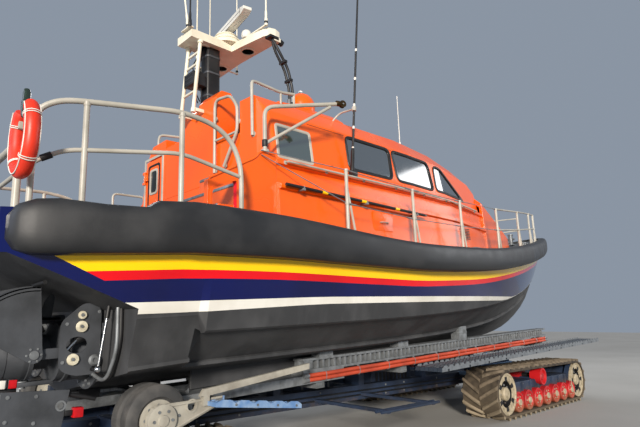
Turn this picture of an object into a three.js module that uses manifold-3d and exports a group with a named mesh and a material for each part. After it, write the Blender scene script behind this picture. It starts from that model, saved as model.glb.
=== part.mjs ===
// Waterjet rescue boat on a tracked launching carriage.
// Units are millimetres, +X runs to the bow, +Y to port and +Z up.
// The boat, and the cradle that carries it, are drawn in the boat's own frame: x runs forward from
// the transom and z up from the underside of the keel. That frame is then pitched bow up.
import * as THREE from 'three';
import { mergeVertices } from 'three/addons/utils/BufferGeometryUtils.js';
import Module from 'manifold-3d';

const wasm = await Module();
wasm.setup();

// Driving dimensions
const ROW_SHIFT = -6799.8;
const PITCH = THREE.MathUtils.degToRad(2.5);
const KEEL_HEIGHT = 800;
const SEAT_GAP = 0.3;
const WELD = 4;
const STARBOARD = -1;
const PORT = 1;

const FENDER_DEPTH = 205;
const DECK_BELOW_FENDER_TOP = 60;
const SPRAY_RAIL = 90;

const CABIN_AFT_X = 2620;
const CABIN_FORE_X = 8000;
const CABIN_WALL = 50;
const SILL_Z = 2500;
const WINDSCREEN_TOP = { x: 7240, z: 3270 };
const WINDSCREEN_FOOT = { x: 8000, z: 2880 };
const TRUNK_FORE_X = 9880;
const WELL = { foreX: 3620, starboardY: -1015, portY: 880, floorZ: 2450, wall: 50, topZ: 3390 };
const CHAMFER = { aftX: 2610, aftY: 1330, foreX: 2790, foreY: 1720, postX: 2748 };

const DOOR = { y0: 1000, y1: 1500, z0: 1750, z1: 3150, thick: 40, play: 12, hingeX: 2598 };

const MAST = { x: 3100, z0: 4550, z1: 4670, spineAft: 2400, spineHalf: 190, tipY: 930, tipR: 150 };
const SCANNER = { z0: 4915, high: 115, length: 1440, wide: 130, heading: 260, neckR: 60 };

const JET = { y: 780, z: 500, wallX: 1020, pivotX: 470, bucketX: 450, armY: 350, plateY: 360 };

const RAIL_R = 24;
const WIRE_R = 7;

const TRACK = {
  outerY: 1800, width: 640, sprocketX: 7500, idlerX: 10700, radius: 420, belt: 45, lug: 35,
  lugStep: 290, lugHalf: 24, sweep: 40,
};
const LUG_SUNK = 12;
const LUG_SHY = 0.3;
const BOGIE = { count: 7, firstX: 7940, pitch: 403, radius: 170 };
const AFT_TRACK = {
  outerY: 1130, width: 560, sprocketX: 560, idlerX: 2500, radius: 235, belt: 40, lug: 30,
  lugStep: 260, lugHalf: 24, sweep: 0,
};
const GUIDE = { x: 1350, z: 760, radius: 290, y0: 1265, wide: 150, space: 30 };
const CROSS_X = [1780, 3600, 5300, 7000, 8700, 10200];

const KNUCKLE_X = 1600;
const EVEN_STATIONS = Array.from({ length: 17 }, (_, i) => 2250 + i * 660);
const STATIONS = [0, 1330, 1540, KNUCKLE_X, ...EVEN_STATIONS, 13300, 13600];
const LIP_DEEP = 25;
const JET_BAY = { aftX: -50, foot: -100, fore: { z: 850 }, aft: { x: 60, z: 1275 }, half: 2500 };
const ENGINE_ROOM = { x0: 1500, x1: 3400, half: 1180, floorZ: 480, lid: 55 };
const WINDOW_CORNER = 90;
const PANE = { low: 2535, high: 3096, footIn: 1.3, headIn: 7.3, thick: 17 };
const HINGE = { half: 60, end: 100, radius: 16, fromEnd: 250 };
const FAIRING = {
  underZ: 3440,
  halfStarboard: 1130,
  halfPort: 1030,
  domeX: 3785,
  domeY: 880,
  domeZ: 3640,
  domeR: 200,
  domeHigh: 215,
};
const BULWARK = { aftX: 1740, y0: -1705, y1: -1640, innerY: -420 };
const LADDER = { legY: 160, footX: 2464, footZ: 3480, headX: 2560 };
const SIDE_WHIP = { x: 3940, y: -1668, footZ: 2540, lean: 0.108, tipZ: 6500 };
const STERN_RAIL = { x: 150, half: 1480, topZ: 2200, middleZ: 1930, radius: 30 };
const BUOY = { x: 96, y: -1830, z: 2130, wide: 500, high: 650, radius: 56, mouth: 70, steps: 12 };
const DAVIT = { x: 2490, y: -1670, footZ: 2500, bendZ: 3090, radius: 24 };
const RACK = {
  x0: 3300, x1: 10400, inner: 1150, outer: 1330, webY: 1215, lowZ: 60, highZ: 215, leaf: 28, slotStep: 620,
};
const MEMBER_HALF = 1300;
const RETURN_WHEEL = { x: 9000, z: 600, radius: 150 };
const CHASSIS = { beamY0: 330, beamY1: 480, z0: 430, z1: 640, aftX: 150, foreX: 11500 };
const WALKWAY = { aftX: 5450, foreX: 12100, innerY: 1400, outerY: 1850, deep: 55, teeth: 22, tooth: 28 };

// Fender and deck edge. Columns: x, hull half-breadth at the fender, top of fender, height of fender
const SHEER = table(['x', 'seatY', 'topZ', 'high'], [
  [0, 1745, 1665, 420],
  [1330, 2060, 1730, 440],
  [1600, 2065, 1730, 438],
  [2450, 2065, 1712, 420],
  [4080, 2065, 1614, 360],
  [5000, 2065, 1600, 358],
  [7000, 1915, 1685, 365],
  [9000, 1575, 1895, 375],
  [11000, 1055, 2165, 385],
  [12400, 590, 2370, 395],
  [13300, 260, 2510, 400],
  [13600, 130, 2560, 400],
]);

// Hull below the fender. Columns: keel height, lower rail, chine
const HULL = table(['x', 'keelZ', 'railY', 'railZ', 'chineY', 'chineZ', 'lip'], [
  [0, 60, 1560, 300, 1650, 760, 8.5],
  [1540, 0, 1760, 390, 1899, 800, 8.5],
  [1600, 0, 1500, 320, 1930, 645, 90],
  [3000, 0, 1500, 325, 1940, 650, 90],
  [5000, 0, 1460, 335, 1920, 670, 90],
  [7000, 0, 1260, 370, 1740, 740, 90],
  [9000, 10, 930, 480, 1370, 900, 90],
  [11000, 220, 520, 760, 850, 1190, 90],
  [12400, 800, 230, 1180, 430, 1560, 86],
  [13300, 1600, 80, 1770, 170, 1950, 34],
  [13600, 2050, 40, 2080, 90, 2120, 18],
]);

// Breadth of the cabin along its length. Columns: x, share of full breadth, roof height at the middle
const CABIN = table(['x', 'broad', 'roofZ'], [
  [CABIN_AFT_X, 1, 3410],
  [5400, 1, 3430],
  [6400, 0.965, 3375],
  [7300, 0.87, 3290],
  [CABIN_FORE_X, 0.79, 3200],
]);

const LOWER_SECTION = table(['y', 'z'], [
  [1800, 1400],
  [1745, 2110],
  [1790, 2125],
  [1790, 2175],
  [1705, 2200],
  [1680, 2405],
  [1725, 2420],
  [1725, 2465],
  [1640, SILL_Z],
]);

// Upper cabin. Columns: half-breadth, height, drop of the point with the roof line forward
const UPPER_SECTION = table(['y', 'z', 'drop'], [
  [1625, SILL_Z, 0],
  [1600, 2570, 0],
  [1495, 3130, 0.6],
  [1300, 3370, 1],
]);

// Side windows. Columns: lower aft, lower fore, upper fore and upper aft corners
const WINDOWS = table(['name', 'aftX', 'foreX', 'topForeX', 'topAftX', 'sillZ', 'headZ'], [
  ['aft', 2750, 3280, 3300, 2770, 2550, 2960],
  ['second', 3985, 4910, 4960, 4020, 2625, 3090],
  ['third', 5050, 6040, 6030, 5030, 2625, 3085],
  ['quarter', 6150, 7190, 6440, 6215, 2640, 3065],
]);

// Stanchions of the fore guard rail. Columns: x, inset from the fender seat, height
const STANCHIONS = table(['x', 'inset', 'high'], [
  [3440, 55, 830],
  [4770, 55, 830],
  [6150, 55, 820],
  [7750, 55, 790],
  [9350, 55, 780],
  [10900, 55, 760],
  [12200, 60, 740],
  [13150, 90, 720],
]);

// Whips on the mast platform, clear of the scanner's sweep. Columns: foot, height of tip, lean forward
const WHIPS = table(['x', 'y', 'radius', 'tipZ', 'lean'], [
  [3135, -915, 12, 7000, 0],
  [3135, 915, 12, 7000, 0],
  [3300, 785, 10, 6800, 0],
  [3690, 565, 10, 6600, 0],
  [2370, -200, 12, 6300, 0],
  [2385, -130, 12, 6900, -0.14],
]);

// Ends of the fender, rounded off at the transom. Columns: x, share of the full section
const FENDER_END = table(['x', 'scale'], [
  [40, 0.4],
  [90, 0.78],
  [190, 0.96],
  [330, 1],
]);

// Worn dip in the top of the fender beside the transom. Columns: x, depth
const DIP = table(['x', 'down'], [
  [330, 6],
  [650, 42],
  [960, 57],
  [1040, 0],
  [13600, 0],
]);

// Half section of the fender: share of the depth outward, share of the half height upward
const FENDER_SECTION = [
  [0, -1], [0.55, -1], [0.92, -0.66], [1, 0], [0.92, 0.66], [0.55, 1], [0, 1],
];

const SEATS = table(['x', 'y'], [
  [4400, -700],
  [4400, 700],
  [5500, -800],
  [5500, 800],
  [6300, 0],
]);

// Hoses along the cradle's channels
const HOSES = table(['y', 'z', 'radius'], [
  [1340, 20, 22],
  [1340, -30, 22],
]);

const sides = [['starboard', STARBOARD], ['port', PORT]];

const COLOURS = {
  navy: 0x16205a,
  rubber: 0x26272a,
  bottom: 0x3c3d40,
  orange: 0xef5f10,
  glass: 0x1b2420,
  rail: 0xc9c5ba,
  cream: 0xe4dfcc,
  black: 0x18181a,
  iron: 0x55575c,
  buoy: 0xe2401c,
  jet: 0x4a4d52,
  steel: 0x8a8d90,
  grate: 0x44474c,
  belt: 0x4c3a2b,
  wheel: 0xb3161a,
  seat: 0x24262b,
};

function table(columns, rows) {
  return rows.map((row) => Object.fromEntries(columns.map((column, index) => [column, row[index]])));
}

// Number of the row of a table that ends the span with a place in it
function spanAt(rows, x) {
  const found = rows.findIndex((row) => row.x >= x);
  return found < 0 ? rows.length - 1 : Math.max(found, 1);
}

// Value of a table's column at a place between two of its rows
function between(rows, column, x) {
  const index = spanAt(rows, x);
  const [from, to] = [rows[index - 1], rows[index]];
  const share = THREE.MathUtils.clamp((x - from.x) / (to.x - from.x), 0, 1);
  return THREE.MathUtils.lerp(from[column], to[column], share);
}

// Value of a column on a smooth curve, straight up to the knuckle and in the last span
function eased(rows, column, x) {
  const index = spanAt(rows, x);
  const [from, to] = [rows[index - 1], rows[index]];
  if (from.x < KNUCKLE_X || index === rows.length - 1) return between(rows, column, x);
  const slope = (at) => {
    const before = rows[at].x > KNUCKLE_X ? rows[at - 1] : rows[at];
    return (rows[at + 1][column] - before[column]) / (rows[at + 1].x - before.x);
  };
  const span = to.x - from.x;
  const share = (x - from.x) / span;
  const [square, cube] = [share ** 2, share ** 3];
  return (2 * cube - 3 * square + 1) * from[column] + (cube - 2 * square + share) * span * slope(index - 1)
    + (3 * square - 2 * cube) * to[column] + (cube - square) * span * slope(index);
}

function deckZ(x) {
  return eased(SHEER, 'topZ', x) - DECK_BELOW_FENDER_TOP;
}

// Height of the deck as the hull's skin has it between its stations
function skinDeckZ(x) {
  return between(STATIONS.map((station) => ({ x: station, z: deckZ(station) })), 'z', x);
}

// Shapes and solids
function solid(geometry) {
  geometry.deleteAttribute('normal');
  geometry.deleteAttribute('uv');
  const welded = mergeVertices(geometry, 1e-2);
  const vertProperties = Float32Array.from(welded.attributes.position.array);
  const triVerts = Uint32Array.from(welded.index.array);
  if (signedVolume(vertProperties, triVerts) < 0) {
    for (let i = 0; i < triVerts.length; i += 3) {
      [triVerts[i], triVerts[i + 1]] = [triVerts[i + 1], triVerts[i]];
    }
  }
  return new wasm.Manifold(new wasm.Mesh({ numProp: 3, vertProperties, triVerts }));
}

function signedVolume(points, corners) {
  const [a, b, c] = [new THREE.Vector3(), new THREE.Vector3(), new THREE.Vector3()];
  let volume = 0;
  for (let i = 0; i < corners.length; i += 3) {
    a.fromArray(points, corners[i] * 3);
    b.fromArray(points, corners[i + 1] * 3);
    c.fromArray(points, corners[i + 2] * 3);
    volume += a.dot(b.cross(c)) / 6;
  }
  return volume;
}

function placed(body, matrix) {
  const { numProp, vertProperties, triVerts } = body.getMesh();
  const points = new THREE.BufferAttribute(Float32Array.from(vertProperties), numProp);
  points.applyMatrix4(matrix);
  return new wasm.Manifold(new wasm.Mesh({ numProp, vertProperties: points.array, triVerts }));
}

const shifted = (body, x, y, z) => placed(body, new THREE.Matrix4().makeTranslation(x, y, z));

const join = (...bodies) => bodies.flat().reduce((all, body) => all.add(body));

// A span of y on one side, low end first
const across = (side, from, to) => [side * from, side * to].sort((a, b) => a - b);

function box(x0, x1, y0, y1, z0, z1) {
  const geometry = new THREE.BoxGeometry(Math.abs(x1 - x0), Math.abs(y1 - y0), Math.abs(z1 - z0));
  geometry.translate((x0 + x1) / 2, (y0 + y1) / 2, (z0 + z1) / 2);
  return solid(geometry);
}

// An outline in one of the planes xy, xz or yz, drawn out along the third axis
function prism(plane, outline, from, to) {
  const shape = new THREE.Shape(outline.map(([a, b]) => new THREE.Vector2(a, b)));
  const geometry = new THREE.ExtrudeGeometry(shape, { depth: to - from, bevelEnabled: false });
  const unit = (axis) => new THREE.Vector3().setComponent(['x', 'y', 'z'].indexOf(axis), 1);
  const along = ['x', 'y', 'z'].find((axis) => !plane.includes(axis));
  geometry.translate(0, 0, from);
  geometry.applyMatrix4(new THREE.Matrix4().makeBasis(unit(plane[0]), unit(plane[1]), unit(along)));
  return solid(geometry);
}

// Outline with each corner rounded by a short curve
function rounded(outline, radius, steps = 2) {
  const points = outline.map(([a, b]) => new THREE.Vector2(a, b));
  return points.flatMap((corner, index) => {
    const toward = (other) => {
      const reach = Math.min(radius, corner.distanceTo(other) / 2);
      return other.clone().sub(corner).setLength(reach).add(corner);
    };
    const [before, after] = [points.at(index - 1), points[(index + 1) % points.length]];
    const curve = new THREE.QuadraticBezierCurve(toward(before), corner, toward(after));
    return curve.getPoints(steps).map(({ x, y }) => [x, y]);
  });
}

function rod(from, to, radius, sides = 8) {
  const [a, b] = [new THREE.Vector3(...from), new THREE.Vector3(...to)];
  const geometry = new THREE.CylinderGeometry(radius, radius, a.distanceTo(b), sides);
  const along = b.clone().sub(a).normalize();
  geometry.applyQuaternion(new THREE.Quaternion().setFromUnitVectors(new THREE.Vector3(0, 1, 0), along));
  geometry.translate((a.x + b.x) / 2, (a.y + b.y) / 2, (a.z + b.z) / 2);
  return solid(geometry);
}

// Tube through points, mitred at each bend
function pipe(points, radius, sides = 6) {
  const path = points.map((point) => new THREE.Vector3(...point));
  const heading = (index) => path[index + 1].clone().sub(path[index]).normalize();
  const side = new THREE.Vector3();
  const rings = path.map((point, index) => {
    const before = heading(Math.max(index - 1, 0));
    const after = heading(Math.min(index, path.length - 2));
    if (index === 0) side.set(before.z, before.x, before.y).cross(before).normalize();
    const mitre = before.clone().add(after).normalize();
    side.addScaledVector(before, -side.dot(before)).normalize();
    const up = new THREE.Vector3().crossVectors(before, side);
    return Array.from({ length: sides }, (_, step) => {
      const angle = (2 * Math.PI * step) / sides;
      const out = side.clone().multiplyScalar(Math.cos(angle) * radius);
      out.addScaledVector(up, Math.sin(angle) * radius);
      return point.clone().add(out.addScaledVector(before, -out.dot(mitre) / before.dot(mitre)));
    });
  });
  return skin(rings, (ring) => ring.map((_, step) => [0, step, step + 1]).slice(1, -1));
}

// Round body about an axis through a centre. Profile points are radius and place along the axis
function turned(profile, centre, axis, sides = 16) {
  const geometry = new THREE.LatheGeometry(profile.map(([r, h]) => new THREE.Vector2(r, h)), sides);
  const along = new THREE.Vector3().setComponent(['x', 'y', 'z'].indexOf(axis), 1);
  const turn = new THREE.Quaternion().setFromUnitVectors(new THREE.Vector3(0, 1, 0), along);
  geometry.applyQuaternion(turn);
  geometry.translate(...centre);
  return solid(geometry);
}

// Skin over closed rings of points that all have the same number, with both ends capped
function skin(rings, cap) {
  const count = rings[0].length;
  const points = rings.flat().flatMap((point) => point.toArray());
  const corners = [];
  for (let i = 0; i + 1 < rings.length; i += 1) {
    for (let j = 0; j < count; j += 1) {
      const [a, b] = [i * count + j, i * count + ((j + 1) % count)];
      corners.push(a, b, b + count, a, b + count, a + count);
    }
  }
  const last = (rings.length - 1) * count;
  for (const [a, b, c] of cap(rings[0])) corners.push(a, c, b);
  for (const [a, b, c] of cap(rings.at(-1))) corners.push(last + a, last + b, last + c);
  const geometry = new THREE.BufferGeometry();
  geometry.setAttribute('position', new THREE.Float32BufferAttribute(points, 3));
  geometry.setIndex(corners);
  return solid(geometry);
}

// A loft whose end rings lie in planes across x
function loft(rings) {
  return skin(rings, (ring) => {
    const flat = ring.map((point) => new THREE.Vector2(point.y, point.z));
    const turn = THREE.ShapeUtils.isClockWise(flat) ? -1 : 1;
    return THREE.ShapeUtils.triangulateShape(flat, []).map((corner) => {
      const face = corner.map((index) => flat[index]);
      return THREE.ShapeUtils.area(face) * turn > 0 ? corner : [corner[0], corner[2], corner[1]];
    });
  });
}

// Closed ring in the plane x from the points of its starboard half, middle points first and last
function wholeRing(x, half) {
  const starboard = half.map(([y, z]) => new THREE.Vector3(x, -y, z));
  const port = half.filter(([y]) => y > 0).reverse().map(([y, z]) => new THREE.Vector3(x, y, z));
  return [...starboard, ...port];
}

function mesh(name, body, colour, metalness = 0.1, roughness = 0.6) {
  const { vertProperties, triVerts } = body.getMesh();
  const geometry = new THREE.BufferGeometry();
  geometry.setAttribute('position', new THREE.BufferAttribute(vertProperties, 3));
  geometry.setIndex(new THREE.BufferAttribute(triVerts, 1));
  const paint = new THREE.MeshStandardMaterial({ color: colour, metalness, roughness });
  const piece = new THREE.Mesh(geometry, paint);
  piece.name = name;
  return piece;
}

// Hull
function hullSkin() {
  return loft(STATIONS.map((x) => {
    const [keelZ, railY, railZ, chineY, chineZ, lip] = ['keelZ', 'railY', 'railZ', 'chineY', 'chineZ', 'lip']
      .map((column) => eased(HULL, column, x));
    const [seatY, topZ, high] = ['seatY', 'topZ', 'high'].map((column) => eased(SHEER, column, x));
    return wholeRing(x, [
      [0, keelZ],
      [railY, railZ],
      [chineY - lip, chineZ - LIP_DEEP],
      [chineY, chineZ],
      [seatY, topZ - high],
      [seatY, topZ - DECK_BELOW_FENDER_TOP],
      [0, topZ - DECK_BELOW_FENDER_TOP],
    ]);
  }));
}

function hull() {
  const { aftX, foot, fore, aft, half: bayHalf } = JET_BAY;
  const outline = [[aftX, foot], [JET.wallX, foot], [JET.wallX, fore.z], [aft.x, aft.z], [aftX, aft.z]];
  const jetBay = prism('xz', outline, -bayHalf, bayHalf);
  const { x0, x1, half, floorZ } = ENGINE_ROOM;
  return hullSkin().subtract(jetBay).subtract(box(x0, x1, -half, half, floorZ, 2500));
}

// The lid of the engine room is as thick as the deck and follows it
function engineHatch() {
  const { x0, x1, half, lid } = ENGINE_ROOM;
  const gap = SEAT_GAP;
  const places = [x0 + gap, ...STATIONS.filter((x) => x > x0 + gap && x < x1 - gap), x1 - gap];
  const top = places.map((x) => [x, skinDeckZ(x)]);
  const outline = [...top.map(([x, z]) => [x, z - lid]), ...top.reverse()];
  return prism('xz', outline, -half + gap, half - gap);
}

function engine(side) {
  const floor = ENGINE_ROOM.floorZ + SEAT_GAP;
  return box(1750, 3200, ...across(side, 230, 1050), floor, floor + 860);
}

const HULL_BODY = hull();

function bilgeKeel(side) {
  const outline = [[1950, 400], [1950, 25], [3700, 60], [3960, 400]];
  const fin = prism('xz', outline, ...across(side, 1040, 1085));
  return fin.subtract(shifted(HULL_BODY, 0, 0, -SEAT_GAP)).subtract(box(1900, 4100, -1200, 1200, 345, 500));
}

// Fender: a D section on the hull's edge, carried round the bow
function fenderRing({ x, y, aimX, aimY, topZ, high, scale }) {
  const middle = topZ - high / 2;
  const half = (high / 2) * scale;
  const depth = FENDER_DEPTH * (0.35 + 0.65 * scale);
  return FENDER_SECTION.map(([out, up]) => {
    const reach = SEAT_GAP + out * depth;
    return new THREE.Vector3(x + aimX * reach, y + aimY * reach, middle + up * half);
  });
}

function fender() {
  const ends = FENDER_END.map(({ x }) => x);
  const dips = DIP.slice(1, -1).map(({ x }) => x);
  const places = [...ends, ...dips, ...STATIONS.slice(1, -1)].sort((a, b) => a - b);
  const row = (x) => ({
    x,
    y: eased(SHEER, 'seatY', x),
    topZ: eased(SHEER, 'topZ', x) - between(DIP, 'down', x),
    high: eased(SHEER, 'high', x) - between(DIP, 'down', x),
    scale: between(FENDER_END, 'scale', x),
  });
  const nose = row(STATIONS.at(-1));
  const edge = [...places.map(row), nose, { ...nose, y: 0 }];
  const half = edge.map((here, index) => {
    const [before, after] = [edge[index - 1] ?? here, edge[index + 1] ?? here];
    const normal = new THREE.Vector2(before.y - after.y, after.x - before.x).normalize();
    if (here.x < KNUCKLE_X) normal.set(0, 1);
    if (here.y === 0) normal.set(1, 0);
    return { ...here, aimX: normal.x, aimY: normal.y };
  });
  const mirrored = half.slice(0, -1).map((here) => ({ ...here, y: -here.y, aimY: -here.aimY })).reverse();
  return loft([...half, ...mirrored].map(fenderRing));
}

// Cabin
function upperHalf(row, inset) {
  const drop = CABIN[0].roofZ - row.roofZ;
  const points = UPPER_SECTION.map(({ y, z, drop: share }, index) => {
    const down = index > 1 ? inset * 0.6 : 0;
    return [y * row.broad - inset, z - drop * share - down];
  });
  return [[0, SILL_Z], ...points, [0, row.roofZ - inset]];
}

function windscreenCut(lower) {
  const { x: topX, z: topZ } = WINDSCREEN_TOP;
  const { x: footX, z: footZ } = WINDSCREEN_FOOT;
  const slope = (footZ - topZ) / (footX - topX);
  const at = (x) => topZ + slope * (x - topX) - lower;
  return prism('xz', [[6500, at(6500)], [8600, at(8600)], [8600, 4500], [6500, 4500]], -2000, 2000);
}

function windowCuts(side) {
  return WINDOWS.map(({ aftX, foreX, topForeX, topAftX, sillZ, headZ }) => {
    const outline = [[aftX, sillZ], [foreX, sillZ], [topForeX, headZ], [topAftX, headZ]];
    return prism('xz', rounded(outline, WINDOW_CORNER), ...across(side, 1000, 1900));
  });
}

function doorCut() {
  const { y0, y1, z0, z1, play } = DOOR;
  return box(2300, CABIN_AFT_X + 120, y0 - play, y1 + play, z0 - play, z1 + play);
}

// The starboard aft corner of the upper cabin is cut off in plan
function cornerCut() {
  const { aftX, aftY, foreX, foreY } = CHAMFER;
  const outline = [
    [aftX - 100, -aftY], [aftX, -aftY], [foreX, -foreY], [foreX, -foreY - 200], [aftX - 100, -foreY - 200],
  ];
  return prism('xy', outline, SILL_Z - SEAT_GAP, 3600);
}

// The windscreen opening, in two halves either side of a middle pillar
function windscreenOpenings() {
  const aft = WINDSCREEN_TOP.x + 130;
  const fore = WINDSCREEN_FOOT.x - 90;
  return [STARBOARD, PORT].map((side) => {
    const outline = [[aft, side * 60], [fore, side * 60], [fore, side * 1080], [aft, side * 1000]];
    return prism('xy', outline, 2780, 3600);
  });
}

function cabinUpper() {
  const outer = cabinUpperSkin();
  const inner = loft(CABIN.map((row, index) => {
    const aft = index === 0 ? CABIN_WALL : 0;
    const fore = index === CABIN.length - 1 ? CABIN_WALL : 0;
    const half = upperHalf(row, CABIN_WALL).map(([y, z]) => [y, z === SILL_Z ? SILL_Z - 20 : z]);
    return wholeRing(row.x + aft + fore, half);
  }));
  const shell = outer.subtract(windscreenCut(0)).subtract(inner.subtract(windscreenCut(CABIN_WALL)));
  const { foreX, starboardY, portY, floorZ, wall, topZ } = WELL;
  const wellWalls = box(CABIN_AFT_X, foreX + wall, starboardY - wall, portY + wall, SILL_Z, topZ);
  const well = box(CABIN_AFT_X - 50, foreX, starboardY, portY, floorZ, 3600);
  const { postX } = CHAMFER;
  const post = prism('xy', [
    [CABIN_AFT_X, -1280], [CABIN_AFT_X, -1700], [postX, -1700], [postX, -1504],
  ], SILL_Z, 3400);
  const windows = [...windowCuts(STARBOARD), ...windowCuts(PORT), ...windscreenOpenings()];
  const cuts = join(windows, doorCut(), cornerCut());
  return shell.add(join(wellWalls, post).intersect(outer)).subtract(well).subtract(cuts);
}

// Lower cabin: walls on the deck, with the floor of the open steering place on top
function lowerRing(x, broad, inset) {
  const points = LOWER_SECTION.map(({ y, z }) => [y * broad - inset, z]);
  return wholeRing(x, [[0, 1400], ...points, [0, SILL_Z]]);
}

function cabinLower() {
  const outer = cabinLowerSkin();
  const inner = loft(CABIN.map((row, index) => {
    const x = row.x + (index === 0 ? CABIN_WALL : 0) + (index === CABIN.length - 1 ? CABIN_WALL : 0);
    const points = LOWER_SECTION.map(({ y, z }) => [Math.min(y, 1700) * row.broad - CABIN_WALL, z]);
    points[points.length - 1][1] = SILL_Z + 50;
    return wholeRing(x, [[0, 1400], ...points, [0, SILL_Z + 50]]);
  }));
  const { foreX, starboardY, portY, floorZ, wall } = WELL;
  const slab = floorZ - 60;
  const floor = box(CABIN_AFT_X, foreX + wall, starboardY - 200, portY + 200, slab, floorZ);
  const edge = box(CABIN_AFT_X, foreX + wall, starboardY - wall, portY + wall, slab, SILL_Z);
  const well = box(CABIN_AFT_X - 50, foreX, starboardY, portY, floorZ, SILL_Z + 100);
  const walls = outer.subtract(inner).add(floor).add(edge).subtract(well).subtract(doorCut());
  const deck = shifted(hullSkin(), 0, 0, SEAT_GAP);
  return walls.subtract(deck).subtract(box(2000, 9000, -2500, 2500, 1300, 1500))
    .subtract(box(2000, 9000, -2500, 2500, SILL_Z - SEAT_GAP, SILL_Z + 200));
}

// Fore trunk ahead of the windscreen. Columns: x, half-breadth at the deck and at the top, height
const TRUNK = table(['x', 'footY', 'topY', 'topZ'], [
  [CABIN_FORE_X + SEAT_GAP, 1420, 1180, 2870],
  [9300, 1140, 930, 2530],
  [TRUNK_FORE_X, 1010, 820, 2370],
]);

function foreTrunk() {
  const half = (row, inset) => [
    [0, 1500],
    [row.footY - inset, 1500],
    [row.footY - inset - 60, row.topZ - 200 - inset],
    [row.topY - inset, row.topZ - 40 - inset],
    [row.topY - 120, row.topZ - inset],
    [0, row.topZ - inset],
  ];
  const outer = loft(TRUNK.map((row) => wholeRing(row.x, half(row, 0))));
  const inner = loft(TRUNK.map((row, index) => {
    const back = index === 1 ? 0 : CABIN_WALL;
    return wholeRing(row.x - back, half(row, CABIN_WALL));
  }));
  const deck = shifted(hullSkin(), 0, 0, SEAT_GAP);
  return outer.subtract(inner).subtract(deck).subtract(box(7000, 12000, -2500, 2500, 1300, 1700));
}

// One long pane behind the side windows, against the inside of the wall
function glazing(side) {
  const aftX = CHAMFER.postX + SEAT_GAP;
  const stations = CABIN.slice(0, -1).map((row) => ({ ...row, x: Math.max(row.x, aftX) }));
  const [knee, brow] = UPPER_SECTION.slice(1, 3);
  const ring = (row) => {
    const drop = (CABIN[0].roofZ - row.roofZ) * brow.drop;
    const wall = (z) => {
      const share = (z - knee.z) / (brow.z - drop - knee.z);
      return THREE.MathUtils.lerp(knee.y * row.broad, brow.y * row.broad, share) - CABIN_WALL;
    };
    const at = (y, z) => new THREE.Vector3(row.x, side * y, z);
    const [low, high] = [PANE.low, PANE.high - drop];
    return [
      at(wall(low) - PANE.footIn, low),
      at(wall(high) - PANE.headIn, high),
      at(wall(high) - PANE.headIn - PANE.thick, high),
      at(wall(low) - PANE.footIn - PANE.thick, low),
    ];
  };
  return loft(stations.map(ring));
}

function windscreenPane() {
  const { x: topX, z: topZ } = WINDSCREEN_TOP;
  const { x: footX, z: footZ } = WINDSCREEN_FOOT;
  const slope = (footZ - topZ) / (footX - topX);
  const down = CABIN_WALL + SEAT_GAP;
  const thick = 14;
  const at = (x, deep) => [x, topZ + slope * (x - topX) - deep];
  const [aft, fore] = [topX + 90, footX - 60];
  const outline = [at(aft, down), at(fore, down), at(fore, down + thick), at(aft, down + thick)];
  const plan = [[topX, -1030], [footX, -1120], [footX, 1120], [topX, 1030]];
  return prism('xz', outline, -1120, 1120).intersect(prism('xy', plan, 2500, 3500));
}

const hingeHeights = () => [DOOR.z0 + HINGE.fromEnd, DOOR.z1 - HINGE.fromEnd];

function cabinDoor() {
  const { y0, y1, z0, z1, thick, play, hingeX } = DOOR;
  const leaf = box(CABIN_AFT_X + 4, CABIN_AFT_X + 4 + thick, y0, y1, z0, z1);
  const knuckles = hingeHeights().map((z) => join(
    rod([hingeX, y1 + play, z - HINGE.half], [hingeX, y1 + play, z + HINGE.half], HINGE.radius),
    box(hingeX - 10, CABIN_AFT_X + 24, y1 - 60, y1 + 4, z - 50, z + 50),
  ));
  const y = y0 + 70;
  const handle = join(
    rod([CABIN_AFT_X + 6, y, 2400], [CABIN_AFT_X - 45, y, 2400], 14),
    rod([CABIN_AFT_X - 40, y, 2310], [CABIN_AFT_X - 40, y, 2490], 12),
  );
  return join(leaf, knuckles, handle);
}

// The door's frame carries the other half of each hinge
function doorHinges() {
  const { y1, play, hingeX } = DOOR;
  const { half, radius, end } = HINGE;
  return hingeHeights().flatMap((z) => [-1, 1].map((up) => join(
    rod([hingeX, y1 + play, z + up * (half + SEAT_GAP)], [hingeX, y1 + play, z + up * end], radius),
    box(hingeX - 10, CABIN_AFT_X + 10, y1 + play, y1 + play + 60, z + up * (half + SEAT_GAP), z + up * end),
  )));
}

function cockpitFairing() {
  const floor = WELL.floorZ + SEAT_GAP;
  const fore = WELL.foreX - SEAT_GAP;
  const { underZ, halfStarboard, halfPort, domeY, domeX, domeZ, domeR, domeHigh } = FAIRING;
  const console = prism('xz', [
    [3430, floor], [fore, floor], [fore, underZ + 60], [3360, underZ + 20], [3350, 3380], [3350, 3250],
  ], WELL.starboardY + 30, WELL.portY - 30);
  const brow = prism('xz', [
    [3150, 3470], [3280, 3420], [3400, underZ], [4420, underZ], [4400, 3500], [4250, 3590], [4070, 3640],
    [3700, 3585], [3155, 3497],
  ], -halfStarboard, halfPort);
  const crown = prism('yz', [
    [-halfStarboard, 3400], [-halfStarboard, 3490], [-halfStarboard + 60, 3560], [-halfStarboard + 180, 3620],
    [-halfStarboard + 330, 3660], [halfPort - 330, 3660], [halfPort - 180, 3620], [halfPort - 60, 3560],
    [halfPort, 3490], [halfPort, 3400],
  ], 3000, 4600);
  const domes = [-domeY, domeY - 80].map((y) => {
    const dome = new THREE.SphereGeometry(1, 12, 8);
    dome.scale(domeR, domeR, domeHigh);
    dome.translate(domeX, y, domeZ);
    return solid(dome).subtract(box(3000, 4800, -1500, 1500, 3000, 3520));
  });
  return join(console, brow.intersect(crown), domes);
}

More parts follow.
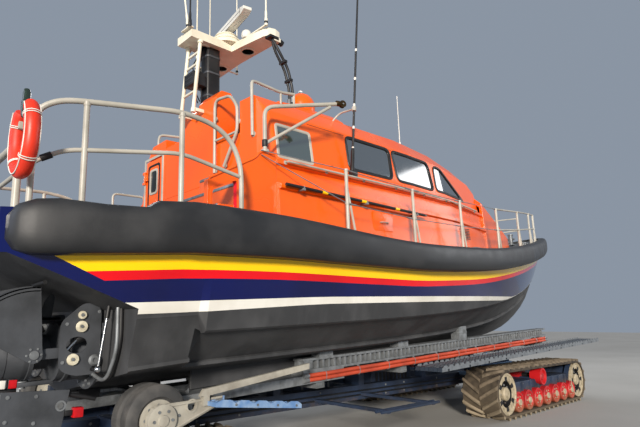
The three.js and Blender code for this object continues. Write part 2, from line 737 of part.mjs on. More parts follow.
function mastPylon() {
  const floor = WELL.floorZ + SEAT_GAP;
  const fore = 2960;
  const lobe = (y0, y1, top) => prism('xz', [
    [CABIN_AFT_X, floor], [fore, floor], [fore, top - 140], [fore - 100, top], [CABIN_AFT_X + 90, top],
    [CABIN_AFT_X, top - 110],
  ], y0, y1);
  const coaming = box(CABIN_AFT_X, CABIN_AFT_X + 40, 380, WELL.portY - SEAT_GAP, floor, 3250);
  const gate = box(CABIN_AFT_X + 20, CABIN_AFT_X + 40, WELL.starboardY + SEAT_GAP, -465, SILL_Z, 2985);
  return join(lobe(-475, -40, 3740), lobe(-60, 390, 3650), coaming, gate);
}

// Steps up to the open steering place, with a raked bulwark outboard
function boardingSteps() {
  const { aftX, y0, y1, innerY } = BULWARK;
  const fore = CABIN_AFT_X - SEAT_GAP;
  const outline = [[aftX, 1600], [fore, 1600], [fore, 2500], [2400, 2500], [2330, 2410], [aftX, 2095]];
  const hole = [[aftX + 50, 1720], [aftX + 350, 1720], [aftX + 350, 2140], [aftX + 50, 2000]];
  const bulwark = prism('xz', outline, y0, y1).subtract(prism('xz', rounded(hole, 40), y0 - 10, y1 + 10));
  const block = prism('xz', [
    [1910, 1600], [fore, 1600], [fore, 2440], [2420, 2440], [2420, 2150], [2170, 2150], [2170, 1880],
    [1910, 1880],
  ], y1 - 5, innerY);
  const deck = shifted(hullSkin(), 0, 0, SEAT_GAP);
  const lid = shifted(engineHatch(), 0, 0, SEAT_GAP);
  return join(bulwark, block).subtract(deck).subtract(lid).subtract(box(1000, 3000, -2000, 0, 1400, 1600));
}

// Handrail beside the step opening, from the pylon over to the cabin's aft wall and down to the gate
function stepRail() {
  const x = CABIN_AFT_X - 22;
  const wall = CABIN_AFT_X - SEAT_GAP;
  const [poleY, sideY] = [-485, -990];
  return join(
    pipe([
      [x, poleY, 2560], [x, poleY, 3490], [x, poleY - 55, 3550], [x, -830, 3510], [x, sideY + 50, 3390],
      [x, sideY, 3300], [x, sideY, 3000], [x, -700, 2600],
    ], 20),
    rod([x, poleY, 2990], [x, sideY, 2990], 15),
    box(x - 10, wall, poleY - 10, poleY + 30, 2570, 2610),
    box(x - 10, wall, sideY - 70, sideY + 10, 3100, 3140),
    box(x - 10, CABIN_AFT_X + 20 - SEAT_GAP, -730, -690, 2590, 2640),
  );
}

// Handrail along the edge of the open steering place
function sideRail(side) {
  const roof = (x, y, z) => [CABIN_AFT_X + x, side * y, z];
  const starboard = side === STARBOARD;
  const aft = starboard
    ? [roof(-22, 1300, 2850), roof(-22, 1290, 3500), roof(20, 1250, 3580)]
    : [roof(60, 1250, 3340), roof(60, 1250, 3520), roof(100, 1245, 3580)];
  const foot = box(CABIN_AFT_X - 32, CABIN_AFT_X - SEAT_GAP, ...across(side, 1280, 1320), 2850, 2890);
  const posts = [[540, 3600], [770, 3635]].map(([x, z]) => rod(roof(x, 1170, 3330), roof(x, 1170, z), 15));
  const rail = pipe([...aft, roof(540, 1170, 3600), roof(780, 1170, 3640)], 20);
  const skin = shifted(cabinUpperSkin(), 0, 0, SEAT_GAP);
  return join(rail, posts, starboard ? foot : []).subtract(skin);
}

function seats() {
  const floor = deckZ(7000) + 20;
  const seat = (x, y) => join(
    box(x - 160, x + 160, y - 140, y + 140, floor, floor + 320),
    box(x - 260, x + 240, y - 240, y + 240, floor + 310, floor + 430),
    prism('xz', [
      [x - 260, floor + 400], [x - 140, floor + 400], [x - 240, floor + 1100], [x - 360, floor + 1100],
    ], y - 230, y + 230),
  );
  const deck = shifted(hullSkin(), 0, 0, SEAT_GAP);
  const plinth = box(4000, 6600, -1050, 1050, 1500, floor + 6);
  return join(plinth, SEATS.map(({ x, y }) => seat(x, y))).subtract(deck);
}

function cabinConsole() {
  const deck = shifted(hullSkin(), 0, 0, SEAT_GAP);
  return prism('xz', [
    [6950, 1560], [7650, 1560], [7750, 2560], [7150, 2560], [6980, 2440],
  ], -900, 900).subtract(deck);
}

// Mast
function mastPlatform() {
  const { x, z0, z1, spineAft, spineHalf, tipY, tipR } = MAST;
  const arm = (side) => {
    const edge = [[3060, spineHalf], [3165, tipY], [3420, tipY]].map(([cx, cy]) => [cx, side * cy]);
    const outline = [[3060, 0], ...edge, [3380, 0]];
    const round = rounded([[3000, -400], [3150, tipY + 2], [3425, tipY + 2], [3500, -400]], tipR);
    const cap = prism('xy', round.map(([cx, cy]) => [cx, side * cy]), z0, z1);
    return prism('xy', outline, z0, z1).intersect(cap);
  };
  const spine = box(spineAft, 3200, -spineHalf, spineHalf, z0, z1);
  const holes = [[3240, -350], [3240, 350], [2700, 0]].map(([hx, hy]) => (
    rod([hx, hy, z0 - 20], [hx, hy, z0 + 70], 95, 10)
  ));
  const pedestal = turned([
    [0, 0], [250, 0], [250, 50], [215, 110], [160, 190], [75, 215], [75, 232], [0, 232],
  ], [x, 0, z1 - WELD], 'z', 16);
  return join(spine, arm(STARBOARD), arm(PORT), pedestal).subtract(join(holes));
}

function radarScanner() {
  const { z0, high, length, wide, heading, neckR } = SCANNER;
  const half = length / 2;
  const bar = prism('xz', [
    [-half, 35], [-half + 90, 0], [half - 90, 0], [half, 35], [half, high - 35], [half - 130, high],
    [-half + 130, high], [-half, high - 35],
  ], -wide / 2, wide / 2);
  const turn = new THREE.Matrix4().makeRotationZ(THREE.MathUtils.degToRad(heading));
  turn.setPosition(MAST.x, 0, z0);
  const foot = MAST.z1 - WELD + 232 + SEAT_GAP - z0;
  return placed(join(bar, rod([0, 0, foot], [0, 0, high / 2], neckR, 16)), turn);
}

function mastFrame() {
  const { legY, footX, footZ, headX } = LADDER;
  const under = MAST.z0 - SEAT_GAP;
  const onLeg = (z) => THREE.MathUtils.mapLinear(z, footZ, MAST.z0, footX, headX);
  const legs = [-legY, legY].flatMap((y) => [
    rod([footX, y, footZ], [onLeg(MAST.z0 + 50), y, MAST.z0 + 50], 26),
    box(footX, CABIN_AFT_X - SEAT_GAP, y - 25, y + 25, footZ, footZ + 50),
  ]);
  const rungs = [3780, 4200, 4380].map((z) => rod([onLeg(z), -legY, z], [onLeg(z), legY, z], 18));
  const boxes = box(onLeg(4000) - 40, 2720, -legY, legY, 3900, 4100);
  const column = box(2700, 2950, -120, 120, 3600, under).subtract(shifted(mastPylon(), 0, 0, SEAT_GAP));
  const above = box(2000, 3200, -400, 400, under, MAST.z0 + 300);
  return join(legs, rungs, boxes, column).subtract(above);
}

function strut(side) {
  const under = MAST.z0 - SEAT_GAP;
  const tube = (out) => pipe([
    [3250, side * 900, under - 20], [3295, side * (930 + out), 4360], [3470, side * (935 + out), 4120],
    [3540, side * (950 + out), 3800], [3525, side * (950 + out), 3520],
  ], 20);
  const head = box(3170, 3330, ...across(side, 840, 960), under - 40, under);
  const foot = box(3480, 3572, ...across(side, 870, 1030), 3530, 3600);
  return join(tube(-35), tube(35), head, foot).subtract(shifted(cockpitFairing(), 0, 0, SEAT_GAP));
}

const cabinUpperSkin = () => loft(CABIN.map((row) => wholeRing(row.x, upperHalf(row, 0))));

function mastAerials() {
  const { x, z1, tipY } = MAST;
  const top = z1 + SEAT_GAP;
  const bar = (x0, x1, y0, y1) => box(x0, x1, y0, y1, top, top + 20);
  const collar = turned([[258, 0], [288, 0], [288, 20], [258, 20], [258, 0]], [x, 0, top], 'z', 16);
  const bars = [
    bar(3120, 3150, -tipY, -260),
    bar(3120, 3150, 260, tipY),
    bar(2355, x - 262, -15, 15),
    bar(2355, 2420, -218, 0),
    bar(3140, 3706, 550, 580),
    bar(3140, 3316, 770, 800),
  ];
  const whips = WHIPS.map(({ x: footX, y, radius, tipZ, lean }) => {
    const at = (z) => [footX + lean * (z - top), y, z];
    return join(rod(at(top), at(top + 220), radius * 2, 6), rod(at(top + 200), at(tipZ), radius, 6));
  });
  const globe = turned([[0, 0], [70, 0], [75, 60], [50, 110], [0, 130]], [3135, -460, top], 'z', 8);
  return join(collar, bars, whips, globe);
}

function sideAerial() {
  const { x, y, footZ, lean, tipZ } = SIDE_WHIP;
  const at = (z) => [x + lean * (z - footZ), y, z];
  return join(
    box(x - 50, x + 50, y - 60, y + 60, footZ - 100, footZ + 20),
    rod(at(footZ), at(footZ + 320), 26),
    rod(at(footZ + 300), at(tipZ), 15, 6),
    pipe([[x + 60, -1270, 3345], [x + 150, -1340, 3500], at(3450)], 13),
  ).subtract(shifted(cabinLowerSkin(), 0, 0, SEAT_GAP)).subtract(shifted(cabinUpperSkin(), 0, -SEAT_GAP, 0))
    .subtract(shifted(cabinUpperSkin(), 0, 0, SEAT_GAP));
}

const cabinLowerSkin = () => loft(CABIN.map((row) => lowerRing(row.x, row.broad, 0)));

// Deck fittings
function aftRail(side) {
  const p = (x, y, z) => [x, side * y, z];
  const foot = (x) => skinDeckZ(x) + SEAT_GAP;
  const top = pipe([
    p(190, 1700, foot(190)), p(190, 1700, 2370), p(245, 1735, 2455), p(380, 1790, 2515), p(1300, 1985, 2590),
    p(1640, 1990, 2545), p(1830, 1990, 2420), p(1920, 1990, 2230), p(1940, 1990, 2080),
    p(1940, 1990, foot(1940)),
  ], RAIL_R);
  const middle = pipe([
    p(190, 1700, 1975), p(235, 1728, 2010), p(395, 1793, 2100), p(1300, 1985, 2200), p(1940, 1990, 2080),
  ], RAIL_R * 0.8);
  const posts = [[530, 1824, 2525], [1300, 1985, 2580]]
    .map(([x, y, z]) => rod(p(x, y, foot(x)), p(x, y, z), RAIL_R));
  return join(top, middle, posts).subtract(shifted(hullSkin(), 0, 0, SEAT_GAP));
}

function sternRail() {
  const { x, half, topZ, middleZ, radius } = STERN_RAIL;
  const foot = skinDeckZ(x) + SEAT_GAP;
  const top = pipe([
    [x, -half, foot], [x, -half, topZ - 60], [x, -half + 60, topZ],
    [x, half - 60, topZ], [x, half, topZ - 60], [x, half, foot],
  ], radius);
  const posts = [-620, 620].map((y) => rod([x, y, foot], [x, y, topZ], RAIL_R));
  const middle = rod([x, -half, middleZ], [x, half, middleZ], RAIL_R * 0.8);
  return join(top, middle, posts).subtract(shifted(hullSkin(), 0, 0, SEAT_GAP));
}

function foreRail(side) {
  const places = STANCHIONS.map(({ x, inset, high }) => {
    const y = side * (eased(SHEER, 'seatY', x) - inset);
    return { x, y, foot: skinDeckZ(x) + SEAT_GAP, top: deckZ(x) + high };
  });
  const posts = places.map(({ x, y, foot, top }) => rod([x, y, foot - 5], [x, y, top], RAIL_R * 0.9, 4));
  const braces = places.slice(0, -1).map(({ x, y, foot, top }) => (
    rod([x + 190, y - side * 40, foot - 5], [x, y, top - 200], RAIL_R * 0.6, 4)
  ));
  const wires = places.slice(1).flatMap((place, index) => {
    const from = places[index];
    const thick = index >= places.length - 4 ? RAIL_R * 0.7 : WIRE_R;
    const heights = [({ top }) => top - 10, ({ foot, top }) => (foot + top) / 2];
    return heights.map((z) => rod([from.x, from.y, z(from)], [place.x, place.y, z(place)], thick, 4));
  });
  return join(posts, braces, wires).subtract(shifted(hullSkin(), 0, 0, SEAT_GAP));
}

function lifebuoy() {
  const { x, y, z, wide, high, radius, mouth, steps } = BUOY;
  const points = Array.from({ length: steps + 1 }, (_, step) => {
    const angle = THREE.MathUtils.degToRad(90 + mouth / 2 + ((360 - mouth) * step) / steps);
    return [x, y + (wide / 2 - radius) * Math.cos(angle), z + (high / 2 - radius) * Math.sin(angle)];
  });
  const bracket = box(x - 10, 175, -1730, -1670, z + 90, z + 150);
  return join(pipe(points, radius, 8), bracket).subtract(shifted(aftRail(STARBOARD), -SEAT_GAP, 0, 0));
}

function davit() {
  const { x, y, footZ, bendZ, radius } = DAVIT;
  const foot = footZ + SEAT_GAP;
  const tip = [x + 930, y - 310, 3250];
  return join(
    rod([x, y, foot], [x, y, bendZ], radius, 12),
    rod([x, y, foot], [x, y, foot + 60], radius * 2, 12),
    rod([x, y, bendZ - 40], tip, radius),
    rod([x + 20, y - 5, 2640], [x + 800, y - 266, 3190], radius * 0.8),
    box(tip[0] - 60, tip[0] + 80, tip[1] - 40, tip[1] + 40, tip[2] - 45, tip[2] + 45),
  );
}

function boatHook() {
  const y = 1835;
  const pole = rod([2650, -y, 2155], [5350, -y, 2085], 22);
  const clips = [2900, 4000, 5100].map((x) => box(x - 25, x + 25, -y - 5, -1700, 2095, 2140));
  return join(pole, clips).subtract(shifted(cabinLowerSkin(), 0, -SEAT_GAP, 0));
}

const ROOF_RAIL = table(['x', 'y'], [[4500, -1080], [5400, -1080], [6400, -1030]]);

function roofRail() {
  const at = (x, up) => [x, between(ROOF_RAIL, 'y', x), between(CABIN, 'roofZ', x) + up];
  const rail = pipe(ROOF_RAIL.map(({ x }) => at(x, 60)), 18, 6);
  const feet = [4550, 5400, 6350].map((x) => rod(at(x, -60), at(x, 60), 16, 6));
  const whip = rod(at(5900, 50), [5900, at(5900, 0)[1], 4400], 10, 6);
  return join(rail, feet, whip).subtract(shifted(cabinUpperSkin(), 0, 0, SEAT_GAP));
}

// Waterjets
function jetBody(side) {
  const { y, z, wallX, armY, bucketX, pivotX } = JET;
  const cy = side * y;
  const wall = wallX - SEAT_GAP;
  const housing = turned([
    [0, wall], [300, wall], [300, wall - 60], [270, wall - 90], [265, 700], [150, 660], [150, 460], [0, 460],
  ], [0, cy, z], 'x', 14);
  const yokes = [-1, 1].map((up) => box(pivotX - 40, 720, cy - 40, cy + 40, z + up * 245, z + up * 285));
  const arms = [-1, 1].map((out) => join(
    box(bucketX - 40, 760, cy + out * 322, cy + out * armY, z - 45, z + 45),
    box(690, 760, cy + out * 200, cy + out * armY, z - 45, z + 45),
    rod([bucketX, cy + out * 330, z], [bucketX, cy + out * (JET.plateY - SEAT_GAP), z], 45, 12),
    rod([wall - 15, cy + out * 335, z + 190], [790, cy + out * 335, z + 100], 38, 6),
    box(wall - 30, wall, cy + out * 335 - 45, cy + out * 335 + 45, z + 140, z + 240),
    rod([800, cy + out * 335, z + 104], [720, cy + out * 335, z + 20], 18, 6),
  ));
  return join(housing, yokes, arms);
}

function jetNozzle(side) {
  const { y, z, pivotX } = JET;
  const cy = side * y;
  const profile = [[210, 500], [235, 500], [235, 420], [165, 100], [140, 100], [200, 410], [210, 500]];
  const tube = turned(profile, [0, cy, z], 'x', 12);
  const bosses = [-1, 1].map((up) => (
    rod([pivotX, cy, z + up * 215], [pivotX, cy, z + up * (245 - SEAT_GAP)], 38, 12)
  ));
  return join(tube, bosses);
}

function jetBucket(side) {
  const { y, z, bucketX, plateY } = JET;
  const cy = side * y;
  const [inner, outer, thick] = [520, 560, 25];
  const low = 25;
  const high = 92;
  const at = (radius, degrees) => {
    const angle = THREE.MathUtils.degToRad(180 - degrees);
    return [bucketX + radius * Math.cos(angle), z + radius * Math.sin(angle)];
  };
  const steps = [0, 1, 2, 3, 4, 5].map((step) => low + ((high - low) * step) / 5);
  const shell = [...steps.map((a) => at(inner, a)), ...steps.reverse().map((a) => at(outer, a))];
  const scoop = prism('xz', shell, cy - plateY - thick, cy + plateY + thick);
  const cheek = [
    at(70, -120), at(70, -60), at(outer, low), at(outer, 45), at(outer, 70), at(outer, high), at(70, 150),
  ];
  const cheeks = [-1, 1].map((out) => {
    const [from, to] = across(out, plateY, plateY + thick);
    return prism('xz', cheek, cy + from, cy + to);
  });
  return join(scoop, cheeks);
}

// Cradle, in the boat's frame
function cradle() {
  const { x0, x1, inner, outer, webY, lowZ, highZ, leaf, slotStep } = RACK;
  const span = (from, to, side, y0, y1, z0, z1) => box(from, to, ...across(side, y0, y1), z0, z1);
  const count = Math.floor((x1 - x0) / slotStep) - 1;
  const slots = Array.from({ length: count }, (_, i) => x0 + 200 + i * slotStep);
  const web = (side) => span(x0, x1, side, webY, webY + 30, lowZ + leaf - 10, highZ - 10)
    .subtract(join(slots.map((x) => span(x, x + 70, side, webY - 20, webY + 50, lowZ + 55, highZ - 50))));
  const channels = [STARBOARD, PORT].flatMap((side) => [
    span(x0, x1, side, inner, outer, lowZ, lowZ + leaf),
    span(x0, x1, side, inner, outer, highZ - leaf, highZ),
    web(side),
    span(x0 + 20, x0 + 120, side, inner, outer, 20, highZ),
    span(x0, 4000, side, 1110, outer, -75, lowZ + leaf),
    span(1700, 4000, side, 1000, outer, -75, 20),
    ...CROSS_X.slice(1).map((x) => span(x - 70, x + 70, side, 1160, 1300, -60, 80)),
    ...[3700, 5300, 7000].map((x) => span(x - 120, x + 120, side, 1160, 1320, highZ - 15, 420)),
    ...HOSES.map(({ y, z, radius }) => rod([x0 + 10, side * y, z], [x1, side * y, z], radius, 5)),
    ...CROSS_X.slice(3).map((x) => span(x - 25, x + 25, side, outer - 40, 1352, -30, lowZ + 10)),
  ]);
  const members = CROSS_X.map((x) => box(x - 70, x + 70, -MEMBER_HALF, MEMBER_HALF, -150, -30));
  const keelBeam = box(500, 11300, -150, 150, -160, -60);
  const keelPads = Array.from({ length: 12 }, (_, i) => 1300 + i * 700)
    .map((x) => box(x - 110, x + 110, -130, 130, -70, 60));
  return join(channels, members, keelBeam, keelPads).subtract(shifted(hullSkin(), 0, 0, -SEAT_GAP))
    .subtract(box(0, 14000, -3000, 3000, 480, 900));
}

// Chassis and running gear, level on the ground
const BOAT_FRAME = new THREE.Matrix4().makeRotationY(-PITCH).setPosition(0, 0, KEEL_HEIGHT);

// Stub axle, collar and outer plate of a pair of guide wheels, with the link back to the cradle
function guideCarrier(side) {
  const { x, z, y0, wide, space } = GUIDE;
  const outer = y0 + 2 * wide + space + SEAT_GAP;
  const along = (from, to, radius, sides = 10) => rod([x, side * from, z], [x, side * to, z], radius, sides);
  const plate = prism('xz', [
    [x - 60, z - 120], [x + 70, z - 130], [1990, 850], [1990, 905], [x + 70, z + 130], [x - 60, z + 120],
  ], ...across(side, outer + 20, outer + 42));
  const hole = rod([1640, side * 1000, 850], [1640, side * 2000, 850], 45, 8);
  return join(
    box(x - 60, x + 60, ...across(side, 400, 1225), 560, 660),
    box(x - 60, x + 60, ...across(side, 1130, 1225), 600, 820),
    along(1200, outer + 20, 38.9),
    along(1220, y0 - SEAT_GAP, 70),
    along(outer, outer + 55, 130),
    plate.subtract(hole),
    rod([1940, side * (outer + 35), 870], [1940, side * (1330 + SEAT_GAP), 870], 28, 12),
  );
}

// End plate outboard of the jets, on a bracket over the aft track
function aftOutrigger(side) {
  const y = 1290;
  const plate = prism('xz', [[190, 800], [650, 755], [690, 1040], [190, 1060]], ...across(side, y, y + 16));
  const hole = rod([630, side * (y - 20), 920], [630, side * (y + 40), 920], 28, 8);
  return join(
    plate.subtract(hole),
    box(350, 430, ...across(side, CHASSIS.beamY1 - 20, y), 560, 630),
    box(350, 430, ...across(side, y - 60, y + 2), 560, 900),
  );
}

// Two low bars between the guide wheels and the fore track, on arms from the chassis
function lowBars(side) {
  const z = 515;
  return join(
    [1700, 1790].map((y) => rod([4160, side * y, z], [5430, side * y, z], 20, 6)),
    [4300, 5290].map((x) => box(x - 30, x + 30, ...across(side, CHASSIS.beamY1 - 20, 1800), z - 25, z + 15)),
  );
}

// Sloped aft step with a toothed edge, and the cranked bar that runs up to the cradle
function aftStep(side) {
  const [inner, outer] = [1600, 1820];
  const top = (x) => THREE.MathUtils.mapLinear(x, 1780, 2820, 880, 760);
  const teeth = Array.from({ length: 5 }, (_, i) => 2820 - i * 208).flatMap((x) => [
    [x - 50, top(x - 50) + 26], [x - 140, top(x - 140) + 26], [x - 200, top(x - 200)],
  ]);
  const edge = [[1780, top(1780) - 40], [2820, top(2820) - 40], [2820, top(2820)], ...teeth];
  const plate = [[1780, top(1780) - 40], [2820, top(2820) - 40], [2820, top(2820)], [1780, top(1780)]];
  const bar = prism('xz', [
    [1700, 925], [1790, 925], [3060, 1085], [3060, 1145], [1740, 985],
  ], ...across(side, 1640, 1680));
  return join(
    prism('xz', plate, ...across(side, inner, outer)),
    prism('xz', edge, ...across(side, outer - 14, outer)),
    bar,
    box(1740, 1800, ...across(side, 1618, 1680), 840, 960),
  );
}

// All the space above the underside of the cradle's cross members
function aboveCradle() {
  return shifted(placed(box(-500, 12500, -2500, 2500, -150, 3000), BOAT_FRAME), 0, 0, -SEAT_GAP);
}

function chassis() {
  const { beamY0, beamY1, z0, z1, aftX, foreX } = CHASSIS;
  const beams = sides.map(([, side]) => box(aftX, foreX, ...across(side, beamY0, beamY1), z0, z1));
  const posts = sides.flatMap(([, side]) => CROSS_X.map((x) => (
    box(x - 60, x + 60, ...across(side, beamY0, beamY1), 600, 1300)
  )));
  const ties = CROSS_X.map((x) => box(x - 60, x + 60, -beamY1 + 10, beamY1 - 10, 460, 620));
  const ends = [aftX, foreX - 60].map((x) => box(x, x + 60, -beamY1, beamY1, z0, z1));
  const outriggers = sides.map(([, side]) => join(aftOutrigger(side), lowBars(side), aftStep(side)));
  const carriers = [guideCarrier(STARBOARD), guideCarrier(PORT)];
  return join(beams, ties, ends, join(posts).subtract(aboveCradle()), outriggers, carriers);
}

function loopOutline({ sprocketX, idlerX, radius }, grow) {
  const arc = (cx, from, count) => Array.from({ length: count + 1 }, (_, step) => {
    const angle = THREE.MathUtils.degToRad(from + (180 * step) / count);
    return [cx + (radius + grow) * Math.cos(angle), radius + (radius + grow) * Math.sin(angle)];
  });
  return [...arc(idlerX, -90, 10), ...arc(sprocketX, 90, 10)];
}

// Place on a wheel's rim with +Z away from its centre
function wheelPlace(x, radius, degrees) {
  const angle = THREE.MathUtils.degToRad(degrees);
  return new THREE.Matrix4().makeRotationY(Math.PI / 2 - angle)
    .setPosition(x + radius * Math.cos(angle), 0, radius + radius * Math.sin(angle));
}

// Where the lugs stand round the loop, each turned square to the belt
function lugPlaces({ sprocketX, idlerX, radius }, wished) {
  const straight = idlerX - sprocketX;
  const whole = 2 * straight + 2 * Math.PI * radius;
  const count = Math.round(whole / wished);
  return Array.from({ length: count }, (_, i) => {
    const along = (i * whole) / count;
    const place = new THREE.Matrix4();
    const back = along - straight - Math.PI * radius;
    const degrees = (rim) => THREE.MathUtils.radToDeg(rim / radius);
    if (along < straight) return place.makeRotationY(Math.PI).setPosition(sprocketX + along, 0, 0);
    if (back < 0) return wheelPlace(idlerX, radius, degrees(along - straight) - 90);
    if (back < straight) return place.setPosition(idlerX - back, 0, 2 * radius);
    return wheelPlace(sprocketX, radius, degrees(back - straight) + 90);
  });
}

// One lug at the origin, a chevron when it has a sweep, with its foot sunk in the belt
function chevron({ lug, lugHalf, sweep }, y0, y1) {
  const foot = -lug - LUG_SUNK;
  if (sweep === 0) return box(-lugHalf, lugHalf, y0, y1, foot, -LUG_SHY);
  const middle = (y0 + y1) / 2;
  const fore = [[lugHalf - sweep, y0], [lugHalf, middle], [lugHalf - sweep, y1]];
  const aft = [[-lugHalf - sweep, y1], [-lugHalf, middle], [-lugHalf - sweep, y0]];
  return prism('xy', [...fore, ...aft], foot, -LUG_SHY);
}

function track(side, unit) {
  const { outerY, width, belt, lug, lugStep } = unit;
  const [y0, y1] = across(side, outerY, outerY - width);
  const outer = prism('xz', loopOutline(unit, -lug), y0, y1);
  const inner = prism('xz', loopOutline(unit, -belt - lug), y0 - 10, y1 + 10);
  const lugs = lugPlaces(unit, lugStep).map((place) => placed(chevron(unit, y0, y1), place));
  return join(outer, lugs).subtract(inner);
}

function foreGear(side) {
  const { outerY, width, sprocketX, idlerX, radius, belt, lug } = TRACK;
  const inside = (radius - belt - lug - SEAT_GAP) * 0.985;
  const outside = side * (outerY - 20);
  const [y0, y1] = across(side, outerY - 20, outerY + 20 - width);
  const drums = [sprocketX, idlerX].map((x) => rod([x, y0, radius], [x, y1, radius], inside, 14));
  const slots = Array.from({ length: 6 }, (_, i) => {
    const slot = box(-34, 34, outside - 30, outside + 30, inside * 0.55, inside * 0.86);
    const turn = new THREE.Matrix4().makeRotationY((i * Math.PI) / 3);
    return placed(slot, turn.setPosition(sprocketX, 0, radius));
  });
  const floor = belt + lug + SEAT_GAP;
  const bogies = Array.from({ length: BOGIE.count }, (_, i) => {
    const x = BOGIE.firstX + i * BOGIE.pitch;
    const z = floor + BOGIE.radius;
    const cap = rod([x, outside - side * 5, z], [x, outside + side * 20, z], 62, 6);
    return join(rod([x, y0, z], [x, y1, z], BOGIE.radius, 10), cap);
  });
  const { x: returnX, z: returnZ, radius: returnR } = RETURN_WHEEL;
  const carrier = rod([returnX, y0, returnZ], [returnX, y1, returnZ], returnR, 12);
  const beam = box(sprocketX, idlerX, ...across(side, outerY - 120, outerY + 120 - width), 330, 560);
  const root = CHASSIS.beamY1 + SEAT_GAP;
  const axle = rod([8900, side * (root + SEAT_GAP), 500], [8900, side * (outerY - 200), 500], 85, 16);
  const arm = box(8700, 9100, ...across(side, CHASSIS.beamY1 + 10, outerY - width + 60), 440, 560);
  return join(join(drums).subtract(join(slots)), bogies, carrier, beam, axle, arm);
}

function aftGear(side) {
  const { outerY, width, sprocketX, idlerX, radius, belt, lug } = AFT_TRACK;
  const inside = (radius - belt - lug - SEAT_GAP) * 0.985;
  const [y0, y1] = across(side, outerY - 20, outerY + 20 - width);
  const drums = [sprocketX, idlerX].map((x) => rod([x, y0, radius], [x, y1, radius], inside, 14));
  const floor = belt + lug + SEAT_GAP;
  const rollerR = 110;
  const centre = floor + rollerR;
  const bogies = [1000, 1400, 1800, 2150].map((x) => rod([x, y0, centre], [x, y1, centre], rollerR, 10));
  const beam = box(sprocketX, idlerX, ...across(side, outerY - 120, outerY + 120 - width), 190, 300);
  const root = CHASSIS.beamY1 + SEAT_GAP;
  const bracket = [
    box(1400, 1640, ...across(side, root, 700), 200, 290),
    box(1400, 1640, ...across(side, root, 555), 200, 560),
  ];
  return join(drums, bogies, beam, bracket);
}

function walkway(side) {
  const { aftX, foreX, innerY, outerY, deep, teeth, tooth } = WALKWAY;
  const low = (x) => THREE.MathUtils.mapLinear(x, aftX, foreX, 905, 1165);
  const high = (x) => low(x) + deep;
  const outline = [[aftX, low(aftX)], [foreX, low(foreX)], [foreX, high(foreX)], [aftX, high(aftX)]];
  const step = (foreX - aftX) / teeth;
  const crest = Array.from({ length: teeth }, (_, i) => foreX - i * step).flatMap((x) => [
    [x - step * 0.2, high(x) + tooth], [x - step * 0.6, high(x) + tooth], [x - step, high(x - step) - 2],
  ]);
  const edge = [[aftX, low(aftX)], [foreX, low(foreX)], [foreX, high(foreX) - 2], ...crest];
  const brackets = [7000, 8700, 10200].map((x) => (
    box(x - 45, x + 45, ...across(side, MEMBER_HALF + SEAT_GAP, innerY + 50), low(x) + 5, low(x) + 55)
  ));
  const plate = prism('xz', outline, ...across(side, innerY, outerY));
  const strip = prism('xz', edge, ...across(side, outerY - 16, outerY));
  return join(plate, strip, brackets);
}

function guideWheels(side) {
  const { x, z, radius, y0, wide, space } = GUIDE;
  const from = side * y0;
  const bore = 60;
  const shoulder = radius - 60;
  const profile = [
    [bore, 0], [shoulder, 0], [radius, 35], [radius, wide - 35], [shoulder, wide], [bore, wide], [bore, 0],
  ];
  const tyre = (start) => turned(profile.map(([r, h]) => [r, start + h]), [x, 0, z], 'y', 16);
  const starts = [y0, y0 + wide + space].map((start) => (side > 0 ? start : -start - wide));
  const hub = rod([x, from, z], [x, side * (y0 + 2 * wide + space), z], 80, 16);
  const bearing = rod([x, from - side * 50, z], [x, from + side * 600, z], 40, 16);
  return join(starts.map(tyre), hub).subtract(bearing);
}

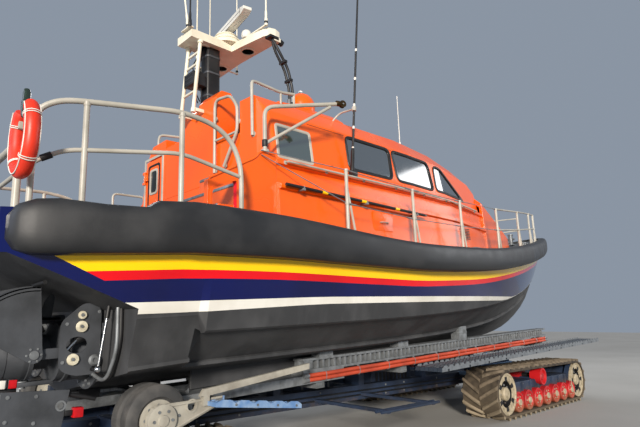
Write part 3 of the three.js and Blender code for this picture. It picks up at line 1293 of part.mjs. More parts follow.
// Every piece of the boat and its cradle
function boatPieces() {
  const c = COLOURS;
  const pieces = [
    mesh('hull', HULL_BODY, c.navy, 0.1, 0.35),
    mesh('fender', fender(), c.rubber, 0, 0.75),
    mesh('engine_hatch', engineHatch(), c.iron),
    mesh('cabin_lower', join(cabinLower(), doorHinges().slice(0, 2)), c.orange, 0.1, 0.4),
    mesh('cabin_upper', join(cabinUpper(), doorHinges().slice(2)), c.orange, 0.1, 0.4),
    mesh('fore_trunk', foreTrunk(), c.orange, 0.1, 0.4),
    mesh('windscreen', windscreenPane(), c.glass, 0, 0.1),
    mesh('cabin_door', cabinDoor(), c.orange, 0.1, 0.4),
    mesh('cockpit_fairing', cockpitFairing(), c.orange, 0.1, 0.4),
    mesh('mast_pylon', mastPylon(), c.orange, 0.1, 0.4),
    mesh('boarding_steps', boardingSteps(), c.orange, 0.1, 0.4),
    mesh('cabin_seats', seats(), c.seat),
    mesh('cabin_console', cabinConsole(), c.seat),
    mesh('mast_frame', mastFrame(), c.cream),
    mesh('mast_platform', mastPlatform(), c.cream),
    mesh('radar_scanner', radarScanner(), c.cream),
    mesh('mast_aerials', mastAerials(), c.cream),
    mesh('side_aerial', sideAerial(), c.black),
    mesh('roof_rail', roofRail(), c.rail),
    mesh('rail_stern', sternRail(), c.rail, 0.6, 0.4),
    mesh('lifebuoy', lifebuoy(), c.buoy),
    mesh('handrail_step', stepRail(), c.rail, 0.6, 0.4),
    mesh('davit', davit(), c.rail, 0.6, 0.4),
    mesh('boat_hook', boatHook(), c.black),
    mesh('cradle_frame', cradle(), c.steel, 0.5, 0.5),
  ];
  for (const [word, side] of sides) {
    pieces.push(
      mesh(`bilge_keel_${word}`, bilgeKeel(side), c.bottom),
      mesh(`engine_${word}`, engine(side), c.iron),
      mesh(`glazing_${word}`, glazing(side), c.glass, 0, 0.1),
      mesh(`mast_strut_${word}`, strut(side), c.black),
      mesh(`rail_aft_${word}`, aftRail(side), c.rail, 0.6, 0.4),
      mesh(`rail_fore_${word}`, foreRail(side), c.rail, 0.6, 0.4),
      mesh(`handrail_${word}`, sideRail(side), c.rail, 0.6, 0.4),
      mesh(`jet_body_${word}`, jetBody(side), c.jet),
      mesh(`jet_nozzle_${word}`, jetNozzle(side), c.jet),
      mesh(`jet_bucket_${word}`, jetBucket(side), c.jet),
    );
  }
  return pieces;
}

function carriagePieces() {
  const c = COLOURS;
  const pieces = [mesh('chassis', chassis(), c.iron, 0.5, 0.6)];
  for (const [word, side] of sides) {
    pieces.push(
      mesh(`track_fore_${word}`, track(side, TRACK), c.belt, 0, 0.9),
      mesh(`running_gear_fore_${word}`, foreGear(side), c.wheel, 0.3, 0.6),
      mesh(`track_aft_${word}`, track(side, AFT_TRACK), c.belt, 0, 0.9),
      mesh(`running_gear_aft_${word}`, aftGear(side), c.iron, 0.3, 0.6),
      mesh(`walkway_${word}`, walkway(side), c.grate, 0.5, 0.6),
      mesh(`guide_wheels_${word}`, guideWheels(side), c.rubber, 0, 0.8),
    );
  }
  return pieces;
}

const boat = new THREE.Group();
boat.rotation.y = -PITCH;
boat.position.set(ROW_SHIFT, 0, KEEL_HEIGHT);
boat.add(...boatPieces());

const carriage = new THREE.Group();
carriage.position.x = ROW_SHIFT;
carriage.add(...carriagePieces());

const rescueBoat = new THREE.Group();
rescueBoat.add(boat, carriage);

export default rescueBoat;
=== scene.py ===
"""Looks of an all-weather waterjet lifeboat on its tracked launching carriage.

Each class below is one sub-assembly. It builds its meshes with bmesh operators, dresses them and lets them
ride on the body that carries them. Lengths are in metres. The boat is drawn in its own frame, with x forward
from the transom and z up from the keel, and is then pitched bow up. The carriage is drawn level.
"""

import logging
import math
from collections.abc import Callable, Iterable, Sequence
from dataclasses import dataclass
from enum import Enum, IntEnum

import bmesh
import bpy
from mathutils import Matrix, Vector


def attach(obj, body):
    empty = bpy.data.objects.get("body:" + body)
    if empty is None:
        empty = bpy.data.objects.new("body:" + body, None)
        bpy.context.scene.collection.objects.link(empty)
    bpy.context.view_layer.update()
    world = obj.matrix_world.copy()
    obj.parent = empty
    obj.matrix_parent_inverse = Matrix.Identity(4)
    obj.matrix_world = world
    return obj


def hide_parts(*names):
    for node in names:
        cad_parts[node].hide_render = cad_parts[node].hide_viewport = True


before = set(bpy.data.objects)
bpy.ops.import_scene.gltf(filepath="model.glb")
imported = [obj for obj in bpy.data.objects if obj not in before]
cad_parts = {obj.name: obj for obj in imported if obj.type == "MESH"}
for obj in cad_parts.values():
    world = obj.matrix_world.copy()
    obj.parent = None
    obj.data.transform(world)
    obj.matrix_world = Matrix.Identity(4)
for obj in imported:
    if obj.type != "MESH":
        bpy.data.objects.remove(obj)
LOG = logging.getLogger("lifeboat")
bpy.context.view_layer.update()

# Bow-up pitch of the boat on its cradle
PITCH = math.radians(2.5)
# Shift along x that centres the boat and its carriage, and height of the boat's datum over the ground
ROW_SHIFT = -6.7998
KEEL_HEIGHT = 0.8
# Station aft of which the hull's lines run straight from row to row, and forward of which they curve
KNUCKLE = 1.6
# Distance within which points are merged
MERGE = 1e-5
# Largest share of a leg that a bend takes up
LEG_SHARE = 0.48
UP, FORE, AFT = (0, 0, 1), (1, 0, 0), (-1, 0, 0)
Point = Sequence[float]
Pair = tuple[float, float]


class Side(IntEnum):
    """Side of the boat, as the sign of its y."""

    STARBOARD = -1
    PORT = 1

    @property
    def label(self) -> str:
        """Word for this side in the names of pieces."""
        return self.name.lower()


class Datum(Enum):
    """Frame that a sub-assembly is drawn in."""

    BOAT = "boat"
    CARRIAGE = "carriage"

    @property
    def matrix(self) -> Matrix:
        """Turn and shift from this frame to the row frame.

        Returns:
            The place of this frame in the row frame.
        """
        if self is Datum.CARRIAGE:
            return Matrix.Translation((ROW_SHIFT, 0, 0))
        return Matrix.Translation((ROW_SHIFT, 0, KEEL_HEIGHT)) @ Matrix.Rotation(-PITCH, 4, "Y")


class Grain(Enum):
    """How a surface was made, which sets the pattern of its relief."""

    SPRAYED = "sprayed"
    CAST = "cast"
    ZINC = "zinc"
    GRIT = "grit"
    WOVEN = "woven"


def linear(hex_colour: str) -> tuple[float, float, float, float]:
    """Turns an sRGB hex colour to linear.

    Args:
        hex_colour: six hex digits.

    Returns:
        Linear red, green, blue and alpha.
    """
    channels = [int(hex_colour[i:i + 2], 16) / 255 for i in (0, 2, 4)]
    return *(c / 12.92 if c <= 0.04045 else ((c + 0.055) / 1.055) ** 2.4 for c in channels), 1.0


def add_node(tree: bpy.types.NodeTree, kind: str, inputs: dict | None = None, **settings) -> bpy.types.Node:
    """Adds a shader node with its settings and links.

    Args:
        tree: tree that takes the node.
        kind: the node's type, without its ShaderNode prefix.
        inputs: value or linked socket for each named or numbered input.
        settings: properties of the node.

    Returns:
        The new node.
    """
    node = tree.nodes.new(f"ShaderNode{kind}")
    for name, value in settings.items():
        setattr(node, name, value)
    for name, value in (inputs or {}).items():
        if isinstance(value, bpy.types.NodeSocket):
            tree.links.new(value, node.inputs[name])
        else:
            node.inputs[name].default_value = value
    return node


def mixed(tree: bpy.types.NodeTree, share: bpy.types.Node, under: bpy.types.NodeSocket | tuple,
          over: str) -> bpy.types.NodeSocket:
    """Mixes a colour over another one.

    Args:
        tree: tree that takes the node.
        share: map range node that says how much of the upper colour shows.
        under: the lower colour, or the socket that holds it.
        over: hex digits of the upper colour.

    Returns:
        Socket with the mixed colour.
    """
    inputs = {0: share.outputs["Result"], 6: under, 7: linear(over)}
    return add_node(tree, "Mix", inputs, data_type="RGBA").outputs[2]


def blank_material(name: str) -> tuple[bpy.types.Material, bpy.types.NodeTree, bpy.types.Node]:
    """Makes a node material and returns it with its tree and its shader.

    Args:
        name: name of the material.

    Returns:
        The material, its tree and its shader.
    """
    material = bpy.data.materials.new(name)
    material.use_nodes = True
    return material, material.node_tree, material.node_tree.nodes["Principled BSDF"]


@dataclass(frozen=True)
class Finish:
    """A finish with a mottle of two tones, a relief, run marks and grime that thins with height.

    Sizes of patterns are in millimetres on the real surface. Those under about 20 mm are drawn coarser than
    they are, so that they show in the render.
    """

    name: str
    colour: str
    tone: str
    patch_mm: float = 400
    rough: tuple[float, float] = (0.35, 0.5)
    metallic: float = 0.0
    coat: float = 0.0
    grain: Grain = Grain.SPRAYED
    grain_mm: float = 20
    relief_mm: float = 0.2
    runs: float = 0.0
    grime: str = ""
    grime_top: float = 0.0
    sheen: float = 0.0

    def material(self) -> bpy.types.Material:
        """Builds the node material once and returns it.

        Returns:
            The material.
        """
        found = bpy.data.materials.get(self.name)
        if found:
            return found
        material, tree, shader = blank_material(self.name)
        shader.inputs["Metallic"].default_value = self.metallic
        shader.inputs["Coat Weight"].default_value = self.coat
        shader.inputs["Coat Roughness"].default_value = 0.06
        shader.inputs["Sheen Weight"].default_value = self.sheen
        place = add_node(tree, "TexCoord").outputs["Object"]
        patch = add_node(tree, "TexNoise", {"Vector": place, "Scale": 1000 / self.patch_mm, "Detail": 4.0})
        tone = self.toned(tree, place, patch.outputs["Fac"])
        rough = add_node(tree, "MapRange", {
            "Value": patch.outputs["Fac"], "From Min": 0.3, "From Max": 0.7,
            "To Min": self.rough[0], "To Max": self.rough[1],
        })
        tree.links.new(tone, shader.inputs["Base Color"])
        tree.links.new(rough.outputs["Result"], shader.inputs["Roughness"])
        bump = add_node(tree, "Bump", {
            "Height": self.height(tree, place), "Strength": 1.0, "Distance": self.relief_mm / 1000,
        })
        tree.links.new(bump.outputs["Normal"], shader.inputs["Normal"])
        return material

    def toned(self, tree: bpy.types.NodeTree, place: bpy.types.NodeSocket,
              patch: bpy.types.NodeSocket) -> bpy.types.NodeSocket:
        """Mixes the two tones, the run marks and the grime.

        Args:
            tree: the material's tree.
            place: socket with the object coordinates.
            patch: socket with the broad noise.

        Returns:
            Socket with the colour.
        """
        share = add_node(tree, "MapRange", {"Value": patch, "From Min": 0.42, "From Max": 0.68})
        colour = mixed(tree, share, linear(self.colour), self.tone)
        if self.runs:
            stretched = add_node(tree, "Mapping", {"Vector": place, "Scale": (9.0, 9.0, 0.7)})
            runs = add_node(tree, "TexNoise", {
                "Vector": stretched.outputs["Vector"], "Scale": 1.0, "Detail": 5.0})
            run = add_node(tree, "MapRange", {
                "Value": runs.outputs["Fac"], "From Min": 0.5, "From Max": 0.8, "To Max": self.runs})
            colour = mixed(tree, run, colour, self.tone)
        if self.grime:
            height = add_node(tree, "SeparateXYZ", {"Vector": place}).outputs["Z"]
            splash = add_node(tree, "TexNoise", {
                "Vector": place, "Scale": 6.0, "Detail": 6.0, "Roughness": 0.7})
            lift = add_node(tree, "Math", {
                0: splash.outputs["Fac"], 1: -self.grime_top}, operation="MULTIPLY")
            level = add_node(tree, "Math", {0: height, 1: lift.outputs[0]}, operation="ADD")
            cover = add_node(tree, "MapRange", {
                "Value": level.outputs[0], "From Min": -0.35 * self.grime_top,
                "From Max": 0.3 * self.grime_top, "To Min": 0.92, "To Max": 0.0})
            colour = mixed(tree, cover, colour, self.grime)
        return colour

    def height(self, tree: bpy.types.NodeTree, place: bpy.types.NodeSocket) -> bpy.types.NodeSocket:
        """Makes the relief that the surface's making leaves.

        Args:
            tree: the material's tree.
            place: socket with the object coordinates.

        Returns:
            Socket with the height, from 0 to about 1.
        """
        scale = 1000 / self.grain_mm
        if self.grain in (Grain.CAST, Grain.GRIT, Grain.ZINC):
            return add_node(tree, "TexVoronoi", {"Vector": place, "Scale": scale}).outputs["Distance"]
        if self.grain is Grain.WOVEN:
            threads = [
                add_node(tree, "TexWave", {"Vector": place, "Scale": scale / 6}, bands_direction=axis)
                .outputs["Fac"] for axis in ("X", "Z")]
            return add_node(tree, "Math", {0: threads[0], 1: threads[1]}, operation="MAXIMUM").outputs[0]
        return add_node(tree, "TexNoise", {"Vector": place, "Scale": scale, "Detail": 3.0}).outputs["Fac"]


@dataclass(frozen=True)
class Glass:
    """Toughened glass with a tint, smooth on both faces."""

    name: str
    colour: str
    clear: float

    def material(self) -> bpy.types.Material:
        """Builds the node material once and returns it.

        Returns:
            The material.
        """
        found = bpy.data.materials.get(self.name)
        if found:
            return found
        material, tree, shader = blank_material(self.name)
        place = add_node(tree, "TexCoord").outputs["Object"]
        film = add_node(tree, "TexNoise", {"Vector": place, "Scale": 2.5, "Detail": 6.0})
        rough = add_node(tree, "MapRange", {"Value": film.outputs["Fac"], "To Min": 0.02, "To Max": 0.12})
        tree.links.new(rough.outputs["Result"], shader.inputs["Roughness"])
        shader.inputs["Base Color"].default_value = linear(self.colour)
        shader.inputs["Transmission Weight"].default_value = self.clear
        shader.inputs["IOR"].default_value = 1.52
        return material


# Two-pack marine gloss over fibreglass: a deep wet shine with a faint orange peel
NAVY = Finish("navy_two_pack_gloss", "05104e", "040c40", 900, (0.06, 0.13), coat=0.1, relief_mm=0.06,
              runs=0.25)
RED = Finish("red_two_pack_gloss", "e00818", "c80614", 900, (0.06, 0.13), coat=0.1, relief_mm=0.06)
YELLOW = Finish("yellow_two_pack_gloss", "ffd000", "fcc400", 900, (0.06, 0.13), coat=0.1, relief_mm=0.06)
# The same paint where spray dries on it: water streaks take some of the shine
WHITE = Finish("white_two_pack_gloss", "e6e4dc", "d0ccc0", 700, (0.15, 0.3), coat=0.4, relief_mm=0.06,
               runs=0.4)
ORANGE = Finish("orange_two_pack_gloss", "f0600c", "e2540a", 1200, (0.2, 0.34), coat=0.15, relief_mm=0.08,
                runs=0.2)
# Antifouling rolled on matt, scuffed paler by beach and cradle
BOTTOM = Finish("grey_antifouling", "323335", "464749", 500, (0.55, 0.8), grain_mm=30, relief_mm=0.5,
                runs=0.5)
# Polyurethane-skinned foam fender: satin charcoal with chalky rub marks
FENDER = Finish("charcoal_polyurethane_skin", "1e1f21", "2b2c2e", 350, (0.4, 0.6), grain_mm=25,
                relief_mm=0.4)
# Powder-coated aluminium tube: warm grey with a soft, even sheen
TUBE = Finish("warm_grey_powder_coat", "b0aca1", "99958a", 300, (0.35, 0.5), grain_mm=15, relief_mm=0.1,
              runs=0.3)
# Brushed satin paint on the mast: pale, with dirty water marks below its edges
CREAM = Finish("cream_satin_paint", "e6e0cc", "d2cab4", 500, (0.35, 0.5), relief_mm=0.1, runs=0.5)
# Epoxy deck paint with aggregate rolled in: each grain catches light
DECK = Finish("grey_grit_deck_paint", "4b4f54", "3d4146", 500, (0.75, 0.9), grain=Grain.GRIT, grain_mm=25,
              relief_mm=1.2)
# Moulded plastic and rubber trim: near black, with a low shine that hides its form
BLACK = Finish("black_moulded_plastic", "0f0f11", "19191b", 200, (0.4, 0.6), grain_mm=15, relief_mm=0.15)
# Cast aluminium under grey paint: lumpy skin, dull
CASTING = Finish("grey_painted_casting", "4b4e53", "36393d", 250, (0.45, 0.65), 0.2, grain=Grain.CAST,
                 grain_mm=30, relief_mm=0.5, runs=0.3)
# Hot-dip zinc weathered by salt: pale crystals gone chalky, rust coming through low down
ZINC = Finish("weathered_hot_dip_zinc", "8d9194", "6b6e70", 90, (0.4, 0.65), 0.55, grain=Grain.ZINC,
              grain_mm=40, runs=0.6, grime="5a4632", grime_top=0.7)
# Brushed enamel on the carriage: even and dull above, sand and rust creeping up from the foot
CHASSIS = Finish("blue_grey_chassis_enamel", "27344a", "1c2535", 300, (0.4, 0.65), grain_mm=25,
                 relief_mm=0.3, runs=0.4, grime="6a553c", grime_top=0.6)
ROLLER_RED = Finish("red_wheel_enamel", "b4161a", "8c1216", 200, (0.4, 0.6), grain_mm=25, relief_mm=0.3,
                    grime="7a6042", grime_top=0.35)
# Moulded track rubber with dried beach mud caked on it
TRACK_MUD = Finish("mud_caked_track_rubber", "2c251d", "4a4034", 120, (0.75, 0.95), grain_mm=35,
                   relief_mm=2.5, grime="574c3c", grime_top=0.9)
# Old tyre rubber: grey bloom, sandy where it meets the beach
TYRE = Finish("grey_weathered_tyre_rubber", "3a3a3a", "565452", 200, (0.65, 0.85), grain_mm=25,
              relief_mm=0.6, grime="6e5c44", grime_top=0.7)
# Woven hose sleeve: a fine rib that breaks up the light along the cradle
HOSE = Finish("orange_hose_sleeve", "bc4628", "a03a22", 250, (0.5, 0.65), grain=Grain.WOVEN, grain_mm=18,
              relief_mm=0.3)
# Coated cloth over foam: bright, soft shine
BUOY = Finish("orange_red_buoy_cover", "e03418", "c42a12", 200, (0.4, 0.55), grain_mm=15, relief_mm=0.3)
# Woven seat cloth and webbing: matt, with the threads showing close up
SEAT = Finish("charcoal_seat_cloth", "24262b", "303238", 150, (0.8, 0.95), grain=Grain.WOVEN, grain_mm=18,
              relief_mm=0.5, sheen=0.3)
TAPE = Finish("white_webbing", "e8e6de", "cfccc2", 120, (0.6, 0.75), grain=Grain.WOVEN, grain_mm=15,
              relief_mm=0.3)
# Polished ram rod: the one mirror-bright metal
CHROME = Finish("bright_ram_steel", "c8cacc", "a8aaac", 200, (0.12, 0.25), 1.0, relief_mm=0.02)
# Toughened glass: dark and smooth, with a thin salt film
TINTED = Glass("dark_tinted_glass", "1c2220", 0.35)
GREENISH = Glass("dark_green_toughened_glass", "2c3a32", 0.3)
LENS = Glass("clear_lamp_lens", "eef2f4", 0.5)
# Sacrificial zinc: chalky cream with a bitten skin
ANODE = Finish("chalky_zinc_anode", "d8d2bc", "b8b09a", 60, (0.6, 0.8), grain=Grain.CAST, grain_mm=15,
               relief_mm=0.4)
# Gunmetal left bare in salt water: brown and dull, worn brighter in patches
BRONZE = Finish("dull_gunmetal_bronze", "5c4a30", "453824", 60, (0.35, 0.55), 1.0, grain=Grain.CAST,
                grain_mm=15)
# Brushed enamel on the running gear: pale, with run marks and dry sand low down
PALE_STEEL = Finish("pale_grey_gear_enamel", "a8a498", "8a857a", 180, (0.4, 0.65), relief_mm=0.3, runs=0.5,
                    grime="6e5c44", grime_top=0.6)
# Enamel of the walkways: worn to paler patches by boots
STEP_BLUE = Finish("blue_walkway_enamel", "5b7fae", "88a0bd", 110, (0.4, 0.6), relief_mm=0.3, runs=0.4,
                   grime="5c5142", grime_top=0.5)
STEP_GREY = Finish("grey_walkway_edge", "6c7278", "565b61", 110, (0.4, 0.6), relief_mm=0.3, runs=0.4,
                   grime="5c5142", grime_top=0.5)
STEP_DARK = Finish("dark_walkway_enamel", "2f3a48", "232b36", 140, (0.45, 0.65), relief_mm=0.3, runs=0.4)
# Track lugs scuffed down to pale rubber and dry sand
TRACK_LUG = Finish("scuffed_track_lugs", "6a5e4e", "4c4336", 90, (0.75, 0.95), grain_mm=25, relief_mm=1.5,
                   grime="887b66", grime_top=0.7)
HUB_TAN = Finish("tan_roller_hubs", "a89c84", "857a62", 60, (0.5, 0.7), grain_mm=15, relief_mm=0.3)
# Moulded lamp lens and instrument glass: small spots with a hard shine
LAMP_RED = Finish("red_lamp_lens_plastic", "c01018", "a00c14", 60, (0.1, 0.25), grain_mm=10)
SCREEN = Finish("instrument_screen", "0a1014", "101a20", 80, (0.08, 0.15), relief_mm=0.02)


class Form:
    """A mesh built up from bmesh operators."""

    def __init__(self) -> None:
        """Starts empty."""
        self.mesh = bmesh.new()

    @classmethod
    def of_node(cls, *nodes: str, datum: Datum = Datum.BOAT) -> "Form":
        """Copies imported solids, merged and with their flat faces made whole.

        Args:
            nodes: names of the solids.
            datum: frame that the copy is given in.

        Returns:
            The copy.
        """
        form = cls()
        for node in nodes:
            form.mesh.from_mesh(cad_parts[node].data)
        bmesh.ops.remove_doubles(form.mesh, verts=form.mesh.verts, dist=1e-4)
        for face in form.mesh.faces:
            face.material_index = 0
        bmesh.ops.dissolve_limit(
            form.mesh, angle_limit=math.radians(1), verts=form.mesh.verts, edges=form.mesh.edges)
        form.mesh.transform(datum.matrix.inverted())
        return form

    def paint(self, number: int, test: Callable[[Vector, Vector], bool]) -> "Form":
        """Gives a finish to some faces.

        Args:
            number: number of the finish.
            test: says from a face's middle and normal whether it takes the finish.

        Returns:
            This form.
        """
        for face in self.mesh.faces:
            if test(face.calc_center_median(), face.normal):
                face.material_index = number
        return self

    def merge(self) -> "Form":
        """Merges the points that lie together."""
        bmesh.ops.remove_doubles(self.mesh, verts=self.mesh.verts, dist=MERGE)
        return self

    def slice(self, point: Point, normal: Point) -> "Form":
        """Cuts new edges into the faces along a plane.

        Args:
            point: point on the plane.
            normal: the plane's normal.

        Returns:
            This form.
        """
        bmesh.ops.bisect_plane(
            self.mesh, geom=self.mesh.verts[:] + self.mesh.edges[:] + self.mesh.faces[:], plane_co=point,
            plane_no=normal)
        return self

    def drape(self, side: Side, wall: Callable[[float, float], float]) -> "Form":
        """Lays a form drawn on the plane y = 0 on a wall.

        Args:
            side: side of the wall.
            wall: half-breadth of the wall at an x and z. The form's y is the height over it.

        Returns:
            This form.
        """
        for vert in self.mesh.verts:
            vert.co.y = side * (wall(vert.co.x, vert.co.z) + vert.co.y)
        return self

    def dress(self, verts: Iterable, paint: int, soften: float = 0.0, segments: int = 2) -> "Form":
        """Gives new geometry its finish and rounds its sharp edges.

        Args:
            verts: the new vertices.
            paint: number of the finish.
            soften: width of the rounding.
            segments: steps in the rounding.

        Returns:
            This form.
        """
        verts = [vert for vert in verts if vert.is_valid]
        for face in {face for vert in verts for face in vert.link_faces}:
            face.material_index = paint
        if soften:
            edges = {edge for vert in verts for edge in vert.link_edges if edge.calc_face_angle(0) > 0.6}
            bmesh.ops.bevel(
                self.mesh, geom=list(edges), offset=soften, offset_type="OFFSET", affect="EDGES",
                segments=segments, profile=0.5, material=-1, clamp_overlap=True)
        return self

    def box(self, corner: Point, opposite: Point, paint: int = 0, soften: float = 0.0) -> "Form":
        """Adds a box.

        Args:
            corner: one of its corners.
            opposite: the opposite corner.
            paint: number of the finish.
            soften: width of the edges' rounding.

        Returns:
            This form.
        """
        low, high = (Vector([pick(pair) for pair in zip(corner, opposite)]) for pick in (min, max))
        matrix = Matrix.Translation((low + high) / 2) @ Matrix.Diagonal((*(high - low), 1))
        made = bmesh.ops.create_cube(self.mesh, size=1, matrix=matrix)["verts"]
        return self.dress(made, paint, soften)

    def rod(self, start: Point, end: Point, radius: float, paint: int = 0, sides: int = 16,
            tip: float | None = None, soften: float = 0.0) -> "Form":
        """Adds a round bar, or a cone.

        Args:
            start: middle of the first end.
            end: middle of the other end.
            radius: radius at the start.
            paint: number of the finish.
            sides: sides of the bar.
            tip: radius at the end, where it differs.
            soften: width of the edges' rounding.

        Returns:
            This form.
        """
        start, end = Vector(start), Vector(end)
        along = end - start
        matrix = Matrix.Translation((start + end) / 2) @ turned(along)
        made = bmesh.ops.create_cone(
            self.mesh, cap_ends=True, segments=sides, radius1=radius, radius2=radius if tip is None else tip,
            depth=along.length, matrix=matrix)["verts"]
        return self.dress(made, paint, soften)

    def ball(self, centre: Point, radius: float, paint: int = 0, squash: float = 1.0) -> "Form":
        """Adds a ball.

        Args:
            centre: its middle.
            radius: its radius.
            paint: number of the finish.
            squash: share of its height that is left.

        Returns:
            This form.
        """
        matrix = Matrix.Translation(centre) @ Matrix.Diagonal((1, 1, squash, 1))
        made = bmesh.ops.create_uvsphere(
            self.mesh, u_segments=20, v_segments=12, radius=radius, matrix=matrix)
        return self.dress(made["verts"], paint)

    def lathe(self, profile: Sequence[Point], centre: Point, axis: Point, paint: int = 0,
              steps: int = 32) -> "Form":
        """Adds a turned form.

        Args:
            profile: radius and place along the axis of each point of its section.
            centre: point that the places are counted from.
            axis: direction of the axis.
            paint: number of the finish.
            steps: steps of the full turn.

        Returns:
            This form.
        """
        form = Form()
        verts = [form.mesh.verts.new((radius, 0, along)) for radius, along in profile]
        edges = [form.mesh.edges.new(pair) for pair in zip(verts, verts[1:])]
        bmesh.ops.spin(
            form.mesh, geom=verts + edges, cent=(0, 0, 0), axis=(0, 0, 1), angle=math.tau, steps=steps,
            use_merge=True)
        return self.stamp(form.merge(), facing([centre], axis), paint)

    def collar(self, bore: float, radius: float, depth: float, centre: Point, axis: Point, paint: int = 0,
               steps: int = 32) -> "Form":
        """Adds a ring with square edges.

        Args:
            bore: radius of its hole.
            radius: its outer radius.
            depth: how far it stands along the axis.
            centre: middle of its foot.
            axis: direction of the axis.
            paint: number of the finish.
            steps: steps of the full turn.

        Returns:
            This form.
        """
        section = [(bore, 0), (radius, 0), (radius, depth), (bore, depth), (bore, 0)]
        return self.lathe(section, centre, axis, paint, steps)

    def tube(self, path: Sequence[Point], radius: float, paint: int = 0, sides: int = 12,
             closed: bool = False) -> "Form":
        """Extrudes a circle along a path, turning it with the path and never twisting it.

        Args:
            path: points of its middle line.
            radius: its radius.
            paint: number of the finish.
            sides: sides of the circle.
            closed: whether the last point joins the first.

        Returns:
            This form.
        """
        points = [Vector(point) for point in path]
        steps = [(b - a).normalized() for a, b in zip(points, points[1:])]
        headings = [steps[0]] + [(a + b).normalized() for a, b in zip(steps, steps[1:])] + [steps[-1]]
        ring = bmesh.ops.create_circle(
            self.mesh, segments=sides, radius=radius,
            matrix=Matrix.Translation(points[0]) @ turned(headings[0]))["verts"]
        made = list(ring)
        edges = list({edge for vert in ring for edge in vert.link_edges})
        first = edges
        for index in range(1, len(points)):
            out = bmesh.ops.extrude_edge_only(self.mesh, edges=edges)["geom"]
            fresh = set(only(bmesh.types.BMVert, out))
            edges = [edge for edge in only(bmesh.types.BMEdge, out) if set(edge.verts) <= fresh]
            swing = headings[index - 1].rotation_difference(headings[index]).to_matrix().to_4x4()
            move = Matrix.Translation(points[index]) @ swing @ Matrix.Translation(-points[index - 1])
            bmesh.ops.transform(self.mesh, matrix=move, verts=list(fresh))
            made.extend(fresh)
        if closed:
            bmesh.ops.bridge_loops(self.mesh, edges=first + edges)
        else:
            bmesh.ops.contextual_create(self.mesh, geom=first)
            bmesh.ops.contextual_create(self.mesh, geom=edges)
        return self.dress(made, paint)

    def loft(self, rings: Sequence[Sequence[Point]], paints: Sequence[int] | int = 0,
             caps: bool = True) -> "Form":
        """Extrudes a closed ring through others that have as many points.

        Args:
            rings: the rings.
            paints: finish of the strip that starts at each point, or one for all.
            caps: whether the two ends are closed.

        Returns:
            This form.
        """
        verts = [self.mesh.verts.new(point) for point in rings[0]]
        edges = [self.mesh.edges.new(pair) for pair in zip(verts, verts[1:] + verts[:1])]
        paints = [paints] * len(verts) if isinstance(paints, int) else paints
        ends = [list(edges)]
        for ring in rings[1:]:
            out = bmesh.ops.extrude_edge_only(self.mesh, edges=edges)["geom"]
            fresh = set(only(bmesh.types.BMVert, out))
            verts = [
                next(edge.other_vert(vert) for edge in vert.link_edges if edge.other_vert(vert) in fresh)
                for vert in verts]
            for vert, point in zip(verts, ring):
                vert.co = point
            edges = [self.mesh.edges.get(pair) for pair in zip(verts, verts[1:] + verts[:1])]
            for edge, paint in zip(edges, paints):
                edge.link_faces[0].material_index = paint
        ends.append(edges)
        if caps:
            for end in ends:
                bmesh.ops.contextual_create(self.mesh, geom=end)
        return self

    def gasket(self, outline: Sequence[Pair], rows: Sequence[Pair], place: Callable[..., Point],
               corner: float, paint: int = 0) -> "Form":
        """Adds a ring that follows an outline.

        Args:
            outline: corners of the opening.
            rows: how far the outline is grown, and how far out, at each point of the ring's section.
            place: gives the point for a pair of the outline and how far out it is.
            corner: reach of the corners' rounding.
            paint: number of the finish.

        Returns:
            This form.
        """
        rings = [[place(a, b, out) for a, b in grown(outline, by, corner)] for by, out in rows]
        return self.loft(rings, paint, caps=False)

    def plate(self, outlines: Sequence[Sequence[Point]], depth: Point, paint: int = 0,
              soften: float = 0.0) -> "Form":
        """Fills an outline, less the holes that follow it, and extrudes it.

        Args:
            outlines: the outer outline and then any holes, all in one plane.
            depth: extrusion.
            paint: number of the finish.
            soften: width of the edges' rounding.

        Returns:
            This form.
        """
        loops = [[self.mesh.verts.new(point) for point in outline] for outline in outlines]
        edges = [self.mesh.edges.new(pair) for loop in loops for pair in zip(loop, loop[1:] + loop[:1])]
        if len(loops) == 1:
            faces = [self.mesh.faces.new(loops[0])]
        else:
            filled = bmesh.ops.triangle_fill(self.mesh, use_beauty=True, use_dissolve=True, edges=edges)
            faces = only(bmesh.types.BMFace, filled["geom"])
        fresh = only(bmesh.types.BMVert, bmesh.ops.extrude_face_region(self.mesh, geom=faces)["geom"])
        bmesh.ops.translate(self.mesh, vec=Vector(depth), verts=fresh)
        return self.dress([vert for loop in loops for vert in loop] + fresh, paint, soften)

    def stamp(self, other: "Form", matrices: Iterable[Matrix], paint: int | None = None) -> "Form":
        """Adds copies of another form, and frees it.

        Args:
            other: the form.
            matrices: place of each copy.
            paint: number of the finish, where it isn't the form's own.

        Returns:
            This form.
        """
        source = bpy.data.meshes.new("stamp")
        if paint is not None:
            for face in other.mesh.faces:
                face.material_index = paint
        other.mesh.to_mesh(source)
        other.mesh.free()
        for matrix in matrices:
            placed = source.copy()
            placed.transform(matrix)
            self.mesh.from_mesh(placed)
            bpy.data.meshes.remove(placed)
        bpy.data.meshes.remove(source)
        return self

    def bolts(self, size: float, places: Iterable[Point], axis: Point, paint: int = 0) -> "Form":
        """Adds hexagon bolt heads.

        Args:
            size: radius of a head.
            places: points that they sit at.
            axis: direction that they face.
            paint: number of the finish.

        Returns:
            This form.
        """
        return self.stamp(bolt(size), facing(places, axis), paint)

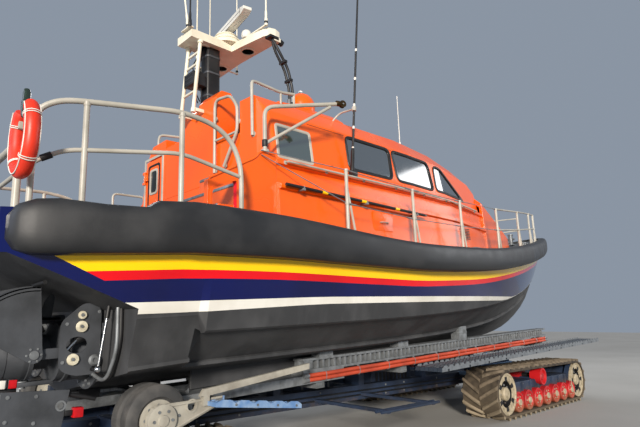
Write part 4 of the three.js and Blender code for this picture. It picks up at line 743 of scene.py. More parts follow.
    def bolt_ring(self, size: float, centre: Point, axis: Point, radius: float, count: int,
                  paint: int = 0, start: float = 0.0) -> "Form":
        """Adds hexagon bolt heads evenly round an axis.

        Args:
            size: radius of a head.
            centre: middle of the ring.
            axis: direction that they face.
            radius: radius of the ring.
            count: number of bolts.
            paint: number of the finish.
            start: angle of the first bolt.

        Returns:
            This form.
        """
        return self.stamp(bolt(size), ring_places(centre, axis, radius, count, start), paint)

    def cut(self, cutter: "Form") -> "Form":
        """Takes another closed form away from this one, and frees it.

        Args:
            cutter: the form that is taken away.

        Returns:
            This form.
        """
        pair = []
        for name, form in (("target", self), ("cutter", cutter)):
            bmesh.ops.recalc_face_normals(form.mesh, faces=form.mesh.faces)
            mesh = bpy.data.meshes.new(name)
            form.mesh.to_mesh(mesh)
            form.mesh.free()
            pair.append(bpy.data.objects.new(name, mesh))
            bpy.context.scene.collection.objects.link(pair[-1])
        boolean = pair[0].modifiers.new("cut", "BOOLEAN")
        boolean.operation = "DIFFERENCE"
        boolean.solver = "EXACT"
        boolean.object = pair[1]
        graph = bpy.context.evaluated_depsgraph_get()
        result = bpy.data.meshes.new_from_object(pair[0].evaluated_get(graph))
        self.mesh = bmesh.new()
        self.mesh.from_mesh(result)
        for item in pair:
            mesh = item.data
            bpy.data.objects.remove(item)
            bpy.data.meshes.remove(mesh)
        bpy.data.meshes.remove(result)
        return self

    def show(self, name: str, finishes: Sequence[Finish | Glass], slot: str, replaces: Sequence[str] = (),
             body: str = "craft", datum: Datum = Datum.BOAT, round_edges: float = 0.0,
             crease: float = 35.0) -> bpy.types.Object:
        """Turns the form into a piece that rides on a body.

        Args:
            name: the piece's name.
            finishes: its finishes, in the order of their numbers.
            slot: the record's material slot; not used.
            replaces: CAD nodes that it stands for.
            body: CAD body that carries it.
            datum: frame that it was drawn in.
            round_edges: width of a bevel on its sharp edges.
            crease: angle in degrees past which an edge stays sharp.

        Returns:
            The piece.
        """
        self.mesh.transform(datum.matrix)
        bmesh.ops.recalc_face_normals(self.mesh, faces=self.mesh.faces)
        mesh = bpy.data.meshes.new(name)
        self.mesh.to_mesh(mesh)
        self.mesh.free()
        for finish in finishes:
            mesh.materials.append(finish.material())
        mesh.shade_smooth()
        mesh.set_sharp_from_angle(angle=math.radians(crease))
        piece = bpy.data.objects.new(name, mesh)
        bpy.context.scene.collection.objects.link(piece)
        if round_edges:
            bevel = piece.modifiers.new("rounded", "BEVEL")
            bevel.width = round_edges
            bevel.segments = 3
            bevel.limit_method = "ANGLE"
            bevel.angle_limit = math.radians(crease)
            bevel.harden_normals = True
        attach(piece, body)
        if replaces:
            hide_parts(*replaces)
        LOG.info("%s: %d faces", name, len(mesh.polygons))
        return piece


def only(kind: type, items: Iterable) -> list:
    """Keeps the items of one kind."""
    return [item for item in items if isinstance(item, kind)]


def turned(axis: Point) -> Matrix:
    """Turn that aims z along an axis."""
    return Vector(axis).to_track_quat("Z", "Y").to_matrix().to_4x4()


def rectangle(a0: float, b0: float, a1: float, b1: float) -> list[Pair]:
    """Corners of a rectangle from one pair to the opposite one."""
    return [(a0, b0), (a1, b0), (a1, b1), (a0, b1)]


def circle(radius: float, count: int) -> list[Pair]:
    """Points evenly round a circle."""
    angles = [math.tau * i / count for i in range(count)]
    return [(radius * math.cos(angle), radius * math.sin(angle)) for angle in angles]


def bent(points: Sequence[Point], radius: float, steps: int = 5) -> list[Vector]:
    """Rounds the inner corners of a path.

    Args:
        points: corners of the path.
        radius: reach of each bend along its legs.
        steps: steps in each bend.

    Returns:
        Points of the rounded path.
    """
    corners = [Vector(point) for point in points]
    path = [corners[0]]
    for before, corner, after in zip(corners, corners[1:], corners[2:]):
        start, end = (
            corner + leg.normalized() * min(radius, leg.length * LEG_SHARE)
            for leg in (before - corner, after - corner))
        for step in range(steps + 1):
            share = step / steps
            path.append(start.lerp(corner, share).lerp(corner.lerp(end, share), share))
    return path + [corners[-1]]


def rounded(outline: Sequence[Point], radius: float, steps: int = 4) -> list[Vector]:
    """Rounds every corner of a closed outline.

    Args:
        outline: its corners in order.
        radius: reach of the rounding along each leg.
        steps: steps in each corner.

    Returns:
        Points of the rounded outline.
    """
    corners = [Vector(point) for point in outline]
    return bent([*corners, corners[0], corners[1]], radius, steps)[1:-1][:len(corners) * (steps + 1)]


def between(rows: Sequence[tuple], column: int, x: float) -> float:
    """Value of a column at x, straight between two rows of a table.

    Args:
        rows: rows whose first column is x.
        column: number of the column.
        x: place.

    Returns:
        The value, which stays the same past the table's ends.
    """
    index = next((i for i in range(1, len(rows)) if rows[i][0] >= x), len(rows) - 1)
    low, high = rows[index - 1], rows[index]
    share = min(max((x - low[0]) / (high[0] - low[0]), 0), 1)
    return low[column] + (high[column] - low[column]) * share


def eased(rows: Sequence[tuple], column: int, x: float) -> float:
    """Value of a column at x on a smooth curve through a table's rows.

    Args:
        rows: rows whose first column is x.
        column: number of the column.
        x: place.

    Returns:
        The value, straight up to the hull's knuckle and in the last span.
    """
    last = len(rows) - 1
    index = next((i for i in range(1, last + 1) if rows[i][0] >= x), last)
    low, high = rows[index - 1], rows[index]
    if low[0] < KNUCKLE or index == last:
        return between(rows, column, x)

    def slope(i: int) -> float:
        """Slope at a row from its neighbours, with none taken from aft of the knuckle."""
        before = rows[i - 1] if rows[i][0] > KNUCKLE else rows[i]
        return (rows[i + 1][column] - before[column]) / (rows[i + 1][0] - before[0])

    span = high[0] - low[0]
    share = (x - low[0]) / span
    square, cube = share ** 2, share ** 3
    return ((2 * cube - 3 * square + 1) * low[column] + (cube - 2 * square + share) * span * slope(index - 1)
            + (3 * square - 2 * cube) * high[column] + (cube - square) * span * slope(index))


def grown(outline: Sequence[Point], by: float, radius: float) -> list[tuple[float, float]]:
    """Grows a convex outline outward by a distance and rounds its corners.

    Args:
        outline: corners in order, as pairs.
        by: distance, negative to shrink.
        radius: reach of the rounding.

    Returns:
        The points of the grown outline.
    """
    corners = [Vector(corner) for corner in outline]
    middle = sum(corners, Vector((0, 0))) / len(corners)
    lines = []
    for a, b in zip(corners, corners[1:] + corners[:1]):
        out = Vector(((b - a).y, -(b - a).x)).normalized()
        if out.dot(a - middle) < 0:
            out = -out
        lines.append((out, out.dot(a) + by))
    moved = []
    for (n, c), (m, d) in zip(lines[-1:] + lines[:-1], lines):
        det = n.x * m.y - n.y * m.x
        moved.append(((c * m.y - d * n.y) / det, (n.x * d - m.x * c) / det, 0))
    return [(point.x, point.y) for point in rounded(moved, radius)]


def ring_places(centre: Point, axis: Point, radius: float, count: int, start: float = 0.0) -> list[Matrix]:
    """Places evenly round an axis, each with its z along the axis.

    Args:
        centre: middle of the ring.
        axis: direction of the axis.
        radius: radius of the ring.
        count: number of places.
        start: angle of the first one.

    Returns:
        The places.
    """
    middle, out = Matrix.Translation(centre) @ turned(axis), Matrix.Translation((radius, 0, 0))
    return [middle @ Matrix.Rotation(start + math.tau * i / count, 4, "Z") @ out for i in range(count)]


def bolt(size: float) -> Form:
    """One hexagon bolt head on its washer, standing along z."""
    head = Form().rod((0, 0, -size * 0.2), (0, 0, size * 0.15), size * 1.25, sides=12)
    return head.rod((0, 0, 0), (0, 0, size * 0.8), size, sides=6)


def facing(places: Iterable[Point], axis: Point) -> list[Matrix]:
    """Places at points, each with its z along an axis."""
    return [Matrix.Translation(place) @ turned(axis) for place in places]


def sided(points: Iterable[Point], side: Side) -> list[Vector]:
    """The same points on one side of the boat."""
    return [Vector((x, side * y, z)) for x, y, z in points]


@dataclass
class Hull:
    """Planing hull with spray rails, painted bands, jet bay, fender and deck."""

    # Columns: x, half-breadth at the fender, top of fender, height of fender
    sheer: tuple = (
        (0, 1.745, 1.665, 0.42), (1.33, 2.06, 1.73, 0.44), (1.6, 2.065, 1.73, 0.438),
        (2.45, 2.065, 1.712, 0.42), (4.08, 2.065, 1.614, 0.36), (5, 2.065, 1.6, 0.358),
        (7, 1.915, 1.685, 0.365), (9, 1.575, 1.895, 0.375), (11, 1.055, 2.165, 0.385),
        (12.4, 0.59, 2.37, 0.395), (13.3, 0.26, 2.51, 0.4), (13.6, 0.13, 2.56, 0.4),
    )
    # Columns: x, keel height, lower rail y and z, chine y and z, depth of the chine's lip
    section: tuple = (
        (0, 0.06, 1.56, 0.3, 1.65, 0.76, 0.0085), (1.54, 0, 1.76, 0.39, 1.899, 0.8, 0.0085),
        (1.6, 0, 1.5, 0.32, 1.93, 0.645, 0.09), (3, 0, 1.5, 0.325, 1.94, 0.65, 0.09),
        (5, 0, 1.46, 0.335, 1.92, 0.67, 0.09), (7, 0, 1.26, 0.37, 1.74, 0.74, 0.09),
        (9, 0.01, 0.93, 0.48, 1.37, 0.9, 0.09), (11, 0.22, 0.52, 0.76, 0.85, 1.19, 0.09),
        (12.4, 0.8, 0.23, 1.18, 0.43, 1.56, 0.086), (13.3, 1.6, 0.08, 1.77, 0.17, 1.95, 0.034),
        (13.6, 2.05, 0.04, 2.08, 0.09, 2.12, 0.018),
    )
    stem_x: float = 13.6
    deck_drop: float = 0.06
    yellow_deep: float = 0.12
    red_deep: float = 0.075
    # Columns: x, height of the white band's top and foot
    white: tuple = (
        (0, 0.895, 0.8), (1.54, 0.905, 0.81), (3, 0.925, 0.85), (12.4, 0.885, 0.82), (13.6, 0.88, 0.82))
    stripe_aft: tuple = ((0.209, 1.331), (1.274, 0.801))
    bay_fore: float = 1.02
    bay_outline: tuple = ((-0.05, -0.1), (1.02, -0.1), (1.02, 0.85), (0.06, 1.275), (-0.05, 1.275))
    engine_room: tuple = ((1.5, -1.18, 0.48), (3.4, 1.18, 2.5))
    fender_deep: float = 0.205
    fender_steps: int = 14
    # Columns: x, depth of the worn dip in the fender's top
    dip: tuple = ((0.33, 0.006), (0.65, 0.042), (0.96, 0.057), (1.04, 0.0), (13.6, 0.0))
    # Columns: x, share of the fender's full section
    fender_end: tuple = ((0.04, 0.4), (0.09, 0.78), (0.19, 0.96), (0.33, 1.0))
    # Columns: x and inset from the edge of each pair of cleats
    cleats: tuple = ((2.35, 0.14), (6.9, 0.14), (10.4, 0.14), (12.6, 0.12))
    bitts_x: float = 11.9

    def deck(self, x: float) -> float:
        """Height of the deck at x."""
        return eased(self.sheer, 2, x) - self.deck_drop

    def edge(self, x: float) -> float:
        """Half-breadth of the hull at the fender."""
        return eased(self.sheer, 1, x)

    def ring(self, x: float) -> list[Vector]:
        """Closed section of the hull, from the keel up to starboard and down to port.

        Args:
            x: place along the hull.

        Returns:
            Points of the section.
        """
        seat, top, high = (eased(self.sheer, column, x) for column in (1, 2, 3))
        keel, rail_y, rail_z, chine_y, chine_z, deep = (
            eased(self.section, column, x) for column in range(1, 7))
        fine = min(1, chine_y / 0.5)
        foot = top - high
        side = foot - chine_z
        lip = 0.03 * fine
        crest = chine_y - min(deep, 0.25 * chine_y)

        def on_side(z: float) -> Pair:
            """Point on the side between the chine and the fender."""
            return chine_y + (seat - chine_y) * (z - chine_z) / side, z

        yellow = foot - min(self.yellow_deep, side * 0.35)
        red = yellow - min(self.red_deep, side * 0.25)
        tops = [between(self.white, column, x) for column in (2, 1)]
        low = chine_z + 0.012
        bands = [min(max(z, low + 0.004 * i), red - 0.01 * (2 - i)) for i, z in enumerate(tops)]
        half = [
            (0, keel), (0.05 * fine, keel), (0.07 * fine, keel + 0.02),
            (rail_y - lip, rail_z - lip), (rail_y, rail_z - 0.5 * lip), (rail_y, rail_z + 0.5 * lip),
            (rail_y - 0.8 * lip, rail_z + lip),
            (crest, chine_z - 0.025), (chine_y - 0.3 * (chine_y - crest), chine_z - 0.018),
            (chine_y, chine_z),
            on_side(low), on_side(bands[0]), on_side(bands[1]), on_side(red), on_side(yellow), (seat, foot),
            (seat, top - self.deck_drop), (0, top - self.deck_drop),
        ]
        return [Vector((x, -y, z)) for y, z in half] + [Vector((x, y, z)) for y, z in reversed(half[1:-1])]

    def build(self) -> None:
        """Builds the shell with its painted bands, the jet bay and the engine room."""
        grey, white, navy, red, yellow, deck = range(6)
        half = [grey] * 11 + [white, navy, red, yellow, navy, deck]
        knees = {0, 0.35, 0.7, self.bay_fore, 1.33, 1.54, KNUCKLE, 13.3, self.stem_x}
        stations = knees | {2.0 + 0.375 * i for i in range(31)}
        form = Form().loft([self.ring(x) for x in sorted(stations)], half + half[::-1])
        form.paint(navy, lambda middle, normal: middle.x < 0.01)
        (x0, z0), (x1, z1) = self.stripe_aft
        slope = (z1 - z0) / (x1 - x0)
        form.slice((x0, 0, z0), (-slope, 0, 1))
        for face in form.mesh.faces:
            middle = face.calc_center_median()
            if face.material_index in (red, yellow) and middle.z < z0 + slope * (middle.x - x0):
                face.material_index = navy
        # Painted shade: the jet bay's cut faces take the dark grey bottom paint, standing for the darkness
        # inside the bay under the deck's overhang.
        form.cut(Form().plate([[(x, 2.5, z) for x, z in self.bay_outline]], (0, -5, 0), grey))
        form.cut(Form().box(*self.engine_room, paint=grey))
        form.show("hull_shell", [BOTTOM, WHITE, NAVY, RED, YELLOW, DECK], "hull_paint", ["hull"], crease=20)
        self.fender()
        self.clips()
        self.hatch()
        self.cleats_and_bitts()
        self.transom()

    def fender(self) -> None:
        """Builds the D fender round the bow, aimed along the plan's normal ahead of the knuckle."""
        places = [x for x, _ in self.fender_end] + [0.65, 0.96, 1.04, 1.33, 1.54, KNUCKLE]
        places += [1.9 + 0.3 * i for i in range(39)]
        edge = [(x, self.edge(x)) for x in places] + [(self.stem_x, 0.13), (self.stem_x, 0.0)]
        section = [(0.0, -1.0)] + [
            (0.5 + 0.5 * math.cos(a) ** 0.7, math.copysign(abs(math.sin(a)) ** 0.8, a))
            for a in (math.radians(-88 + 176 * i / self.fender_steps) for i in range(self.fender_steps + 1))
        ] + [(0.0, 1.0)]
        half = []
        for index, (x, y) in enumerate(edge):
            before, after = edge[max(index - 1, 0)], edge[min(index + 1, len(edge) - 1)]
            aim = Vector((before[1] - after[1], after[0] - before[0])).normalized()
            if x < KNUCKLE:
                aim = Vector((0, 1))
            if y == 0:
                aim = Vector((1, 0))
            down, scale = between(self.dip, 1, x), between(self.fender_end, 1, x)
            top, high = eased(self.sheer, 2, x) - down, eased(self.sheer, 3, x) - down
            deep = self.fender_deep * (0.35 + 0.65 * scale)
            half.append([
                Vector((x + aim.x * (0.001 + a * deep), y + aim.y * (0.001 + a * deep),
                        top - high / 2 + b * high / 2 * scale)) for a, b in section])
        port = [[Vector((p.x, -p.y, p.z)) for p in ring] for ring in half[:-1]][::-1]
        Form().loft(half + port).show("fender_skin", [FENDER], "fender_rubber", ["fender"], crease=50)

    def clips(self) -> None:
        """Builds the clips at the fender's joints."""
        form = Form()
        for x in (3.1, 6.2, 9.3, 12.0):
            y, top, high = self.edge(x), eased(self.sheer, 2, x), eased(self.sheer, 3, x)
            for side in Side:
                for z in (top - 0.05, top - high + 0.03):
                    form.box((x - 0.03, side * y - 0.012, z - 0.01), (x + 0.03, side * y + 0.02, z + 0.01), 0,
                             0.004)
        form.show("fender_clips", [ZINC], "rail_metal")

    def hatch(self) -> None:
        """Dresses the engine room lid with its bolts and two flush scuttles."""
        lid = Form.of_node("engine_hatch")
        edges = [(x, side * 1.12) for x in (1.6, 2.1, 2.6, 3.1, 3.3) for side in Side]
        lid.bolts(0.016, [(x, y, self.deck(x) + 0.003) for x, y in edges], UP, 1)
        for x, y in ((2.0, -0.2), (2.0, 0.5)):
            lid.rod((x, y, self.deck(x) - 0.004), (x, y, self.deck(x) + 0.012), 0.11, 1, 24, soften=0.004)
        lid.show("engine_hatch_dressed", [DECK, ZINC], "deck_paint", ["engine_hatch"], round_edges=0.004)

    def cleats_and_bitts(self) -> None:
        """Builds the pairs of cleats along the deck and the bitts on the fore deck."""
        form = Form()
        for x, inset in self.cleats:
            for side in Side:
                y, z = side * (self.edge(x) - inset), self.deck(x)
                form.box((x - 0.09, y - 0.04, z), (x + 0.09, y + 0.04, z + 0.012), 0, 0.004)
                for step in (-0.045, 0.045):
                    form.rod((x + step, y, z + 0.01), (x + step, y, z + 0.07), 0.02, 0, 14)
                horn = [(x + dx, y, z + dz) for dx, dz in (
                    (-0.17, 0.075), (-0.06, 0.085), (0.06, 0.085), (0.17, 0.075))]
                form.tube(bent(horn, 0.05), 0.019)
        x, z = self.bitts_x, self.deck(self.bitts_x)
        form.box((x - 0.16, -0.2, z), (x + 0.16, 0.2, z + 0.02), 0, 0.006)
        post = [(0, 0), (0.055, 0), (0.055, 0.26), (0.07, 0.27), (0.07, 0.3), (0, 0.3)]
        for y in (-0.1, 0.1):
            form.lathe(post, (x, y, z), UP)
        form.rod((x, -0.2, z + 0.17), (x, 0.2, z + 0.17), 0.028)
        form.show("deck_cleats_and_bitts", [ZINC], "rail_metal")

    def transom(self) -> None:
        """Builds the hull's after details: towing eyes, drains, jet bay flanges and hoses."""
        form = Form()
        wall = self.bay_fore
        for side in Side:
            y, jet = side * 1.2, side * 0.78
            form.box((-0.014, y - 0.07, 1.36), (0, y + 0.07, 1.5), 0, 0.004)
            form.tube([(-0.012 - 0.05 * math.sin(a), y + 0.035 * math.cos(a), 1.43)
                       for a in (math.pi * i / 10 for i in range(11))], 0.012, 0, 10)
            form.bolts(0.012, [(-0.014, y + dy, z) for dy in (-0.05, 0.05) for z in (1.38, 1.48)], AFT)
            form.collar(0.03, 0.05, 0.02, (0, side * 0.4, 1.4), AFT)
            form.collar(0.3, 0.37, 0.02, (wall, jet, 0.5), AFT, 1, 40)
            form.bolt_ring(0.014, (wall - 0.02, jet, 0.5), AFT, 0.338, 16)
            for z in (0.98, 1.05):
                hose = [(0.95, 0.35, z), (0.6, 0.5, z + 0.06), (0.45, 1.0, z + 0.1), (0.4, 1.5, z + 0.1)]
                form.tube(sided(hose, side), 0.016, 2, 10)
        form.show("transom_fittings", [ZINC, CASTING, BLACK], "jet_casting")


@dataclass
class Cabin:
    """Orange superstructure with its glass, door, ledges and fittings."""

    # Columns: x, share of full breadth, roof height
    plan: tuple = (
        (2.62, 1.0, 3.41), (5.4, 1.0, 3.43), (6.4, 0.965, 3.375), (7.3, 0.87, 3.29), (8.0, 0.79, 3.2),
    )
    # Half-breadth of the upper cabin's wall at its foot and its head, and their heights
    wall_foot: tuple = (1.6, 2.57)
    wall_head: tuple = (1.495, 3.13)
    # Columns: name, lower aft x, lower fore x, upper fore x, upper aft x, sill, head
    windows: tuple = (
        ("aft", 2.75, 3.28, 3.3, 2.77, 2.55, 2.96), ("second", 3.985, 4.91, 4.96, 4.02, 2.625, 3.09),
        ("third", 5.05, 6.04, 6.03, 5.03, 2.625, 3.085), ("quarter", 6.15, 7.19, 6.44, 6.215, 2.64, 3.065),
    )
    corner: float = 0.09
    # Columns: half-breadth, height of the lower cabin's section
    lower: tuple = (
        (1.8, 1.4), (1.745, 2.11), (1.79, 2.125), (1.79, 2.175), (1.705, 2.2), (1.68, 2.405), (1.725, 2.42),
        (1.725, 2.465), (1.64, 2.5),
    )
    windscreen: tuple = ((7.24, 3.27), (8.0, 2.88))
    door: tuple = ((2.624, 1.0, 1.75), (2.664, 1.5, 3.15))
    latch: tuple = (1.25, 2.2)
    # Fore and aft x and heights of the hatch on the fore trunk
    trunk_hatch: tuple = (8.25, 8.85, 2.786, 2.627)

    def wall(self, x: float, z: float) -> float:
        """Half-breadth of the upper cabin's outer face.

        Args:
            x: place along the cabin.
            z: height.

        Returns:
            Distance from the middle plane.
        """
        (foot, low), (head, high) = self.wall_foot, self.wall_head
        drop = 0.6 * (self.plan[0][2] - self.roof(x))
        return between(self.plan, 1, x) * (foot + (head - foot) * (z - low) / (high - drop - low))

    def side_at(self, x: float, z: float) -> float:
        """Half-breadth of the lower cabin's outer face."""
        rows = [(height, breadth) for breadth, height in self.lower]
        return between(rows, 1, z) * between(self.plan, 1, x)

    def roof(self, x: float) -> float:
        """Height of the roof's middle."""
        return between(self.plan, 2, x)

    def build(self) -> None:
        """Builds the cabin from its shell inward."""
        self.shells()
        for side in Side:
            self.side_windows(side)
            self.side_fittings(side)
            self.seams(side)
        self.front()
        self.trunk_fittings()
        self.door_leaf()
        self.door_trim()
        self.door_frame()
        self.roof_fittings()
        self.inside()

    def shells(self) -> None:
        """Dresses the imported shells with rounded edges."""
        for node, rounding in (("cabin_lower", 0.014), ("cabin_upper", 0.028), ("fore_trunk", 0.035)):
            form = Form.of_node(node)
            form.show(f"{node}_dressed", [ORANGE], "cabin_paint", [node], round_edges=rounding, crease=28)

    def side_windows(self, side: Side) -> None:
        """Builds each window's gasket, frame and pane, draped on the wall.

        Args:
            side: side of the boat.
        """
        gaskets, panes = Form(), Form()
        for label, aft, fore, top_fore, top_aft, sill, head in self.windows:
            outline = [(aft, sill), (fore, sill), (top_fore, head), (top_aft, head)]
            small = label == "aft"
            corner, wide, proud = (0.03, 0.026, 0.012) if small else (self.corner, 0.03, 0.0)
            rows = ((-0.014, -0.02), (-0.014, 0.004), (-0.004, 0.012), (wide * 0.8, 0.012), (wide, 0.006),
                    (wide, -0.004), (-0.014, -0.02))
            rings = [[(x, out, z) for x, z in grown(outline, by, corner + by)] for by, out in rows]
            gaskets.loft(rings, int(small), caps=False)
            glass = [(x, proud - 0.008, z) for x, z in grown(outline, -0.008, corner - 0.008)]
            panes.plate([glass], (0, -0.01, 0), int(small))
        for form in (gaskets, panes):
            form.merge()
            for x in (5.4, 6.4, 6.6, 6.8, 7.0):
                form.slice((x, 0, 0), FORE)
            form.drape(side, self.wall)
        gaskets.show(f"window_gaskets_{side.label}", [BLACK, TUBE], "black_plastic", crease=40)
        panes.show(f"window_panes_{side.label}", [TINTED, GREENISH], "dark_glass",
                   [f"glazing_{side.label}"], crease=30)

    def side_fittings(self, side: Side) -> None:
        """Builds the grab rail on its standoffs, the louvres and a locker with its handle.

        Args:
            side: side of the boat.
        """
        form = Form()
        ledge = [(x, side * (self.side_at(x, 2.44) + 0.045), 2.445)
                 for x in (2.74, 3.4, 4.1, 4.8, 5.5, 6.2, 6.9, 7.5)]
        form.tube(bent(ledge, 0.1), 0.013)
        for x, y, z in ledge:
            form.rod((x, y, z), (x, y - side * 0.05, z - 0.002), 0.009, 0, 10)
            form.rod((x, y - side * 0.04, z - 0.002), (x, y - side * 0.052, z - 0.002), 0.026, 0, 14)
        for z in (1.86 + 0.028 * i for i in range(7)):
            y = side * (self.side_at(6.6, z) + 0.001)
            form.box((6.45, y - 0.006, z), (6.9, y + 0.012, z + 0.014), 1, 0.003)
        y = side * (self.side_at(4.4, 1.95) + 0.002)
        locker = grown(rectangle(4.2, 1.78, 4.62, 2.04), 0, 0.05)
        form.plate([[(x, y, z) for x, z in locker]], (0, side * 0.012, 0), 2, 0.003)
        pull = [(x, y + side * out, 1.9)
                for x, out in ((4.34, 0.012), (4.34, 0.05), (4.48, 0.05), (4.48, 0.012))]
        form.tube(bent(pull, 0.02), 0.008, 0, 10)
        form.show(f"cabin_side_fittings_{side.label}", [TUBE, BLACK, ORANGE], "rail_metal")

    def seams(self, side: Side) -> None:
        """Builds the sealed seams between the windows and above them.

        Args:
            side: side of the boat.
        """
        form = Form()
        for x in (3.64, 6.1):
            form.box((x - 0.004, -0.003, 2.58), (x + 0.004, 0.0015, 2.61))
        for x0, x1 in ((3.3, 3.98), (4.96, 5.03)):
            form.box((x0, -0.004, 3.098), (x1, 0.002, 3.104))
        form.drape(side, self.wall)
        form.show(f"cabin_seams_{side.label}", [BLACK], "black_plastic")

    def front(self) -> None:
        """Builds the windscreen's two gaskets, its wipers and its pane."""
        (top_x, top_z), (foot_x, foot_z) = self.windscreen
        run = math.hypot(foot_x - top_x, foot_z - top_z)
        normal = Vector((top_z - foot_z, 0, foot_x - top_x)).normalized()

        def on_glass(along: float, y: float, out: float) -> Vector:
            """Point on the windscreen, along its slope from the top."""
            share = along / run
            foot = Vector((top_x + (foot_x - top_x) * share, y, top_z + (foot_z - top_z) * share))
            return foot + normal * out

        form = Form()
        rows = ((-0.01, -0.015), (-0.01, 0.012), (0.03, 0.012), (0.03, -0.004), (-0.01, -0.015))
        for side in Side:
            foot = run - 0.101
            outline = [(0.146, side * 0.06), (foot, side * 0.06), (foot, side * 1.08), (0.146, side * 1.0)]
            form.gasket(outline, rows, on_glass, 0.05)
            pivot = on_glass(run - 0.03, side * 0.55, 0.02)
            form.rod(pivot - normal * 0.02, pivot + normal * 0.02, 0.03)
            form.rod(pivot, on_glass(0.3, side * 0.75, 0.035), 0.009, 0, 8)
            form.rod(on_glass(0.18, side * 0.68, 0.03), on_glass(0.5, side * 0.86, 0.03), 0.007, 0, 8)
        form.merge()
        form.show("windscreen_gaskets_and_wipers", [BLACK], "black_plastic")
        pane = Form.of_node("windscreen")
        pane.show("windscreen_glass", [TINTED], "dark_glass", ["windscreen"], round_edges=0.002)

    def trunk_fittings(self) -> None:
        """Builds the fore trunk's hatch with its glass and hinges, and its grab rails."""
        form = Form()
        x0, x1, z0, z1 = self.trunk_hatch
        rake = (z1 - z0) / (x1 - x0)
        for inset, half, corner, lift, thick, paint, soften in (
            (0.0, 0.3, 0.07, -0.004, 0.035, 0, 0.006), (0.07, 0.23, 0.05, 0.03, 0.008, 1, 0.002),
        ):
            plan = grown(rectangle(x0 + inset, -half, x1 - inset, half), 0, corner)
            form.plate([[(x, y, z0 + rake * (x - x0) + lift) for x, y in plan]], (0, 0, thick), paint, soften)
        for y in (-0.18, 0.18):
            form.box((x0 - 0.03, y - 0.03, z0 + 0.004), (x0 + 0.05, y + 0.03, z0 + 0.045), 0, 0.006)
        grab = ((8.15, 1.04, 2.8), (8.2, 1.04, 2.89), (9.15, 0.85, 2.66), (9.75, 0.74, 2.49),
                (9.8, 0.73, 2.38))
        for side in Side:
            form.tube(bent(sided(grab, side), 0.07), 0.014)
        form.show("fore_trunk_hatch_and_grabs", [TUBE, TINTED], "rail_metal")

    def door_leaf(self) -> None:
        """Dresses the door's leaf."""
        leaf = Form.of_node("cabin_door")
        leaf.show("cabin_door_leaf", [ORANGE], "cabin_paint", ["cabin_door"], "door", round_edges=0.008,
                  crease=28)

    def door_trim(self) -> None:
        """Builds the door's seal, window and latch wheel, which swing with the leaf."""
        (x0, y0, z0), (_, y1, z1) = self.door
        form = Form()
        outline = rectangle(y0 + 0.06, z0 + 0.07, y1 - 0.06, z1 - 0.07)
        panel = rectangle(y0 + 0.12, 2.6, y1 - 0.12, 3.0)
        for corners, proud, foot, paint in ((outline, 0.008, -0.03, 0), (panel, 0.012, -0.035, 1)):
            rows = ((0.0, x0 + 0.002), (0.0, x0 - proud), (-0.03, x0 - proud), (foot, x0 + 0.002),
                    (0.0, x0 + 0.002))
            form.gasket(corners, rows, lambda y, z, x: (x, y, z), 0.06, paint)
        form.plate([[(x0 + 0.001, y, z) for y, z in grown(panel, -0.03, 0.05)]], (-0.004, 0, 0), 2, 0.001)
        form.merge()
        y, z = self.latch
        form.tube([(x0 - 0.03, y + dy, z + dz) for dy, dz in circle(0.09, 24)], 0.009, 1, 10, closed=True)
        form.rod((x0, y, z), (x0 - 0.035, y, z), 0.025, 1)
        centre = Vector((x0 - 0.03, y, z))
        for dy, dz in circle(0.088, 6)[:3]:
            form.rod(centre - Vector((0, dy, dz)), centre + Vector((0, dy, dz)), 0.006, 1, 8)
        form.show("cabin_door_trim", [BLACK, TUBE, TINTED], "black_plastic", body="door")

    def door_frame(self) -> None:
        """Builds the frame on the cabin's wall round the door."""
        (_, y0, z0), (_, y1, z1) = self.door
        hole = rectangle(y0 - 0.012, z0 - 0.012, y1 + 0.012, z1 + 0.012)
        rows = ((0.003, 2.622), (0.003, 2.609), (0.04, 2.609), (0.045, 2.622), (0.003, 2.622))
        form = Form().gasket(hole, rows, lambda y, z, x: (x, y, z), 0.02).merge()
        form.show("cabin_door_frame", [TUBE], "rail_metal")

    def roof_fittings(self) -> None:
        """Builds the roof's two hatches, vents, floodlamps and horn."""
        form = Form()
        for x0, x1 in ((4.75, 5.35), (5.75, 6.15)):
            z = self.roof(x0)
            for by, low, high, paint in ((0.03, -0.02, 0.02, 0), (0.0, 0.015, 0.05, 3)):
                plan = grown(rectangle(x0, -0.3, x1, 0.3), by, 0.08)
                form.plate([[(x, y, z + low - 0.002) for x, y in plan]], (0, 0, high - low), paint, 0.006)
            for y in (-0.15, 0.15):
                form.box((x0 - 0.04, y - 0.03, z), (x0 + 0.05, y + 0.03, z + 0.06), 0, 0.008)
        vent = [(0, 0), (0.1, 0), (0.1, 0.03), (0.06, 0.05), (0.06, 0.12), (0.13, 0.13), (0.13, 0.16),
                (0.09, 0.2), (0, 0.21)]
        for x, y in ((6.7, -0.55), (6.7, 0.55), (4.5, 0.75)):
            form.lathe(vent, (x, y, self.roof(x) - 0.03), UP, 1, 28)
        z = self.roof(7.1)
        for y in (-0.45, 0.45):
            form.box((7.02, y - 0.03, z - 0.04), (7.08, y + 0.03, z + 0.07), 0, 0.006)
            form.rod((6.98, y, z + 0.13), (7.14, y, z + 0.115), 0.08, 2, 24, soften=0.008)
            form.rod((7.14, y, z + 0.115), (7.146, y, z + 0.114), 0.07, 3, 24)
        x, z = 6.95, self.roof(6.95)
        form.rod((x, 0, z - 0.03), (x, 0, z + 0.1), 0.03)
        horn = [(0.02, -0.15), (0.03, 0.0), (0.05, 0.1), (0.11, 0.2), (0.1, 0.2), (0.03, 0.05), (0.02, -0.15)]
        form.lathe(horn, (x, 0, z + 0.14), FORE, 0, 24)
        form.show("roof_fittings", [TUBE, CREAM, BLACK, LENS], "rail_metal")

